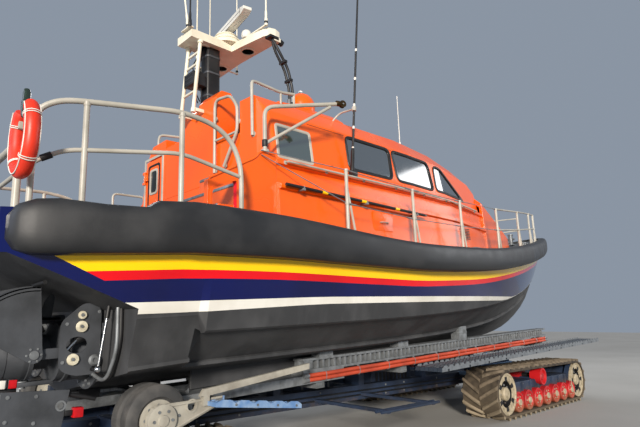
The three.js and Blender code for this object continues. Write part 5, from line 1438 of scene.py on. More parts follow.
    def inside(self) -> None:
        """Dresses the seats and the console behind the glass."""
        seats = Form.of_node("cabin_seats")
        edges = [edge for edge in seats.mesh.edges if 0.3 < edge.calc_length() < 1.0]
        bmesh.ops.subdivide_edges(seats.mesh, edges=edges, cuts=2, use_grid_fill=True)
        piece = seats.show("cabin_seats_dressed", [SEAT], "seat_fabric", ["cabin_seats"], round_edges=0.04,
                           crease=28)
        console = Form.of_node("cabin_console")
        for y in (-0.6, 0.0, 0.6):
            console.box((7.0, y - 0.2, 2.12), (7.03, y + 0.2, 2.36), 1, 0.008)
        console.show("cabin_console_dressed", [BLACK, SCREEN], "black_plastic", ["cabin_console"],
                     round_edges=0.02)


@dataclass
class Steering:
    """Open steering place: fairing, mast pylon, boarding steps and handrails."""

    dome_x: float = 3.785
    domes: tuple = (-0.88, 0.8)
    bulwark_y: float = -1.705
    hole: tuple = ((1.79, 1.72), (2.09, 1.72), (2.09, 2.14), (1.79, 2.0))
    # Columns: height and x of the edge of each step
    treads: tuple = ((1.88, 1.91), (2.15, 2.17), (2.44, 2.42))
    tube: float = 0.02
    wheel: tuple = (3.28, -0.1, 3.06)
    seats: tuple = (-0.6, 0.45)
    rail_x: float = 2.598
    wall_x: float = 2.62

    def build(self) -> None:
        """Builds every piece of the steering place."""
        fairing = Form.of_node("cockpit_fairing")
        # Painted shade: faces that look down take the black plastic finish, standing for the shadow under the
        # fairing's overhanging edges.
        fairing.paint(1, lambda middle, normal: normal.z < -0.5)
        dome = [(0.19, -0.2), (0.2, -0.1), (0.203, 0.02), (0.195, 0.07), (0.17, 0.12), (0.13, 0.17),
                (0.08, 0.2), (0, 0.218)]
        for y in self.domes:
            fairing.lathe(dome, (self.dome_x, y, 3.64), UP, 0, 40)
        fairing.show("cockpit_fairing_dressed", [ORANGE, BLACK], "cabin_paint", ["cockpit_fairing"],
                     round_edges=0.035, crease=26)
        pylon = Form.of_node("mast_pylon")
        pylon.show("mast_pylon_dressed", [ORANGE], "cabin_paint", ["mast_pylon"], round_edges=0.04, crease=28)
        self.steps()
        self.bulwark_trim()
        self.console()
        self.pads()
        self.lamps()
        self.step_rail()
        for side in Side:
            self.side_rail(side)

    def steps(self) -> None:
        """Builds the steps with grit treads and metal edges, and red painted shade on the walls of the
        bulwark's hole.
        """
        form = Form.of_node("boarding_steps")
        form.paint(1, lambda middle, normal: normal.z > 0.9 and middle.y > -1.6 and middle.z > 1.8)
        # Painted shade: the walls of the bulwark's hole take the red gloss, standing for the shaded orange
        # seen in the opening.
        form.paint(2, lambda middle, normal: 1.78 < middle.x < 2.1 and 1.71 < middle.z < 2.15
                   and middle.y < -1.639 and abs(normal.y) < 0.5)
        for z, x in self.treads:
            form.box((x - 0.006, -1.62, z - 0.03), (x + 0.03, -0.43, z + 0.006), 3, 0.004)
        form.show("boarding_steps_dressed", [ORANGE, DECK, RED, ZINC], "cabin_paint", ["boarding_steps"],
                  round_edges=0.02, crease=28)

    def bulwark_trim(self) -> None:
        """Builds the lip round the bulwark's hole and the bulwark's capping."""
        y = self.bulwark_y
        rows = ((0.0, y + 0.004), (0.0, y - 0.01), (0.022, y - 0.01), (0.026, y + 0.004), (0.0, y + 0.004))
        form = Form().gasket(self.hole, rows, lambda x, z, out: (x, out, z), 0.05).merge()
        capping = [(x, y - 0.002, z) for x, z in ((1.76, 2.112), (2.33, 2.425), (2.4, 2.512), (2.6, 2.512))]
        form.tube(bent(capping, 0.05), 0.012)
        form.show("bulwark_trim", [ORANGE], "cabin_paint")

    def console(self) -> None:
        """Builds the instruments, wheel, levers and seat posts at the steering place."""
        form = Form()
        for y, half in ((-0.6, 0.15), (-0.1, 0.17), (0.45, 0.15)):
            form.box((3.335, y - half, 3.265), (3.352, y + half, 3.37), 1, 0.006)
            form.box((3.33, y - half + 0.02, 3.28), (3.337, y + half - 0.02, 3.355), 2, 0.003)
        x, y, z = self.wheel
        form.tube([(x, y + dy, z + dz) for dy, dz in circle(0.17, 28)], 0.013, 0, 10, closed=True)
        form.rod((3.43, y, z), (3.27, y, z), 0.025)
        for dy, dz in circle(0.165, 12)[3::4]:
            form.rod((x, y, z), (x, y + dy, z + dz), 0.008)
        for y in (-0.62, 0.42):
            form.box((3.36, y - 0.05, 3.0), (3.44, y + 0.05, 3.12), 0, 0.01)
            form.rod((3.37, y, 3.1), (3.33, y, 3.22), 0.009, 0, 10)
            form.ball((3.33, y, 3.23), 0.022)
        post = [(0, 0), (0.13, 0), (0.13, 0.015), (0.045, 0.03), (0.04, 0.4), (0.1, 0.42), (0, 0.43)]
        for y in self.seats:
            form.lathe(post, (3.1, y, 2.455), UP, 0, 24)
        form.show("steering_console_fittings", [BLACK, CASTING, SCREEN], "black_plastic")

    def pads(self) -> None:
        """Builds the two padded seats."""
        for number, y in enumerate(self.seats, 1):
            pad = Form().box((2.98, y - 0.2, 2.88), (3.24, y + 0.2, 2.97), 0, 0.035)
            pad.box((2.965, y - 0.19, 2.95), (3.03, y + 0.19, 3.2), 0, 0.03)
            pad.show(f"steering_seat_{number}", [SEAT], "seat_fabric")

    def lamps(self) -> None:
        """Builds the lamps on the domes and under the fairing's edge."""
        form = Form()
        for y in self.domes:
            form.rod((self.dome_x, y, 3.84), (self.dome_x, y, 3.875), 0.03, 1)
            form.ball((self.dome_x, y, 3.885), 0.03)
        for y in (-1.0, 0.9):
            form.box((3.17, y - 0.06, 3.44), (3.22, y + 0.06, 3.47), 1, 0.006)
            form.box((3.166, y - 0.05, 3.445), (3.172, y + 0.05, 3.465), 0, 0.002)
        form.show("fairing_lamps", [LENS, BLACK], "black_plastic")

    def standoff(self, form: Form, y: float, z: float, radius: float) -> None:
        """Adds a stub with a flange between a rail and the cabin's aft wall.

        Args:
            form: form that takes it.
            y: its place across.
            z: its height.
            radius: radius of the stub.
        """
        form.rod((self.rail_x, y, z), (self.wall_x, y, z), radius, 0, 12)
        form.rod((self.wall_x - 0.006, y, z), (self.wall_x, y, z), radius + 0.02)

    def step_rail(self) -> None:
        """Builds the arched handrail beside the step opening."""
        path = [(self.rail_x, y, z) for y, z in (
            (-0.485, 2.56), (-0.485, 3.49), (-0.54, 3.55), (-0.83, 3.51), (-0.94, 3.39), (-0.99, 3.3),
            (-0.99, 3.0), (-0.7, 2.6))]
        form = Form().tube(bent(path, 0.07), self.tube, 0, 14)
        form.rod((self.rail_x, -0.485, 2.99), (self.rail_x, -0.99, 2.99), 0.015, 0, 12)
        for y, z in ((-0.485, 2.59), (-0.485, 3.3), (-1.0, 3.12), (-0.71, 2.615)):
            self.standoff(form, y, z, 0.012)
        form.show("step_handrail", [TUBE], "rail_metal", ["handrail_step"])

    def side_rail(self, side: Side) -> None:
        """Builds the handrail along one edge of the steering place.

        Args:
            side: side of the boat.
        """
        path = [(2.68, 1.25, 3.34), (2.68, 1.25, 3.52), (2.72, 1.245, 3.58)]
        if side is Side.STARBOARD:
            path = [(self.rail_x, 1.3, 2.85), (self.rail_x, 1.29, 3.5), (2.64, 1.25, 3.58)]
        path += [(3.16, 1.17, 3.6), (3.4, 1.17, 3.64)]
        form = Form().tube(bent(sided(path, side), 0.09), self.tube, 0, 14)
        for x, foot, top in ((3.16, 3.37, 3.6), (3.39, 3.37, 3.635)):
            form.rod((x, side * 1.17, foot), (x, side * 1.17, top), 0.015, 0, 12)
            form.lathe([(0, 0), (0.035, 0), (0.035, 0.008), (0.018, 0.014)],
                       (x, side * 1.17, foot + 0.008), UP, 0, 16)
        if side is Side.STARBOARD:
            self.standoff(form, side * 1.3, 2.87, 0.014)
        form.show(f"steering_handrail_{side.label}", [TUBE], "rail_metal", [f"handrail_{side.label}"])


@dataclass
class Mast:
    """Cream mast with its ladder, platform, scanner, aerials and black struts."""

    ladder_y: float = 0.16
    ladder_foot: tuple = (2.464, 3.48)
    ladder_head: tuple = (2.56, 4.55)
    rungs: tuple = (3.78, 4.2, 4.38)
    under: float = 4.55
    top: float = 4.67
    hub_x: float = 3.1
    hub_z: float = 4.915
    heading: float = math.radians(260)
    wells: tuple = ((3.24, -0.35), (3.24, 0.35), (2.7, 0.0))
    # Columns: x, y, radius, height of tip, lean forward
    whips: tuple = (
        (3.135, -0.915, 0.012, 7.0, 0.0), (3.135, 0.915, 0.012, 7.0, 0.0), (3.3, 0.785, 0.01, 6.8, 0.0),
        (3.69, 0.565, 0.01, 6.6, 0.0), (2.37, -0.2, 0.012, 6.3, 0.0), (2.385, -0.13, 0.012, 6.9, -0.14),
    )
    black_whip: int = 4
    # Columns: height and x of the struts' middle line
    strut_line: tuple = ((3.6, 3.53), (3.8, 3.54), (4.12, 3.47), (4.36, 3.295))

    def on_leg(self, y: float, z: float) -> Point:
        """Point in the plane of the ladder's legs."""
        (foot_x, foot_z), (head_x, head_z) = self.ladder_foot, self.ladder_head
        return foot_x + (head_x - foot_x) * (z - foot_z) / (head_z - foot_z), y, z

    def build(self) -> None:
        """Builds the mast from its foot up."""
        self.frame_and_ladder()
        self.platform()
        self.platform_fittings()
        self.scanner()
        self.aerials()
        for side in Side:
            self.struts(side)

    def frame_and_ladder(self) -> None:
        """Builds legs, rungs, instrument boxes, the black column and the cables between."""
        form = Form()
        for y in (-self.ladder_y, self.ladder_y):
            form.rod(self.on_leg(y, 3.48), self.on_leg(y, 4.549), 0.026, 0, 18)
            form.box((2.464, y - 0.025, 3.48), (2.6197, y + 0.025, 3.53), 0, 0.006)
            form.rod(self.on_leg(y, 3.46), self.on_leg(y, 3.52), 0.033, 0, 18, soften=0.006)
            form.rod(self.on_leg(y, 4.51), self.on_leg(y, 4.549), 0.04, 0, 18)
        for z in self.rungs:
            form.rod(self.on_leg(-self.ladder_y, z), self.on_leg(self.ladder_y, z), 0.018, 0, 14)
        form.box((2.64, -0.09, 3.92), (2.712, 0.09, 4.08), 1, 0.01)
        x = self.on_leg(0, 4.0)[0]
        form.box((x - 0.035, -0.13, 3.905), (2.66, 0.13, 4.095), 1, 0.012)
        for z in (3.94, 4.0, 4.06):
            form.box((x - 0.04, -0.11, z - 0.003), (x - 0.03, 0.11, z + 0.003), 2, 0.001)
        column = rectangle(2.715, -0.1, 2.935, 0.1)
        form.plate([[(x, y, 3.56) for x, y in grown(column, 0, 0.04)]], (0, 0, 0.9897), 1, 0.006)
        for z in (3.8, 4.15, 4.4):
            form.plate([[(x, y, z) for x, y in grown(column, 0.006, 0.045)]], (0, 0, 0.03), 2, 0.003)
        for y, bow in ((-0.05, 0.03), (0.0, -0.02), (0.06, 0.035)):
            low = [(2.66, y, 3.72), (2.6 + bow, y * 1.6, 3.84), (2.62, y, 3.92)]
            form.tube(bent(low, 0.06), 0.009, 1, 8)
            high = [(2.64, y, 4.08), (2.62 - bow, y * 1.8, 4.25), (2.66, y * 1.4, 4.42), (2.7, y, 4.548)]
            form.tube(bent(high, 0.08), 0.009, 1, 8)
        form.show("mast_frame_and_ladder", [CREAM, BLACK, CASTING], "cream_paint", ["mast_frame"])

    def platform(self) -> None:
        """Dresses the platform, with the insides of the wells in its underside painted black as painted
        shade.
        """
        form = Form.of_node("mast_platform")
        # Painted shade: the walls and ceilings of the wells take the black finish.
        form.paint(1, lambda middle, normal: 4.56 < middle.z < 4.63 and min(
            math.hypot(middle.x - x, middle.y - y) for x, y in self.wells) < 0.11)
        form.show("mast_platform_dressed", [CREAM, BLACK], "cream_paint", ["mast_platform"],
                  round_edges=0.016, crease=28)

    def platform_fittings(self) -> None:
        """Builds the pedestal's rings, the lips of the wells and the lamps below."""
        form = Form()
        for radius, z in ((0.252, 4.672), (0.222, 4.77), (0.165, 4.856)):
            bore, rim = radius - 0.01, radius + 0.006
            form.lathe([(bore, 0), (rim, 0.002), (rim, 0.014), (bore, 0.018), (bore, 0)],
                       (self.hub_x, 0, z), UP, 0, 48)
        for x, y in self.wells:
            form.collar(0.088, 0.112, -0.012, (x, y, self.under), UP)
        form.rod((2.9, 0.0, self.under - 0.02), (2.9, 0.0, self.under), 0.06, 2, 24)
        for side in Side:
            y, z = side * 0.9, self.under
            form.box((3.26, y - 0.04, z - 0.06), (3.38, y + 0.04, z), 0, 0.008)
            form.rod((3.38, y, z - 0.03), (3.43, y, z - 0.05), 0.045, 1, 20)
            form.rod((3.43, y, z - 0.05), (3.434, y, z - 0.051), 0.038, 2, 20)
        form.show("mast_platform_fittings", [CREAM, BLACK, LENS], "cream_paint")

    def scanner(self) -> None:
        """Dresses the turning scanner with its seams and end caps."""
        form = Form.of_node("radar_scanner")
        form.show("radar_scanner_dressed", [WHITE], "cream_paint", ["radar_scanner"], "radar",
                  round_edges=0.018, crease=26)
        bar = Form()
        for end in (-1, 1):
            bar.box((end * 0.6 - 0.004, -0.067, 0.008), (end * 0.6 + 0.004, 0.067, 0.108))
            bar.bolts(0.006, [(end * 0.66, y, 0.083) for y in (-0.035, 0.035)], UP, 1)
            bar.box((-0.6, end * 0.064, 0.05), (0.6, end * 0.0672, 0.056))
        turn = Matrix.Translation((self.hub_x, 0, self.hub_z)) @ Matrix.Rotation(self.heading, 4, "Z")
        trim = Form().stamp(bar, [turn])
        trim.show("radar_scanner_seams", [CASTING, ZINC], "cream_paint", body="radar")

    def aerials(self) -> None:
        """Builds the whips on their sockets, the light frame and the globe."""
        form = Form()
        low = self.top + 0.0003
        for x0, x1, y0, y1 in (
            (3.12, 3.15, -0.93, -0.26), (3.12, 3.15, 0.26, 0.93), (2.355, 2.838, -0.015, 0.015),
            (2.355, 2.42, -0.218, 0.0), (3.14, 3.706, 0.55, 0.58), (3.14, 3.316, 0.77, 0.8),
        ):
            form.box((x0, y0, low), (x1, y1, low + 0.02), 0, 0.004)
        form.collar(0.258, 0.288, 0.02, (self.hub_x, 0, low), UP, 0, 48)
        for index, (x, y, radius, tip, lean) in enumerate(self.whips):
            axis = Vector((lean, 0, 1)).normalized()
            long = (tip - low) / axis.z
            whip = [(0, 0), (2.0, 0), (2.0, 0.1), (1.5, 0.12), (1.5, 0.2), (1.0, 0.23), (0.9, long * 0.6),
                    (0.6, long), (0, long)]
            band = [(2.0, 0.03), (2.2, 0.035), (2.2, 0.06), (2.0, 0.065)]
            for profile, paint in ((whip, int(index == self.black_whip)), (band, 1)):
                form.lathe([(radius * share, z) for share, z in profile], (x, y, low), axis, paint, 14)
        globe = [(0, 0), (0.06, 0), (0.074, 0.03), (0.075, 0.06), (0.066, 0.095), (0.045, 0.118),
                 (0.02, 0.13), (0, 0.131)]
        form.lathe(globe, (3.135, -0.46, low), UP, 2, 28)
        form.show("mast_whips_and_frame", [CREAM, BLACK, WHITE], "cream_paint", ["mast_aerials"])

    def struts(self, side: Side) -> None:
        """Builds a pair of black struts with their head block and foot clevis.

        Args:
            side: side of the boat.
        """
        form = Form()
        for y in (0.915, 0.985):
            path = [(3.25, 0.9, 4.53), (3.295, y - 0.02, 4.36), (3.47, y - 0.015, 4.12), (3.54, y, 3.8),
                    (3.525, y, 3.6)]
            form.tube(bent(sided(path, side), 0.1), 0.02, 0, 14)
            form.rod((3.53, side * y, 3.62), (3.532, side * y, 3.69), 0.027, 1)
        form.box((3.17, side * 0.84, 4.51), (3.33, side * 0.96, 4.5497), 0, 0.01)
        form.box((3.48, side * 0.87, 3.56), (3.572, side * 1.03, 3.6), 0, 0.01)
        y = side * 0.94
        for z in (4.2, 3.95):
            x = between(self.strut_line, 1, z)
            form.box((x - 0.026, y - 0.065, z - 0.02), (x + 0.026, y + 0.065, z + 0.02), 0, 0.006)
        form.show(f"mast_struts_{side.label}", [BLACK, ZINC], "black_plastic", [f"mast_strut_{side.label}"])


@dataclass
class DeckRails:
    """Guard rails, stern rail, lifebuoy, davit, boat hook and deck aerials."""

    hull: Hull
    cabin: Cabin
    tube: float = 0.024
    # Columns: x, inset from the fender seat, height
    stanchions: tuple = (
        (3.44, 0.055, 0.83), (4.77, 0.055, 0.83), (6.15, 0.055, 0.82), (7.75, 0.055, 0.79),
        (9.35, 0.055, 0.78), (10.9, 0.055, 0.76), (12.2, 0.06, 0.74), (13.15, 0.09, 0.72),
    )
    # Columns: x, y and height of the bent rail over the after deck, and of the bar below it
    aft_rail: tuple = (
        (0.19, 1.7, 2.37), (0.245, 1.735, 2.455), (0.38, 1.79, 2.515), (1.3, 1.985, 2.59),
        (1.64, 1.99, 2.545), (1.83, 1.99, 2.42), (1.92, 1.99, 2.23), (1.94, 1.99, 2.08),
    )
    aft_bar: tuple = (
        (0.19, 1.7, 1.975), (0.235, 1.728, 2.01), (0.395, 1.793, 2.1), (1.3, 1.985, 2.2), (1.94, 1.99, 2.08))
    solid_spans: int = 4
    buoy: tuple = (0.096, -1.83, 2.13)
    buoy_wide: float = 0.5
    buoy_high: float = 0.65
    buoy_thick: float = 0.056
    buoy_mouth: float = 70.0
    buoy_steps: int = 56
    davit_foot: tuple = (2.49, -1.67, 2.5003)
    davit_tip: tuple = (3.42, -1.98, 3.25)
    hook: tuple = ((2.65, 2.155), (5.3, 2.0863))
    hook_y: float = -1.835
    aerial: tuple = (3.94, -1.668, 2.54)
    aerial_lean: float = 0.108
    aerial_tip: float = 6.5
    # Distances along the side aerial where its colour changes
    aerial_marks: tuple = (0.32, 0.36, 0.62, 0.66, 0.95, 0.99, 1.35, 1.39, 1.8, 1.84)
    # Columns: x and y of the grab rail on the roof
    roof_line: tuple = ((4.5, -1.08), (5.4, -1.08), (6.4, -1.03))

    def build(self) -> None:
        """Builds every fitting on the deck's edge."""
        self.stern()
        for side in Side:
            self.aft(side)
            self.fore(side)
        self.lifebuoy()
        self.buoy_strap()
        self.buoy_fittings()
        self.davit()
        self.boat_hook()
        self.side_aerial()
        self.roof_rail()
        self.port_rail()

    def foot(self, form: Form, x: float, y: float) -> None:
        """Adds a welded foot plate with four bolts under a post.

        Args:
            form: form that takes it.
            x: the post's place along the deck.
            y: its place across.
        """
        z = self.hull.deck(x)
        plate = [(0, 0), (0.06, 0), (0.06, 0.01), (0.034, 0.014), (0.026, 0.04), (0.024, 0.04)]
        form.lathe(plate, (x, y, z), UP, 0, 20)
        form.bolt_ring(0.008, (x, y, z + 0.01), UP, 0.045, 4, start=0.785)

    def stern(self) -> None:
        """Builds the rail across the stern."""
        x, half, top, middle = 0.15, 1.48, 2.2, 1.93
        deck = self.hull.deck(x)
        path = [(x, -half, deck), (x, -half, top), (x, half, top), (x, half, deck)]
        form = Form().tube(bent(path, 0.1), 0.03, 0, 16)
        form.rod((x, -half, middle), (x, half, middle), 0.019, 0, 12)
        for y in (-0.62, 0.62):
            form.rod((x, y, deck), (x, y, top), self.tube)
        for y in (-half, -0.62, 0.62, half):
            self.foot(form, x, y)
        form.show("stern_rail", [TUBE], "rail_metal", ["rail_stern"])

    def aft(self, side: Side) -> None:
        """Builds the bent rail over one side of the after deck.

        Args:
            side: side of the boat.
        """
        (x0, y0, _), (x1, y1, _) = self.aft_rail[0], self.aft_rail[-1]
        path = [(x0, y0, self.hull.deck(x0)), *self.aft_rail, (x1, y1, self.hull.deck(x1))]
        form = Form().tube(bent(sided(path, side), 0.14), self.tube, 0, 16)
        form.tube(bent(sided(self.aft_bar, side), 0.12), self.tube * 0.8, 0, 14)
        posts = ((0.53, 1.824, 2.525), (1.3, 1.985, 2.58))
        for x, y, z in posts:
            form.rod((x, side * y, self.hull.deck(x)), (x, side * y, z), self.tube)
            form.rod((x, side * y, z - 0.035), (x, side * y, z), 0.028)
        for x, y, _ in (self.aft_rail[0], *posts, self.aft_rail[-1]):
            self.foot(form, x, side * y)
        form.rod(*sided(((0.24, 1.732, 2.013), (0.31, 1.76, 2.051)), side), 0.027, 1)
        form.show(f"after_deck_rail_{side.label}", [TUBE, BLACK], "rail_metal", [f"rail_aft_{side.label}"])

    def fore(self, side: Side) -> None:
        """Builds the stanchions, their braces, the wires and the bow's solid rails.

        Args:
            side: side of the boat.
        """
        hull = self.hull
        places = [(x, side * (hull.edge(x) - inset), hull.deck(x), hull.deck(x) + high)
                  for x, inset, high in self.stanchions]
        form = Form()
        for x, y, foot, top in places:
            high = top - foot
            form.lathe([(0.0216, 0), (0.0216, high - 0.02), (0.016, high), (0, high + 0.003)],
                       (x, y, foot), UP, 0, 14)
            self.foot(form, x, y)
            for z in (top - 0.01, (foot + top) / 2):
                form.rod((x, y, z - 0.012), (x, y, z + 0.012), 0.027, 0, 14)
        for x, y, foot, top in places[:-1]:
            brace = Vector((x + 0.19, y - side * 0.04, foot))
            form.rod(brace, (x, y, top - 0.2), 0.0144, 0, 12)
            form.rod(brace, brace + Vector((0, 0, 0.014)), 0.04, 0, 14)
        first_solid = len(places) - self.solid_spans - 1
        for index, ends in enumerate(zip(places, places[1:])):
            for share, drop in ((0.5, 0.0), (1.0, 0.01)):
                a, b = (Vector((x, y, foot + (top - foot) * share - drop)) for x, y, foot, top in ends)
                if index >= first_solid:
                    form.rod(a, b, 0.0168, 0, 12)
                    continue
                form.rod(a, b, 0.006, 1, 8)
                along = (b - a).normalized()
                for point, way in ((a, along), (b, -along)):
                    form.rod(point + way * 0.04, point + way * 0.16, 0.011, 1, 10)
        form.show(f"fore_guard_rail_{side.label}", [TUBE, ZINC], "rail_metal", [f"rail_fore_{side.label}"])

    def on_buoy(self, share: float, out: float, proud: float) -> Vector:
        """Point by the horseshoe's middle line.

        Args:
            share: place along it, from 0 at one end to 1 at the other.
            out: distance outward in its plane.
            proud: distance forward of its plane.

        Returns:
            The point.
        """
        x, y, z = self.buoy
        wide, high = self.buoy_wide / 2 - self.buoy_thick, self.buoy_high / 2 - self.buoy_thick
        angle = math.radians(90 + self.buoy_mouth / 2 + (360 - self.buoy_mouth) * share)
        normal = Vector((math.cos(angle) / wide, math.sin(angle) / high)).normalized()
        return Vector((x + proud, y + wide * math.cos(angle) + normal.x * out,
                       z + high * math.sin(angle) + normal.y * out))

    def lifebuoy(self) -> None:
        """Builds the soft horseshoe with its piping and tapes."""
        rings = []
        for step in range(self.buoy_steps + 1):
            share = step / self.buoy_steps
            end = min(share, 1 - share) * self.buoy_steps
            swell = self.buoy_thick * (1.0 - 0.22 * math.exp(-end / 1.2)) * (1 + 0.025 * math.cos(share * 44))
            rings.append([self.on_buoy(share, 0.96 * swell * c * (1 - 0.1 * s ** 4), swell * s)
                          for c, s in circle(1, 20)])
        form = Form().loft(rings)
        for proud, out in ((0.052, 0.022), (0.052, -0.022), (-0.052, 0.022)):
            form.tube([self.on_buoy(0.02 + 0.96 * i / 48, out, proud) for i in range(49)], 0.0045, 1, 8)
        for middle in (0.1, 0.34, 0.66, 0.9):
            for share in (middle - 0.006, middle + 0.006):
                tape = [self.on_buoy(share, out, proud) for out, proud in circle(0.0595, 20)]
                form.tube(tape, 0.004, 1, 8, closed=True)
        buoy = form.show("lifebuoy_cover", [BUOY, TAPE], "buoy_shell", ["lifebuoy"], crease=60)

    def buoy_strap(self) -> None:
        """Builds the strap across the horseshoe."""
        a, b = (self.on_buoy(share, -0.04, 0.03) for share in (0.2, 0.72))
        across = (b - a).normalized().cross(Vector(FORE)) * 0.022
        thick = Vector((0.004, 0, 0))
        rings = [[p - across, p + across, p + across + thick, p - across + thick]
                 for p in (a, a.lerp(b, 0.5) + Vector((-0.012, 0, 0)), b)]
        Form().loft(rings).show("lifebuoy_strap", [BUOY], "buoy_shell")

    def buoy_fittings(self) -> None:
        """Builds the lifebuoy's lamp and the bracket that it hangs from."""
        x, y, z = self.buoy
        form = Form()
        lamp = [(0, 0), (0.03, 0), (0.036, 0.02), (0.036, 0.12), (0.028, 0.14), (0.028, 0.2), (0.02, 0.23),
                (0, 0.235)]
        form.lathe(lamp, (x + 0.004, y + 0.02, z + 0.16), (0, 0.1, 1), 1, 24)
        form.box((x - 0.02, -1.73, z + 0.09), (0.166, -1.67, z + 0.15), 0, 0.006)
        for dz in (0.03, 0.21):
            form.rod((0.15, -1.7, z + dz), (0.15, -1.7, z + dz + 0.03), 0.035)
        form.rod((x + 0.05, -1.7, z + 0.12), (x + 0.05, -1.83, z + 0.12), 0.012, 0, 12)
        form.rod((x + 0.05, -1.83, z + 0.06), (x + 0.05, -1.83, z + 0.2), 0.01, 0, 12)
        form.show("lifebuoy_lamp_and_bracket", [TUBE, GREENISH], "rail_metal")

    def davit(self) -> None:
        """Builds the davit with its collar, stay, sheave head and clamp, which swing together."""
        x, y, foot = self.davit_foot
        form = Form().tube(bent([(x, y, foot), (x, y, 3.06), self.davit_tip], 0.12), self.tube, 0, 16)
        form.lathe([(0, 0), (0.048, 0), (0.048, 0.05), (0.036, 0.06), (0.024, 0.06)], (x, y, foot), UP, 0, 20)
        form.rod((x, y, foot + 0.09), (x, y, foot + 0.17), 0.034, 1, 18, soften=0.006)
        form.rod((x + 0.02, y - 0.005, 2.64), (x + 0.8, y - 0.266, 3.19), 0.0192, 0, 14)
        tip = Vector(self.davit_tip)
        along = Vector((tip.x - x, tip.y - y, 0)).normalized()
        across = Vector((-along.y, along.x, 0))
        form.rod(tip - along * 0.06, tip + along * 0.02, 0.034, 2, 18, soften=0.006)
        sheave = [(0, -0.02), (0.045, -0.02), (0.034, -0.008), (0.034, 0.008), (0.045, 0.02), (0, 0.02)]
        hub = tip + along * 0.03
        form.lathe(sheave, hub, across, 2, 28)
        form.rod(hub - across * 0.03, hub + across * 0.03, 0.01, 3, 12)
        form.show("davit_arm_and_sheave", [TUBE, BLACK, BRONZE, ZINC], "rail_metal", ["davit"], "davit_arm")

    def boat_hook(self) -> None:
        """Builds the boat hook's pole, its head and its clips."""
        y = self.hook_y
        (x0, z0), (x1, z1) = self.hook
        form = Form().rod((x0, y, z0), (x1, y, z1), 0.019)
        slope = -0.0259
        for x in (3.2, 3.9, 4.6):
            z = z0 + slope * (x - x0)
            form.rod((x, y, z), (x + 0.09, y, z - 0.0023), 0.0205, 2)
        arc = [math.pi * (0.75 + 1.5 * i / 12) for i in range(13)]
        for x in (2.9, 4.0, 5.1):
            z = z0 + slope * (x - x0)
            form.box((x - 0.022, y - 0.024, z - 0.035), (x + 0.022, -1.745, z - 0.006), 1, 0.004)
            form.tube([(x, y + 0.025 * math.cos(a), z + 0.025 * math.sin(a)) for a in arc], 0.006, 1, 8)
        form.rod((5.28, y, 2.087), (5.35, y, 2.085), 0.014, 1, 14)
        form.show("boat_hook_and_clips", [BLACK, ZINC, YELLOW], "black_plastic", ["boat_hook"])

    def side_aerial(self) -> None:
        """Builds the leaning aerial: black base, white bands, lower clamp and bracket tube."""
        x, y, foot = self.aerial
        lean = self.aerial_lean
        axis = Vector((lean, 0, 1)).normalized()
        long = (self.aerial_tip - foot) / axis.z
        form = Form().box((x - 0.05, -1.728, 2.45), (x + 0.05, -1.642, 2.555), 0, 0.01)
        base = [(0, 0), (0.034, 0), (0.034, 0.06), (0.026, 0.08), (0.026, 0.3), (0.016, 0.34)]
        form.lathe(base, self.aerial, axis, 0, 18)
        for index, (start, end) in enumerate(zip(self.aerial_marks, self.aerial_marks[1:])):
            form.lathe([(0, start), (0.0155, start), (0.0155, end), (0, end)], self.aerial, axis,
                       (index + 1) % 2, 14)
        whip = [(0, 1.84), (0.015, 1.84), (0.012, long * 0.8), (0.009, long), (0, long)]
        form.lathe(whip, self.aerial, axis, 0, 14)
        bracket = [(x + 0.06, -1.27, 3.36), (x + 0.15, -1.34, 3.5), (x + lean * 0.91, y, 3.45)]
        form.tube(bent(bracket, 0.1), 0.013, 2)
        form.rod((x + lean * 0.88, y, 3.42), (x + lean * 0.94, y, 3.48), 0.03, 2)
        form.show("side_aerial_dressed", [BLACK, WHITE, TUBE], "black_plastic", ["side_aerial"])

    def over_roof(self, x: float, up: float) -> Vector:
        """Point on the line of the roof's grab rail, at a height over the roof."""
        return Vector((x, between(self.roof_line, 1, x), self.cabin.roof(x) + up))

    def roof_rail(self) -> None:
        """Builds the grab rail and the thin whip on the roof."""
        places = ((4.5, -0.03), (4.5, 0.06), (5.4, 0.06), (6.4, 0.06), (6.4, -0.03))
        form = Form().tube(bent([self.over_roof(x, up) for x, up in places], 0.06), 0.018, 0, 14)
        for x in (5.1, 5.75):
            form.rod(self.over_roof(x, -0.05), self.over_roof(x, 0.06), 0.014, 0, 12)
        whip = [(0, 0), (0.018, 0), (0.018, 0.08), (0.008, 0.1), (0.006, 0.93), (0, 0.935)]
        form.lathe(whip, self.over_roof(5.9, 0.04), UP, 1, 12)
        form.show("roof_grab_rail", [TUBE, WHITE], "rail_metal", ["roof_rail"])

    def port_rail(self) -> None:
        """Builds the low rail on port and the guard wires by the davit."""
        form = Form()
        y, top, deck = 1.95, 2.7, self.hull.deck
        path = [(2.3, y, deck(2.3)), (2.28, y, top), (2.81, y, top), (2.81, y, deck(2.81))]
        form.tube(bent(path, 0.08), 0.018, 0, 14)
        form.rod((2.285, y, 2.3), (2.81, y, 2.3), 0.013, 0, 12)
        for x in (2.3, 2.81):
            self.foot(form, x, y)
        x, inset, high = self.stanchions[0]
        for share in (0.5, 0.99):
            end = (x, inset - self.hull.edge(x), deck(x) + high * share)
            form.rod((2.4, -1.72, 2.42 + 0.1 * share), end, 0.006, 1, 8)
        form.show("port_low_rail_and_wires", [TUBE, ZINC], "rail_metal")


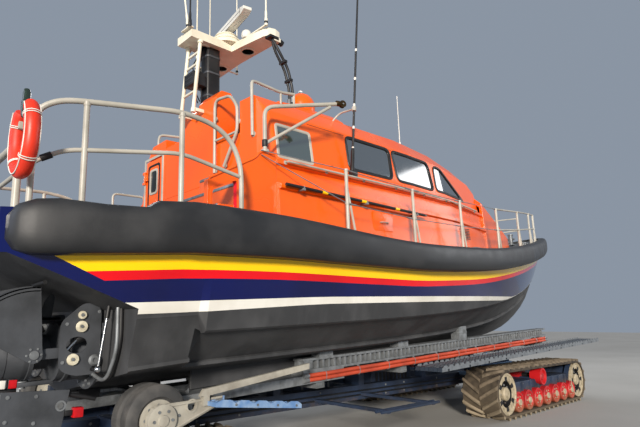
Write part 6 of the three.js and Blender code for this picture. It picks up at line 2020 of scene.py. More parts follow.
@dataclass
class Jets:
    """Two waterjets with their steering nozzles, reversing buckets, rams and anodes."""

    y: float = 0.78
    z: float = 0.5
    wall: float = 1.0197
    pivot_x: float = 0.47
    bucket_x: float = 0.45
    bucket_inner: float = 0.52
    bucket_outer: float = 0.56
    bucket_half: float = 0.36
    bucket_plate: float = 0.025
    # Angles up from aft between which the raised scoop reaches
    bucket_span: tuple = (25, 92)
    # Columns: radius and x of the housing's section
    housing: tuple = (
        (0.0, 1.0197), (0.3, 1.0197), (0.3, 0.9947), (0.285, 0.9897), (0.285, 0.9597), (0.272, 0.9297),
        (0.268, 0.8), (0.278, 0.795), (0.278, 0.765), (0.266, 0.76), (0.265, 0.7), (0.18, 0.67),
        (0.15, 0.645), (0.15, 0.46), (0.12, 0.46), (0.11, 0.6), (0.0, 0.6),
    )
    # Columns: radius and x of the nozzle's section
    tube: tuple = (
        (0.21, 0.5), (0.235, 0.5), (0.235, 0.47), (0.228, 0.465), (0.233, 0.43), (0.233, 0.42), (0.205, 0.3),
        (0.21, 0.295), (0.206, 0.27), (0.198, 0.272), (0.169, 0.13), (0.174, 0.125), (0.172, 0.1),
        (0.14, 0.1), (0.142, 0.12), (0.2, 0.41), (0.21, 0.5),
    )
    cheek: tuple = ((0.64, 0.36), (0.76, 0.3), (0.98, 0.3), (0.98, 0.88), (0.84, 0.93), (0.64, 0.76))
    # Columns: x, height and radius of each anode on the outer cheek
    anodes: tuple = ((0.81, 0.715, 0.05), (0.75, 0.44, 0.05), (0.81, 0.815, 0.036))

    def build(self) -> None:
        """Builds both jets."""
        for side in Side:
            self.body(side)
            self.cheek_and_linkage(side)
            self.nozzle(side)
            self.bucket(side)

    def body(self, side: Side) -> None:
        """Builds the fixed casting: housing, ribs, yokes, arms and rams.

        Args:
            side: side of the boat.
        """
        cy, z, wall = side * self.y, self.z, self.wall
        form = Form().lathe(self.housing, (0, cy, z), FORE, 0, 48)
        form.bolt_ring(0.014, (wall - 0.025, cy, z), AFT, 0.29, 14, 3)
        rib = Form().box((0.0, -0.008, 0.0), (0.024, 0.008, 0.17), 0, 0.003)
        out = Matrix.Translation((0.8, 0, 0.265)) @ Matrix.Rotation(math.pi / 2, 4, "Y")
        form.stamp(rib, [Matrix.Translation((0, cy, z)) @ Matrix.Rotation(math.tau * i / 12, 4, "X") @ out
                         for i in range(12)])
        for up in (-1, 1):
            form.box((0.43, cy - 0.04, z + up * 0.245), (0.72, cy + 0.04, z + up * 0.285), 0, 0.008)
            form.rod((self.pivot_x, cy, z + up * 0.28), (self.pivot_x, cy, z + up * 0.3), 0.03, 3, 18)
        for out in (-1, 1):
            for x, near in ((0.41, 0.322), (0.69, 0.2)):
                form.box((x, cy + out * near, z - 0.045), (0.76, cy + out * 0.35, z + 0.045), 0, 0.01)
            form.rod((self.bucket_x, cy + out * 0.33, z), (self.bucket_x, cy + out * 0.3597, z), 0.045, 0, 24)
            y = cy + out * 0.335
            form.rod((wall - 0.015, y, z + 0.19), (0.79, y, z + 0.1), 0.038, 1, 24, soften=0.004)
            form.rod((wall - 0.05, y, z + 0.176), (wall - 0.02, y, z + 0.189), 0.044, 3, 24)
            form.rod((0.8, y, z + 0.104), (0.72, y, z + 0.02), 0.018, 2, 18)
            form.box((wall - 0.03, y - 0.045, z + 0.14), (wall, y + 0.045, z + 0.24), 0, 0.005)
            hose = [(wall - 0.03, y + out * 0.03, z + 0.27), (0.9, y + out * 0.05, z + 0.28),
                    (0.83, y, z + 0.16)]
            form.tube(bent(hose, 0.06), 0.01, 1, 10)
        form.show(f"jet_casting_{side.label}", [CASTING, BLACK, CHROME, ZINC], "jet_casting",
                  [f"jet_body_{side.label}"])

    def cheek_and_linkage(self, side: Side) -> None:
        """Builds the plate outboard of a jet with its anodes and bolts, and what lies beside it.

        Args:
            side: side of the boat.
        """
        cy = side * self.y
        outward = (0, side, 0)
        form = Form()
        y = cy + side * 0.378
        face = y + side * 0.016
        arch = [(0.78 + 0.09 * c, y, 0.56 + 0.07 * s) for c, s in circle(1, 20)]
        outline = [(x, y, height) for x, height in grown(self.cheek, 0, 0.06)]
        form.plate([outline, arch], (0, side * 0.016, 0))
        for x, height, radius in self.anodes:
            disc = [(0, 0), (0.9, 0), (1.0, 0.008), (0.94, 0.022), (0.45, 0.026), (0.4, 0.02), (0, 0.02)]
            form.lathe([(radius * share, up) for share, up in disc], (x, face, height), outward, 1, 28)
            form.bolts(0.012, [(x, face + side * 0.022, height)], outward, 2)
        cap = [(0, 0), (0.045, 0), (0.05, 0.012), (0.036, 0.03), (0.02, 0.03), (0.018, 0.02), (0, 0.02)]
        form.lathe(cap, (0.93, face, 0.42), outward, 2, 28)
        for x, height in ((0.96, 0.35), (0.96, 0.84), (0.67, 0.42), (0.69, 0.74)):
            form.rod((x, cy + side * 0.3, height), (x, y, height), 0.018, 3, 12)
            form.bolts(0.012, [(x, face, height)], outward, 2)
        self.rods_and_hoses(form, side)
        form.show(f"jet_cheek_and_linkage_{side.label}", [CASTING, ANODE, ZINC, BLACK, CHROME], "jet_casting")

    def rods_and_hoses(self, form: Form, side: Side) -> None:
        """Adds the bright rod, the bent pipes and the bucket's links outboard of a jet.

        Args:
            form: form that takes them.
            side: side of the boat.
        """
        rod_y = side * 1.41
        form.rod((0.95, rod_y, 0.885), (0.88, rod_y, 0.38), 0.012, 4)
        form.rod((0.936, rod_y, 0.78), (0.95, rod_y, 0.885), 0.02, 3)
        form.ball((0.878, rod_y, 0.36), 0.03, 4)
        link = [(0.878, rod_y, 0.36), (0.878, side * 1.25, 0.345), (0.93, side * 1.17, 0.36)]
        form.tube(bent(link, 0.06), 0.014, 3)
        for x, height, run, radius, paint in ((1.0, 0.86, 0.3, 0.02, 3), (0.97, 0.87, 0.36, 0.016, 2)):
            pipe = [(x, 1.55, height), (x, 1.56, height - run), (x - 0.02, 1.4, 0.24), (x - 0.04, 1.16, 0.3)]
            form.tube(bent(sided(pipe, side), 0.12), radius, paint)
        cy = side * self.y
        y = cy + side * 0.12
        for x, tilt in ((0.35, 0.06), (0.58, 0.03)):
            horn = ((x - 0.05, 0.8), (x + 0.06, 0.8), (x + 0.05 + tilt, 0.98), (x + 0.02 + tilt, 1.02),
                    (x, 0.95))
            form.plate([[(px, y, pz) for px, pz in horn]], (0, side * 0.014, 0), 0, 0.003)
            form.box((x - 0.04, cy + side * 0.08, 0.775), (0.72, cy + side * 0.15, 0.805), 0, 0.006)
        form.box((0.7, cy - 0.06, 0.76), (0.78, cy + 0.16, 0.82), 0, 0.006)

    def nozzle(self, side: Side) -> None:
        """Builds the steering nozzle with its rings and bosses.

        Args:
            side: side of the boat.
        """
        cy, x, z = side * self.y, self.pivot_x, self.z
        form = Form().lathe(self.tube, (0, cy, z), FORE, 0, 48)
        for up in (-1, 1):
            form.rod((x, cy, z + up * 0.215), (x, cy, z + up * 0.2447), 0.038, 0, 24)
            form.rod((x, cy, z + up * 0.235), (x, cy, z + up * 0.2445), 0.05, 1, 24)
        form.show(f"jet_nozzle_dressed_{side.label}", [CASTING, ZINC], "jet_casting",
                  [f"jet_nozzle_{side.label}"], f"nozzle_{side.label}")

    def around(self, radius: float, degrees: float) -> Pair:
        """Place in side view about the bucket's pivot, at an angle up from aft."""
        angle = math.radians(180 - degrees)
        return self.bucket_x + radius * math.cos(angle), self.z + radius * math.sin(angle)

    def arc(self, inner: float, outer: float) -> list[Pair]:
        """Outline in side view of a band of the scoop.

        Args:
            inner: its inner radius.
            outer: its outer radius.

        Returns:
            Points of the outline.
        """
        low, high = self.bucket_span
        angles = [low + (high - low) * i / 16 for i in range(17)]
        return [self.around(inner, a) for a in angles] + [self.around(outer, a) for a in reversed(angles)]

    def bucket(self, side: Side) -> None:
        """Builds the reversing bucket: a smooth scoop between two ribbed cheeks.

        Args:
            side: side of the boat.
        """
        cy, outer, half, thick = side * self.y, self.bucket_outer, self.bucket_half, self.bucket_plate
        shell = [(x, cy - half - thick, z) for x, z in self.arc(self.bucket_inner, outer)]
        form = Form().plate([shell], (0, 2 * (half + thick), 0))
        for share in (-0.66, -0.33, 0.0, 0.33, 0.66):
            y = cy + share * half - 0.007
            form.plate([[(x, y, z) for x, z in self.arc(outer - 0.002, outer + 0.012)]], (0, 0.014, 0))
        rim = self.arc(outer, outer)[:17]
        hub = [self.around(0.07, a) for a in (150, 180, 210, 240, 270, 300)]
        for out in (-1, 1):
            y = cy + out * half
            form.plate([[(x, y, z) for x, z in rim + hub]], (0, out * thick, 0))
            face = y + out * thick
            edge = [(x, face, z) for x, z in self.arc(outer - 0.03, outer - 0.012)]
            form.plate([edge], (0, out * 0.008, 0))
            form.rod((self.bucket_x, face, self.z), (self.bucket_x, face + out * 0.012, self.z), 0.036, 1, 24)
            form.bolt_ring(0.008, (self.bucket_x, face + out * 0.001, self.z), (0, out, 0), 0.055, 6, 1)
        form.show(f"jet_bucket_dressed_{side.label}", [CASTING, ZINC], "jet_casting",
                  [f"jet_bucket_{side.label}"], f"bucket_{side.label}", round_edges=0.004, crease=30)


@dataclass
class Cradle:
    """Galvanised cradle with slotted channels, pads and hoses, drawn in the boat's frame."""

    x0: float = 3.3
    x1: float = 10.4
    outer: float = 1.33
    hose_y: float = 1.34
    hose_heights: tuple = (0.02, -0.03)
    hose_radius: float = 0.0245
    clips: int = 11
    bars: int = 69
    crosses: tuple = (1.78, 3.6, 5.3, 7.0, 8.7, 10.2)
    pads: tuple = (3.7, 5.3, 7.0)
    pad_y: float = 1.24

    def build(self) -> None:
        """Builds the frame, what is bolted to it, the hoses and the bilge keels."""
        form = Form.of_node("cradle_frame")
        form.paint(1, lambda middle, normal: middle.z > 0.37 or (abs(middle.y) < 0.14 and middle.z > -0.02))
        form.show("cradle_frame_dressed", [ZINC, BLACK], "galvanised", ["cradle_frame"], round_edges=0.004,
                  crease=30)
        self.fittings()
        self.hoses()
        for side in Side:
            keel = Form.of_node(f"bilge_keel_{side.label}")
            keel.show(f"bilge_keel_dressed_{side.label}", [BOTTOM], "bottom_paint",
                      [f"bilge_keel_{side.label}"], round_edges=0.008)

    def fittings(self) -> None:
        """Builds the hose clips, the bars of the side channels, bolts, gussets and pad plates."""
        form = Form()
        for side in Side:
            outward = (0, side, 0)
            for x in (self.x0 + 0.35 + 0.62 * i for i in range(self.clips)):
                y = side * 1.332
                form.box((x - 0.018, y - 0.004, -0.062), (x + 0.018, y + 0.004, 0.062), 0, 0.003)
                form.tube([(x, side * (self.hose_y + 0.027 * dy), -0.005 + 0.055 * dz)
                           for dy, dz in circle(1, 20)], 0.005, 0, 8, closed=True)
            for x in (self.x0 + 0.15 + 0.1 * i for i in range(self.bars)):
                form.box((x - 0.017, side * 1.2448, 0.087), (x + 0.017, side * 1.318, 0.188), 0, 0.003)
            form.bolts(0.011, [(self.x0 + 0.1 + 0.31 * i, side * self.outer, z)
                               for i in range(23) for z in (0.074, 0.201)], outward)
            for x in self.crosses:
                form.bolts(0.014, [(x + dx, side * 1.3, z) for dx in (-0.045, 0.045) for z in (-0.12, -0.06)],
                           outward)
                for px in (x - 0.075, x + 0.075):
                    gusset = sided(((px, 1.05, -0.03), (px, 1.2, -0.03), (px, 1.2, 0.06)), side)
                    form.plate([gusset], (0.008, 0, 0))
            y = side * self.pad_y
            for x in self.pads:
                form.box((x - 0.125, y - 0.085, 0.3), (x + 0.125, y + 0.085, 0.335), 0, 0.004)
        form.show("cradle_bolts_and_clips", [ZINC], "galvanised")

    def hoses(self) -> None:
        """Builds the two sleeved hoses on each side, with a slight waver and their end fittings."""
        form = Form()
        for side in Side:
            for z in self.hose_heights:
                path = [(self.x0 + 0.005 + 0.25 * i, side * (self.hose_y + 0.0015 * math.sin(i * 2.1)),
                         z + 0.0015 * math.cos(i * 1.7)) for i in range(28)]
                y = side * self.hose_y
                form.tube([*path, (self.x1 + 0.002, y, z)], self.hose_radius, 0, 16)
                for x in (self.x0 - 0.01, self.x1 - 0.09):
                    form.rod((x, y, z), (x + 0.08, y, z), 0.03, 1, soften=0.004)
        form.show("cradle_hoses", [HOSE, ZINC], "rail_metal")


@dataclass
class Chassis:
    """Chassis with its end plates, winch, low bars, steps and guide wheel carriers, drawn level."""

    guide: tuple = (1.35, 0.76)
    hub_face: float = 1.65
    plate_y: float = 1.637
    beam_y: float = 0.48
    winch_y: float = 1.2
    winch_z: float = 0.94
    wire_radius: float = 0.066
    wire_turns: int = 10
    # Aft end and height of the aft step, and its slope
    step: tuple = (1.78, 0.88, -0.1154)
    # Columns: radius and number of the finish of each hose that hangs from the end plate
    end_hoses: tuple = (
        (0.009, 0), (0.011, 4), (0.013, 3), (0.009, 0), (0.011, 4), (0.013, 0), (0.009, 5))

    def step_z(self, x: float) -> float:
        """Height of the aft step's top."""
        start, height, slope = self.step
        return height + slope * (x - start)

    def build(self) -> None:
        """Dresses the frame by its parts and adds what is bolted to it."""
        form = Form.of_node("chassis", datum=Datum.CARRIAGE)
        form.paint(1, lambda middle, normal: 1.2 < middle.x < 2.02 and abs(middle.y) > 1.2
                   and 0.6 < middle.z < 0.925)
        form.paint(2, lambda middle, normal: 1.77 < middle.x < 2.83 and abs(middle.y) > 1.59
                   and middle.z > 0.7 and abs(middle.z - self.step_z(middle.x)) < 0.05)
        form.paint(1, lambda middle, normal: 1.69 < middle.x < 3.07 and 1.63 < abs(middle.y) < 1.69
                   and middle.z > 0.92)
        form.paint(3, lambda middle, normal: middle.x < 0.7 and 1.28 < abs(middle.y) < 1.31)
        form.show("chassis_dressed", [CHASSIS, PALE_STEEL, STEP_BLUE, CASTING], "chassis_paint", ["chassis"],
                  datum=Datum.CARRIAGE, round_edges=0.006, crease=30)
        for side in Side:
            self.guide_carrier(side)
            self.step_studs(side)
            self.end_plate(side)
            self.winch(side)
            self.bolts_and_pipes(side)
        self.under_frame()

    def guide_carrier(self, side: Side) -> None:
        """Builds the hub cover with six bolts and the ribs and bolts of its plate.

        Args:
            side: side of the carriage.
        """
        x, z = self.guide
        face, plate, outward = side * self.hub_face, side * self.plate_y, (0, side, 0)
        cover = [(0, 0), (0.128, 0), (0.134, 0.006), (0.134, 0.02), (0.1, 0.03), (0.05, 0.03), (0.045, 0.045),
                 (0, 0.048)]
        form = Form().lathe(cover, (x, face, z), outward, 0, 40)
        form.bolt_ring(0.014, (x, face + side * 0.026, z), outward, 0.085, 6, 1)
        for za, zb in ((0.87, 0.895), (0.65, 0.858)):
            form.rod((1.42, plate, za), (1.96, plate, zb), 0.012, 0, 10)
        form.collar(0.045, 0.06, 0.01, (1.64, plate, 0.85), outward, 0, 28)
        form.bolts(0.012, [(1.9, plate, 0.875), (1.9, plate, 0.855), (1.52, plate, 0.78)], outward, 1)
        form.bolts(0.02, [(1.94, plate, 0.87)], outward, 1)
        form.show(f"guide_hub_cover_{side.label}", [PALE_STEEL, ZINC], "galvanised", datum=Datum.CARRIAGE)

    def step_studs(self, side: Side) -> None:
        """Builds the raised studs, the bracket and the bolts of the aft step.

        Args:
            side: side of the carriage.
        """
        form = Form()
        stud = [(0.012, 0), (0.016, 0.004), (0.02, 0), (0.012, 0)]
        for x in (1.82 + 0.085 * i for i in range(12)):
            for y in (1.64, 1.7, 1.76):
                form.lathe(stud, (x, side * y, self.step_z(x)), UP, 0, 10)
        form.box((2.3, side * 1.7 - 0.02, 0.76), (2.36, side * 1.7 + 0.02, 0.79), 1, 0.004)
        places = [(2.0 + 0.25 * i, side * 1.82, 0.84 - 0.0288 * i) for i in range(4)]
        form.bolts(0.01, places, (0, side, 0), 1)
        form.show(f"aft_step_studs_{side.label}", [STEP_BLUE, ZINC], "galvanised", datum=Datum.CARRIAGE)

    def end_plate(self, side: Side) -> None:
        """Builds lamps, reflectors, hoses and pipes on the plate at the aft end.

        Args:
            side: side of the carriage.
        """
        y, outward = side * 1.306, (0, side, 0)
        form = Form()
        behind, glass = y - side * 0.1, y - side * 0.068
        for x, paint in ((0.2, 1), (0.28, 2)):
            form.box((x - 0.034, behind - 0.03, 1.07), (x + 0.034, behind + 0.03, 1.15), 0, 0.008)
            form.box((x - 0.028, glass - 0.003, 1.078), (x + 0.028, glass + 0.006, 1.142), paint, 0.003)
        form.box((0.2, y - side * 0.12 - 0.02, 1.03), (0.32, y - side * 0.12 + 0.02, 1.075), 0, 0.004)
        form.box((0.72, y - 0.05, 0.82), (0.8, y + 0.02, 0.9), 2, 0.008)
        form.box((0.66, y - 0.03, 0.84), (0.72, y, 0.88), 0, 0.004)
        form.rod((0.57, y - side * 0.04, 1.03), (0.92, y - side * 0.04, 0.945), 0.018, 0, 14)
        form.bolts(0.012, [(0.24, y, 0.84), (0.24, y, 1.02), (0.44, y, 1.01), (0.44, y, 0.81)], outward, 4)
        form.collar(0.028, 0.042, 0.008, (0.63, y, 0.92), outward, 4, 24)
        for i, (radius, paint) in enumerate(self.end_hoses):
            x, low = 0.2 + 0.045 * i, 0.55 + 0.03 * math.sin(i * 1.9)
            path = [(x, y - side * 0.05, 0.82), (x + 0.01, y, 0.72), (x - 0.02, y - side * 0.02, low),
                    (x + 0.05, y - side * 0.2, low - 0.06), (x + 0.08, side * 0.5, 0.55)]
            form.tube(bent(path, 0.05), radius, paint, 10)
        near = y - side * 0.08
        for x, paint in ((0.2, 0), (0.31, 4), (0.42, 5), (0.53, 0)):
            form.box((x, near - 0.03, 0.74), (x + 0.07, near + 0.03, 0.8), paint, 0.006)
        form.show(f"end_plate_lamps_and_hoses_{side.label}", [BLACK, WHITE, LAMP_RED, HOSE, ZINC, BRONZE],
                  "chassis_paint", datum=Datum.CARRIAGE)

    def winch(self, side: Side) -> None:
        """Builds the blue winch drum, its frame and the wire over the fore track.

        Args:
            side: side of the carriage.
        """
        form = Form()
        y, z = side * self.winch_y, self.winch_z
        for x in (7.95, 8.6):
            form.box((x - 0.02, y - 0.12, 0.86), (x + 0.02, y + 0.12, 1.0), 0, 0.006)
        drum = [(0, 0), (0.12, 0), (0.12, 0.02), (0.055, 0.03), (0.055, 0.59), (0.12, 0.6), (0.12, 0.62),
                (0, 0.62)]
        form.lathe(drum, (7.965, y, z), FORE)
        coil = circle(self.wire_radius, 16) * self.wire_turns
        wire = [(8.02 + 0.5 * i / 160, y + dy, z + dz) for i, (dy, dz) in enumerate([*coil, coil[0]])]
        form.tube(wire, 0.011, 1, 8)
        form.box((7.6, y - 0.1, 0.88), (7.9, y + 0.1, 1.02), 0, 0.02)
        form.rod((7.9, y, z), (7.97, y, z), 0.05, 1, 20)
        form.box((7.5, y - 0.14, 0.85), (8.7, y + 0.14, 0.875), 0, 0.005)
        form.box((8.2, side * 0.47, 0.6), (8.3, side * 1.15, 0.66), 0, 0.006)
        form.box((8.2, side * 1.07, 0.6), (8.3, side * 1.15, 0.87), 0, 0.006)
        form.show(f"winch_{side.label}", [STEP_BLUE, ZINC], "chassis_paint", datum=Datum.CARRIAGE)

    def bolts_and_pipes(self, side: Side) -> None:
        """Builds the towing lug at the fore end, the bolts of the frame and the pipes along its beam.

        Args:
            side: side of the carriage.
        """
        form = Form()
        y = side * 0.25
        form.plate([[(11.5, y, 0.46), (11.66, y, 0.5), (11.66, y, 0.57), (11.5, y, 0.61)],
                    [(11.6 + dx, y, 0.535 + dz) for dx, dz in circle(0.022, 16)]], (0, side * 0.03, 0))
        for x, axis in ((11.5, FORE), (0.15, AFT)):
            form.bolts(0.014, [(x, side * dy, z) for dy in (0.08, 0.42) for z in (0.47, 0.6)], axis, 1)
        beam = side * self.beam_y
        places = (0.6, 1.2, 2.4, 3.0, 4.4, 5.9, 6.4, 7.4, 9.5, 11.0)
        form.bolts(0.013, [(x, beam, z) for x in places for z in (0.47, 0.6)], (0, side, 0), 1)
        pipe = beam + side * 0.014
        for z in (0.5, 0.56):
            form.rod((1.9, pipe, z), (8.6, pipe, z), 0.011, 2, 12)
        form.show(f"chassis_bolts_and_pipes_{side.label}", [CHASSIS, ZINC, BLACK], "chassis_paint",
                  datum=Datum.CARRIAGE)

    def under_frame(self) -> None:
        """Builds the power pack with its louvres and the air tanks with their straps."""
        form = Form()
        form.box((5.75, -0.31, 0.47), (6.85, 0.31, 0.84), 0, 0.03)
        for x in (5.85 + 0.1 * i for i in range(9)):
            form.box((x, -0.318, 0.52), (x + 0.06, 0.318, 0.78), 1, 0.004)
        form.box((5.72, -0.33, 0.44), (6.88, 0.33, 0.47), 0, 0.005)
        for x in (2.3, 4.2):
            form.rod((x, 0.0, 0.62), (x + 0.85, 0.0, 0.62), 0.13, 0, 28, soften=0.03)
            for strap in (x + 0.15, x + 0.7):
                form.collar(0.13, 0.138, 0.04, (strap, 0, 0.62), FORE, 2, 28)
                form.box((strap, -0.335, 0.47), (strap + 0.04, 0.335, 0.51), 2, 0.004)
        form.show("power_pack_and_tanks", [CHASSIS, BLACK, ZINC], "chassis_paint", datum=Datum.CARRIAGE)


class End(Enum):
    """End of the carriage that a crawler unit carries."""

    FORE = "fore"
    AFT = "aft"


@dataclass(frozen=True)
class TrackUnit:
    """Sizes of one crawler unit."""

    end: End
    outer: float
    width: float
    sprocket: float
    idler: float
    radius: float
    belt: float
    lug: float
    lug_step: float
    sweep: float
    rollers: tuple
    roller_radius: float
    beam_low: float
    beam_high: float
    ribs: int
    hub_bolt: float
    slot: str

    @property
    def straight(self) -> float:
        """Distance between the drums."""
        return self.idler - self.sprocket

    @property
    def clear(self) -> float:
        """Radius of the drums inside the belt."""
        return self.radius - self.belt - self.lug - 0.004


@dataclass
class Tracks:
    """Rubber crawler belts with their drums, rollers and frames."""

    units: tuple = (
        TrackUnit(End.FORE, 1.8, 0.64, 7.5, 10.7, 0.42, 0.045, 0.035, 0.2, 0.2,
                  tuple(7.94 + 0.403 * i for i in range(7)), 0.17, 0.33, 0.56, 8, 0.014, "gear_paint"),
        TrackUnit(End.AFT, 1.13, 0.56, 0.56, 2.5, 0.235, 0.04, 0.03, 0.13, 0.12,
                  (1.0, 1.4, 1.8, 2.15), 0.11, 0.19, 0.3, 4, 0.009, "chassis_paint"),
    )
    return_wheel: tuple = (9.0, 0.6, 0.15)
    axle_x: float = 8.9
    beam_y: float = 0.4806
    # Radius of the drums for which the hubs are drawn
    hub_scale: float = 0.335

    def build(self) -> None:
        """Builds both units on both sides."""
        for unit in self.units:
            for side in Side:
                self.belt(unit, side)
                self.gear(unit, side)

    @staticmethod
    def loop(unit: TrackUnit, grow: float, steps: int = 24) -> list[Pair]:
        """Outline of the belt in side view.

        Args:
            unit: the crawler unit.
            grow: distance that the outline is grown by.
            steps: steps round each drum.

        Returns:
            Points of the outline.
        """
        points = []
        for centre, start in ((unit.idler, -90), (unit.sprocket, 90)):
            for i in range(steps + 1):
                angle = math.radians(start + 180 * i / steps)
                points.append((centre + (unit.radius + grow) * math.cos(angle),
                               unit.radius + (unit.radius + grow) * math.sin(angle)))
        return points

    @staticmethod
    def place(unit: TrackUnit, along: float) -> Matrix:
        """Place on the loop.

        Args:
            unit: the crawler unit.
            along: distance along the loop.

        Returns:
            The place, with its z away from the belt.
        """
        rim = math.pi * unit.radius
        half = unit.straight + rim
        along %= 2 * half
        back = along >= half
        rest = along - half * back
        if rest < unit.straight:
            x, z = (unit.idler - rest, 2 * unit.radius) if back else (unit.sprocket + rest, 0.0)
            turn = 0.0 if back else math.pi
        else:
            angle = (rest - unit.straight) / unit.radius - math.pi / 2 + math.pi * back
            x = (unit.sprocket if back else unit.idler) + unit.radius * math.cos(angle)
            z, turn = unit.radius * (1 + math.sin(angle)), math.pi / 2 - angle
        return Matrix.Translation((x, 0, z)) @ Matrix.Rotation(turn, 4, "Y")

    def lug(self, unit: TrackUnit, along: float, y_near: float, y_far: float) -> Form:
        """One half of a chevron, bent round the loop, its outer end trailing by the sweep.

        Args:
            unit: the crawler unit.
            along: distance of its inner end along the loop.
            y_near: place across of its inner end.
            y_far: place across of its outer end.

        Returns:
            The lug.
        """
        foot, half = -unit.lug - 0.012, 0.036
        section = ((-half, foot), (-0.72 * half, -0.01), (-0.45 * half, -0.0006), (0.45 * half, -0.0006),
                   (0.72 * half, -0.01), (half, foot))
        rings = []
        for share in (i / 5 for i in range(6)):
            place = self.place(unit, along - unit.sweep * share)
            y = y_near + (y_far - y_near) * share
            rings.append([place @ Vector((x, y, z)) for x, z in section])
        return Form().loft(rings)

    def belt(self, unit: TrackUnit, side: Side) -> None:
        """Builds the belt with two rows of lugs, its edges and its inner teeth.

        Args:
            unit: the crawler unit.
            side: side of the carriage.
        """
        y0, y1 = sorted((side * unit.outer, side * (unit.outer - unit.width)))
        outer, inner, edge = -unit.lug, -unit.lug - unit.belt, -unit.lug - 0.012
        section = ((y0, inner), (y0, edge), (y0 + 0.012, outer), (y1 - 0.012, outer), (y1, edge), (y1, inner),
                   (y0, inner))
        rings = [[(x, y, z) for x, z in self.loop(unit, grow)] for y, grow in section]
        form = Form().loft(rings, 0, caps=False).merge()
        middle = (y0 + y1) / 2
        whole = 2 * (unit.straight + math.pi * unit.radius)
        count = round(whole / unit.lug_step)
        for i in range(count):
            for shift, near, far in ((0.0, middle - 0.012, y0 + 0.003), (0.5, middle + 0.012, y1 - 0.003)):
                form.stamp(self.lug(unit, whole * (i + shift) / count, near, far), [Matrix()], 1)
        tooth = Form().box((-0.03, middle - 0.03, inner - 0.03), (0.03, middle + 0.03, inner + 0.005), 0,
                           0.006)
        form.stamp(tooth, [self.place(unit, whole * i / count) for i in range(count)], 0)
        name = f"{unit.end.value}_{side.label}"
        form.show(f"track_belt_{name}", [TRACK_MUD, TRACK_LUG], "track_rubber", [f"track_{name}"],
                  datum=Datum.CARRIAGE, crease=30)

    def gear(self, unit: TrackUnit, side: Side) -> None:
        """Builds drums, rollers, frame and axle of one unit.

        Args:
            unit: the crawler unit.
            side: side of the carriage.
        """
        form = Form()
        face, back = side * (unit.outer - 0.02), side * (unit.outer + 0.02 - unit.width)
        self.drums(form, unit, side, face)
        self.rollers(form, unit, side, (face, back))
        self.beam(form, unit, side)
        if unit.end is End.FORE:
            self.fore_gear(form, unit, side, (face, back))
        else:
            form.box((1.4, side * self.beam_y, 0.2), (1.64, side * 0.7, 0.29), 1, 0.01)
            form.box((1.4, side * self.beam_y, 0.2), (1.64, side * 0.555, 0.56), 1, 0.01)
        name = f"{unit.end.value}_{side.label}"
        form.show(f"running_gear_dressed_{name}", [ROLLER_RED, CHASSIS, ZINC, HUB_TAN, BLACK], unit.slot,
                  [f"running_gear_{name}"], datum=Datum.CARRIAGE, crease=32)

    def drums(self, form: Form, unit: TrackUnit, side: Side, face: float) -> None:
        """Adds the sprocket and the idler: dished faces, a hub and eight bolts, with thin black plates as
        painted shade where the slots would open.

        Args:
            form: form that takes them.
            unit: the crawler unit.
            side: side of the carriage.
            face: place across of their outer faces.
        """
        clear, deep, inward = unit.clear, unit.width - 0.04, (0, -side, 0)
        dish = [(0, 0.09), (clear * 0.6, 0.09), (clear * 0.64, 0.03)]
        rim = [(clear * 0.64, 0.03), (clear * 0.66, 0.012), (clear * 0.9, 0.012), (clear * 0.93, 0.0),
               (clear, 0.0), (clear, 0.05)]
        barrel = [(clear, 0.05), (clear, 0.15), (clear * 0.84, 0.16), (clear * 0.84, deep - 0.16),
                  (clear, deep - 0.15), (clear, deep), (clear * 0.4, deep), (0, deep - 0.02)]
        hub_near, hub_far = 0.09 * clear / self.hub_scale, 0.11 * clear / self.hub_scale
        hub = [(0, 0), (hub_near, 0), (hub_far, 0.02), (hub_far, 0.07), (0, 0.07)]
        slot = ((-0.1, 0.6), (0.1, 0.6), (0.13, 0.82), (-0.13, 0.82))
        slot_outline = [(x, 0, z) for x, z in grown([(clear * a, clear * b) for a, b in slot], 0, 0.02)]
        for x, phase in ((unit.sprocket, 0.0), (unit.idler, 0.5)):
            centre = (x, face, unit.radius)
            for profile, paint, steps in ((dish, 4, 48), (rim, 3, 48), (barrel, 1, 48), (hub, 3, 32)):
                form.lathe(profile, centre, inward, paint, steps)
            form.bolt_ring(unit.hub_bolt, (x, face - side * 0.055, unit.radius), (0, side, 0), clear * 0.42,
                           8, 2)
            # Painted shade: each slot is a thin black plate on the face, standing for the dark seen through
            # an opening.
            for i in range(6):
                cover = Form().plate([slot_outline], (0, 0.006, 0), 4)
                form.stamp(cover, [Matrix.Translation((x, face - side * 0.0125 - 0.003, unit.radius))
                                   @ Matrix.Rotation(math.tau * (i + phase) / 6, 4, "Y")])

    def rollers(self, form: Form, unit: TrackUnit, side: Side, faces: Pair) -> None:
        """Adds the pairs of rollers on their axles, with hub caps and bolts.

        Args:
            form: form that takes them.
            unit: the crawler unit.
            side: side of the carriage.
            faces: places across of the outer and the inner faces.
        """
        face, back = faces
        radius = unit.roller_radius
        floor = unit.belt + unit.lug + 0.0003 + radius
        wheel = [(0, 0), (radius * 0.36, 0), (radius * 0.42, 0.012), (radius * 0.7, 0.02),
                 (radius * 0.76, 0.004), (radius - 0.01, 0.0), (radius, 0.012), (radius, 0.188),
                 (radius - 0.01, 0.2), (0, 0.2)]
        cap = [(0, 0.02), (radius * 0.3, 0.018), (radius * 0.34, 0.0), (radius * 0.34, -0.03)]
        for x in unit.rollers:
            for y, way in ((face, -side), (back, side)):
                form.lathe(wheel, (x, y, floor), (0, way, 0), 0, 36)
            form.rod((x, face - side * 0.1, floor), (x, back + side * 0.1, floor), radius * 0.45, 4, 20)
            form.lathe(cap, (x, face, floor), (0, side, 0), 3, 24)
            form.bolt_ring(radius * 0.06, (x, face - side * 0.012, floor), (0, side, 0), radius * 0.55, 6, 3)

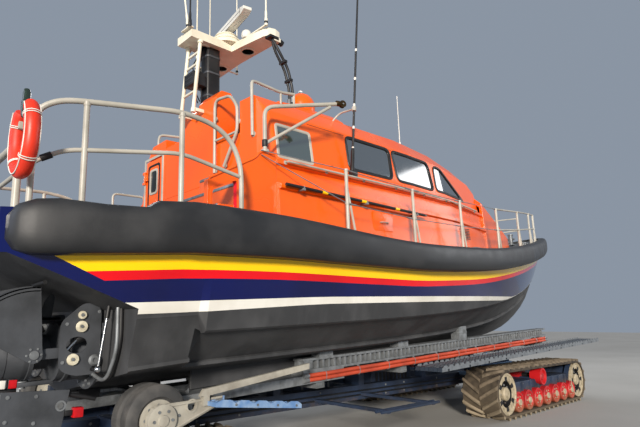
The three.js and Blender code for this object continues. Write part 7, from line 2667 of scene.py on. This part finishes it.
    def beam(self, form: Form, unit: TrackUnit, side: Side) -> None:
        """Adds the beam between the drums with its ribs and bolts.

        Args:
            form: form that takes it.
            unit: the crawler unit.
            side: side of the carriage.
        """
        low, high, y = unit.beam_low, unit.beam_high, side * (unit.outer - 0.12)
        form.box((unit.sprocket + 0.02, y, low),
                 (unit.idler - 0.02, side * (unit.outer + 0.12 - unit.width), high), 1, 0.015)
        first, run = unit.sprocket + unit.clear + 0.1, unit.straight - 2 * unit.clear - 0.2
        for x in (first + run * i / (unit.ribs - 1) for i in range(unit.ribs)):
            form.box((x - 0.008, y - 0.03, low + 0.01), (x + 0.008, y + 0.03, high - 0.01), 1, 0.003)
            form.bolts(0.012, [(x + 0.05, y, high - 0.04)], (0, side, 0), 2)

    def fore_gear(self, form: Form, unit: TrackUnit, side: Side, faces: Pair) -> None:
        """Adds what only the fore unit has: return wheel, roller brackets, axle and arm.

        Args:
            form: form that takes them.
            unit: the crawler unit.
            side: side of the carriage.
            faces: places across of the outer and the inner faces.
        """
        face, back = faces
        x, z, r = self.return_wheel
        wheel = [(0, 0.01), (r * 0.4, 0.01), (r * 0.5, 0.03), (r * 0.75, 0.03), (r * 0.8, 0), (r, 0.0),
                 (r, 0.2), (0, 0.2)]
        for y, way in ((face, -side), (back, side)):
            form.lathe(wheel, (x, y, z), (0, way, 0))
        form.rod((x, face - side * 0.1, z), (x, back + side * 0.1, z), 0.05, 4, 20)
        y = side * (unit.outer - 0.12)
        for roller in unit.rollers[:-1]:
            form.box((roller + 0.14, y - 0.05, 0.2), (roller + 0.26, y + 0.05, 0.36), 1, 0.012)
        x = self.axle_x
        form.rod((x, side * self.beam_y, 0.5), (x, side * 1.6, 0.5), 0.085, 1, 28)
        form.collar(0.085, 0.12, 0.03, (x, side * 0.49, 0.5), (0, side, 0), 2, 28)
        form.box((8.7, side * 0.49, 0.44), (9.1, side * (unit.outer - unit.width + 0.06), 0.56), 1, 0.012)


@dataclass
class Walkways:
    """Long serrated planks beside the cradle, drawn level."""

    aft: float = 5.45
    fore: float = 12.1
    inner: float = 1.4
    outer: float = 1.85
    aft_z: float = 0.905
    fore_z: float = 1.165
    deep: float = 0.055
    planks: int = 6
    bars: int = 11
    studs: int = 66
    teeth: int = 44
    tooth: float = 0.028
    brackets: tuple = (7.0, 8.7, 10.2)

    def low(self, x: float) -> float:
        """Height of the plank's underside."""
        return self.aft_z + (self.fore_z - self.aft_z) * (x - self.aft) / (self.fore - self.aft)

    def build(self) -> None:
        """Builds both planks."""
        for side in Side:
            self.plank(side)

    def plank(self, side: Side) -> None:
        """Builds a plank: ribs, raised studs, serrated edge strips and brackets.

        Args:
            side: side of the carriage.
        """
        form = Form()
        step = (self.outer - self.inner) / self.planks
        for near in (self.inner + step * i for i in range(self.planks)):
            a, b = side * (near + 0.004), side * (near + step - 0.004)
            form.loft([[(x, y, self.low(x) + dz) for y, dz in rectangle(a, 0, b, self.deep)]
                       for x in (self.aft, self.fore)])
        for x in (self.aft + 0.15 + 0.6 * i for i in range(self.bars)):
            bar = rectangle(side * self.inner, 0.004, side * self.outer, 0.03)
            form.loft([[(px, y, self.low(x) + dz) for y, dz in bar] for px in (x, x + 0.04)])
        places = []
        for x in (self.aft + 0.06 + 0.1 * i for i in range(self.studs)):
            z = self.low(x) + self.deep + 0.0005
            for j in range(self.planks):
                y = side * (self.inner + step * (j + 0.5))
                places.append(Matrix.Translation((x + 0.05 * (j % 2), y, z)))
        stud = Form().lathe([(0.011, 0), (0.015, 0.005), (0.021, 0.0), (0.011, 0.0)], (0, 0, 0), UP, 1, 8)
        form.stamp(stud, places)
        pitch = (self.fore - self.aft) / self.teeth
        shape = ((0.1, self.tooth), (0.55, self.tooth), (0.7, 0.0), (0.95, 0.0))
        top = [(self.fore - pitch * (i + share), dz) for i in range(self.teeth) for share, dz in shape]
        for y, way in ((side * self.outer, -side), (side * self.inner, side)):
            strip = [(x, y, self.low(x)) for x in (self.aft, self.fore)]
            strip += [(x, y, self.low(x) + self.deep + dz) for x, dz in top]
            form.plate([strip], (0, way * 0.012, 0), 1)
        for x in self.brackets:
            z = self.low(x)
            form.box((x - 0.045, side * 1.3003, z + 0.005), (x + 0.045, side * 1.45, z + 0.05), 2, 0.006)
            form.bolts(0.014, [(x, side * 1.36, z + 0.05)], UP, 2)
        form.show(f"walkway_plank_{side.label}", [STEP_DARK, STEP_GREY, ZINC], "galvanised",
                  [f"walkway_{side.label}"], datum=Datum.CARRIAGE, crease=30)


@dataclass
class GuideWheels:
    """Pairs of ribbed tyres that turn on the stub axles, drawn level."""

    x: float = 1.35
    z: float = 0.76
    near: float = 1.265
    wide: float = 0.15
    space: float = 0.03
    ribs: int = 4
    rib_step: float = 0.0225
    # Columns: radius and place across of a tyre's section, before and after its ribs
    inner_wall: tuple = (
        (0.062, 0.02), (0.17, 0.02), (0.18, 0.012), (0.19, 0.0), (0.235, 0.004), (0.27, 0.012),
        (0.284, 0.026))
    outer_wall: tuple = (
        (0.284, 0.124), (0.27, 0.138), (0.235, 0.146), (0.19, 0.15), (0.18, 0.138), (0.17, 0.13),
        (0.062, 0.13), (0.062, 0.02))

    def build(self) -> None:
        """Builds both pairs."""
        tread = []
        for start in (0.032 + self.rib_step * i for i in range(self.ribs)):
            tread += [(0.29, start), (0.29, start + 0.014), (0.279, start + 0.0165), (0.279, start + 0.02)]
        disc = [(0.062, 0), (0.165, 0), (0.165, 0.004), (0.062, 0.008), (0.062, 0)]
        for side in Side:
            form = Form()
            for start in (self.near, self.near + self.wide + self.space):
                form.lathe([*self.inner_wall, *tread, *self.outer_wall], (self.x, side * start, self.z),
                           (0, side, 0), 0, 56)
                for y, way in ((start + 0.02, -1), (start + 0.13, 1)):
                    outward = (0, side * way, 0)
                    form.lathe(disc, (self.x, side * y, self.z), outward, 1, 40)
                    form.bolt_ring(0.01, (self.x, side * (y + way * 0.006), self.z), outward, 0.12, 8, 2)
            form.collar(0.0405, 0.08, 0.33, (self.x, side * self.near, self.z), (0, side, 0), 1)
            form.merge()
            form.show(f"guide_wheel_tyres_{side.label}", [TYRE, PALE_STEEL, ZINC], "tyre_rubber",
                      [f"guide_wheels_{side.label}"], f"guide_{side.label}", Datum.CARRIAGE, crease=40)


@dataclass
class Engines:
    """Engines under the after deck, which show only through the jet bay's openings."""

    y: float = 0.64
    covers: tuple = (1.9, 2.2, 2.5, 2.8)

    def build(self) -> None:
        """Dresses both blocks with their covers."""
        for side in Side:
            form = Form.of_node(f"engine_{side.label}")
            y = side * self.y
            for x in self.covers:
                form.box((x, y - 0.16, 1.335), (x + 0.22, y + 0.16, 1.4), 1, 0.02)
            form.show(f"engine_dressed_{side.label}", [CASTING, BLACK], "engine_block",
                      [f"engine_{side.label}"], round_edges=0.03)


class LampKind(Enum):
    """Kind of a studio lamp, by its name in Blender."""

    SUN = "SUN"
    AREA = "AREA"


@dataclass(frozen=True)
class Lamp:
    """A studio lamp. Its spread is an angle in degrees for a sun and a size in metres for an area."""

    name: str
    kind: LampKind
    place: Point
    aim: Point
    spread: float
    power: float
    colour: str

    def build(self) -> None:
        """Adds the lamp to the scene."""
        data = bpy.data.lights.new(self.name, self.kind.value)
        if self.kind is LampKind.SUN:
            data.angle = math.radians(self.spread)
        else:
            data.size = self.spread
        data.energy = self.power
        data.color = linear(self.colour)[:3]
        lamp = bpy.data.objects.new(self.name, data)
        lamp.location = self.place
        lamp.rotation_euler = (Vector(self.aim) - Vector(self.place)).to_track_quat("-Z", "Y").to_euler()
        bpy.context.scene.collection.objects.link(lamp)


@dataclass
class Studio:
    """Floor, soft light and the photograph's camera."""

    eye: Point = (-7.6798, -5.87, 1.58)
    heading: float = math.radians(45.6)
    rise: float = math.radians(12.35)
    focal_pixels: float = 500
    frame_width: float = 640
    far_clip: float = 300
    floor_half: float = 90
    sky: str = "cddcf0"
    sky_strength: float = 0.42
    floor: Finish = Finish("pale_floor", "aeaca7", "a6a49f", 3000, (0.8, 0.9), relief_mm=0.05)
    lamps: tuple = (
        Lamp("key", LampKind.SUN, (-20.0, -18.0, 8.0), (-1.0, 0, 2.0), 9.0, 5.0, "fff6ea"),
        Lamp("fill", LampKind.AREA, (-15.0, 3.0, 6.0), (-4, 0, 2.0), 7.0, 350, "dfe9ff"),
        Lamp("rim", LampKind.AREA, (3.0, 13.0, 10.0), (0, 0, 3.0), 7.0, 900, "ffffff"),
        Lamp("bow", LampKind.AREA, (16.0, -10.0, 9.0), (3, 0, 2.0), 9.0, 700, "ffffff"),
    )

    def build(self) -> None:
        """Makes the floor, the world, the lamps and the camera."""
        form = Form()
        bmesh.ops.create_grid(form.mesh, x_segments=1, y_segments=1, size=self.floor_half)
        mesh = bpy.data.meshes.new("studio_floor")
        form.mesh.to_mesh(mesh)
        form.mesh.free()
        mesh.materials.append(self.floor.material())
        floor = bpy.data.objects.new("studio_floor", mesh)
        bpy.context.scene.collection.objects.link(floor)
        bpy.context.scene.view_settings.view_transform = "Standard"
        world = bpy.data.worlds.new("studio")
        bpy.context.scene.world = world
        world.use_nodes = True
        background = world.node_tree.nodes["Background"]
        background.inputs["Color"].default_value = linear(self.sky)
        background.inputs["Strength"].default_value = self.sky_strength
        for lamp in self.lamps:
            lamp.build()
        self.camera()

    def camera(self) -> None:
        """Makes the camera that was fitted to the photograph."""
        data = bpy.data.cameras.new("photo_view")
        data.lens = self.focal_pixels / self.frame_width * data.sensor_width
        data.clip_end = self.far_clip
        camera = bpy.data.objects.new("photo_view", data)
        camera.location = self.eye
        look = Vector((
            math.cos(self.heading) * math.cos(self.rise), math.sin(self.heading) * math.cos(self.rise),
            math.sin(self.rise)))
        camera.rotation_euler = look.to_track_quat("-Z", "Y").to_euler()
        bpy.context.scene.collection.objects.link(camera)
        bpy.context.scene.camera = camera


def main() -> None:
    """Builds every sub-assembly in turn."""
    logging.basicConfig(level=logging.INFO, format="%(name)s: %(message)s")
    Studio().build()
    hull, cabin = Hull(), Cabin()
    for assembly in (
        hull, cabin, Steering(), Mast(), DeckRails(hull, cabin), Jets(), Engines(), Cradle(), Chassis(),
        Tracks(), Walkways(), GuideWheels(),
    ):
        assembly.build()
        LOG.info("built %s", type(assembly).__name__)
    left = [name for name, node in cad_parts.items() if not node.hide_render]
    LOG.info("nodes left as they are: %s", left)


if __name__ == "__main__":
    main()
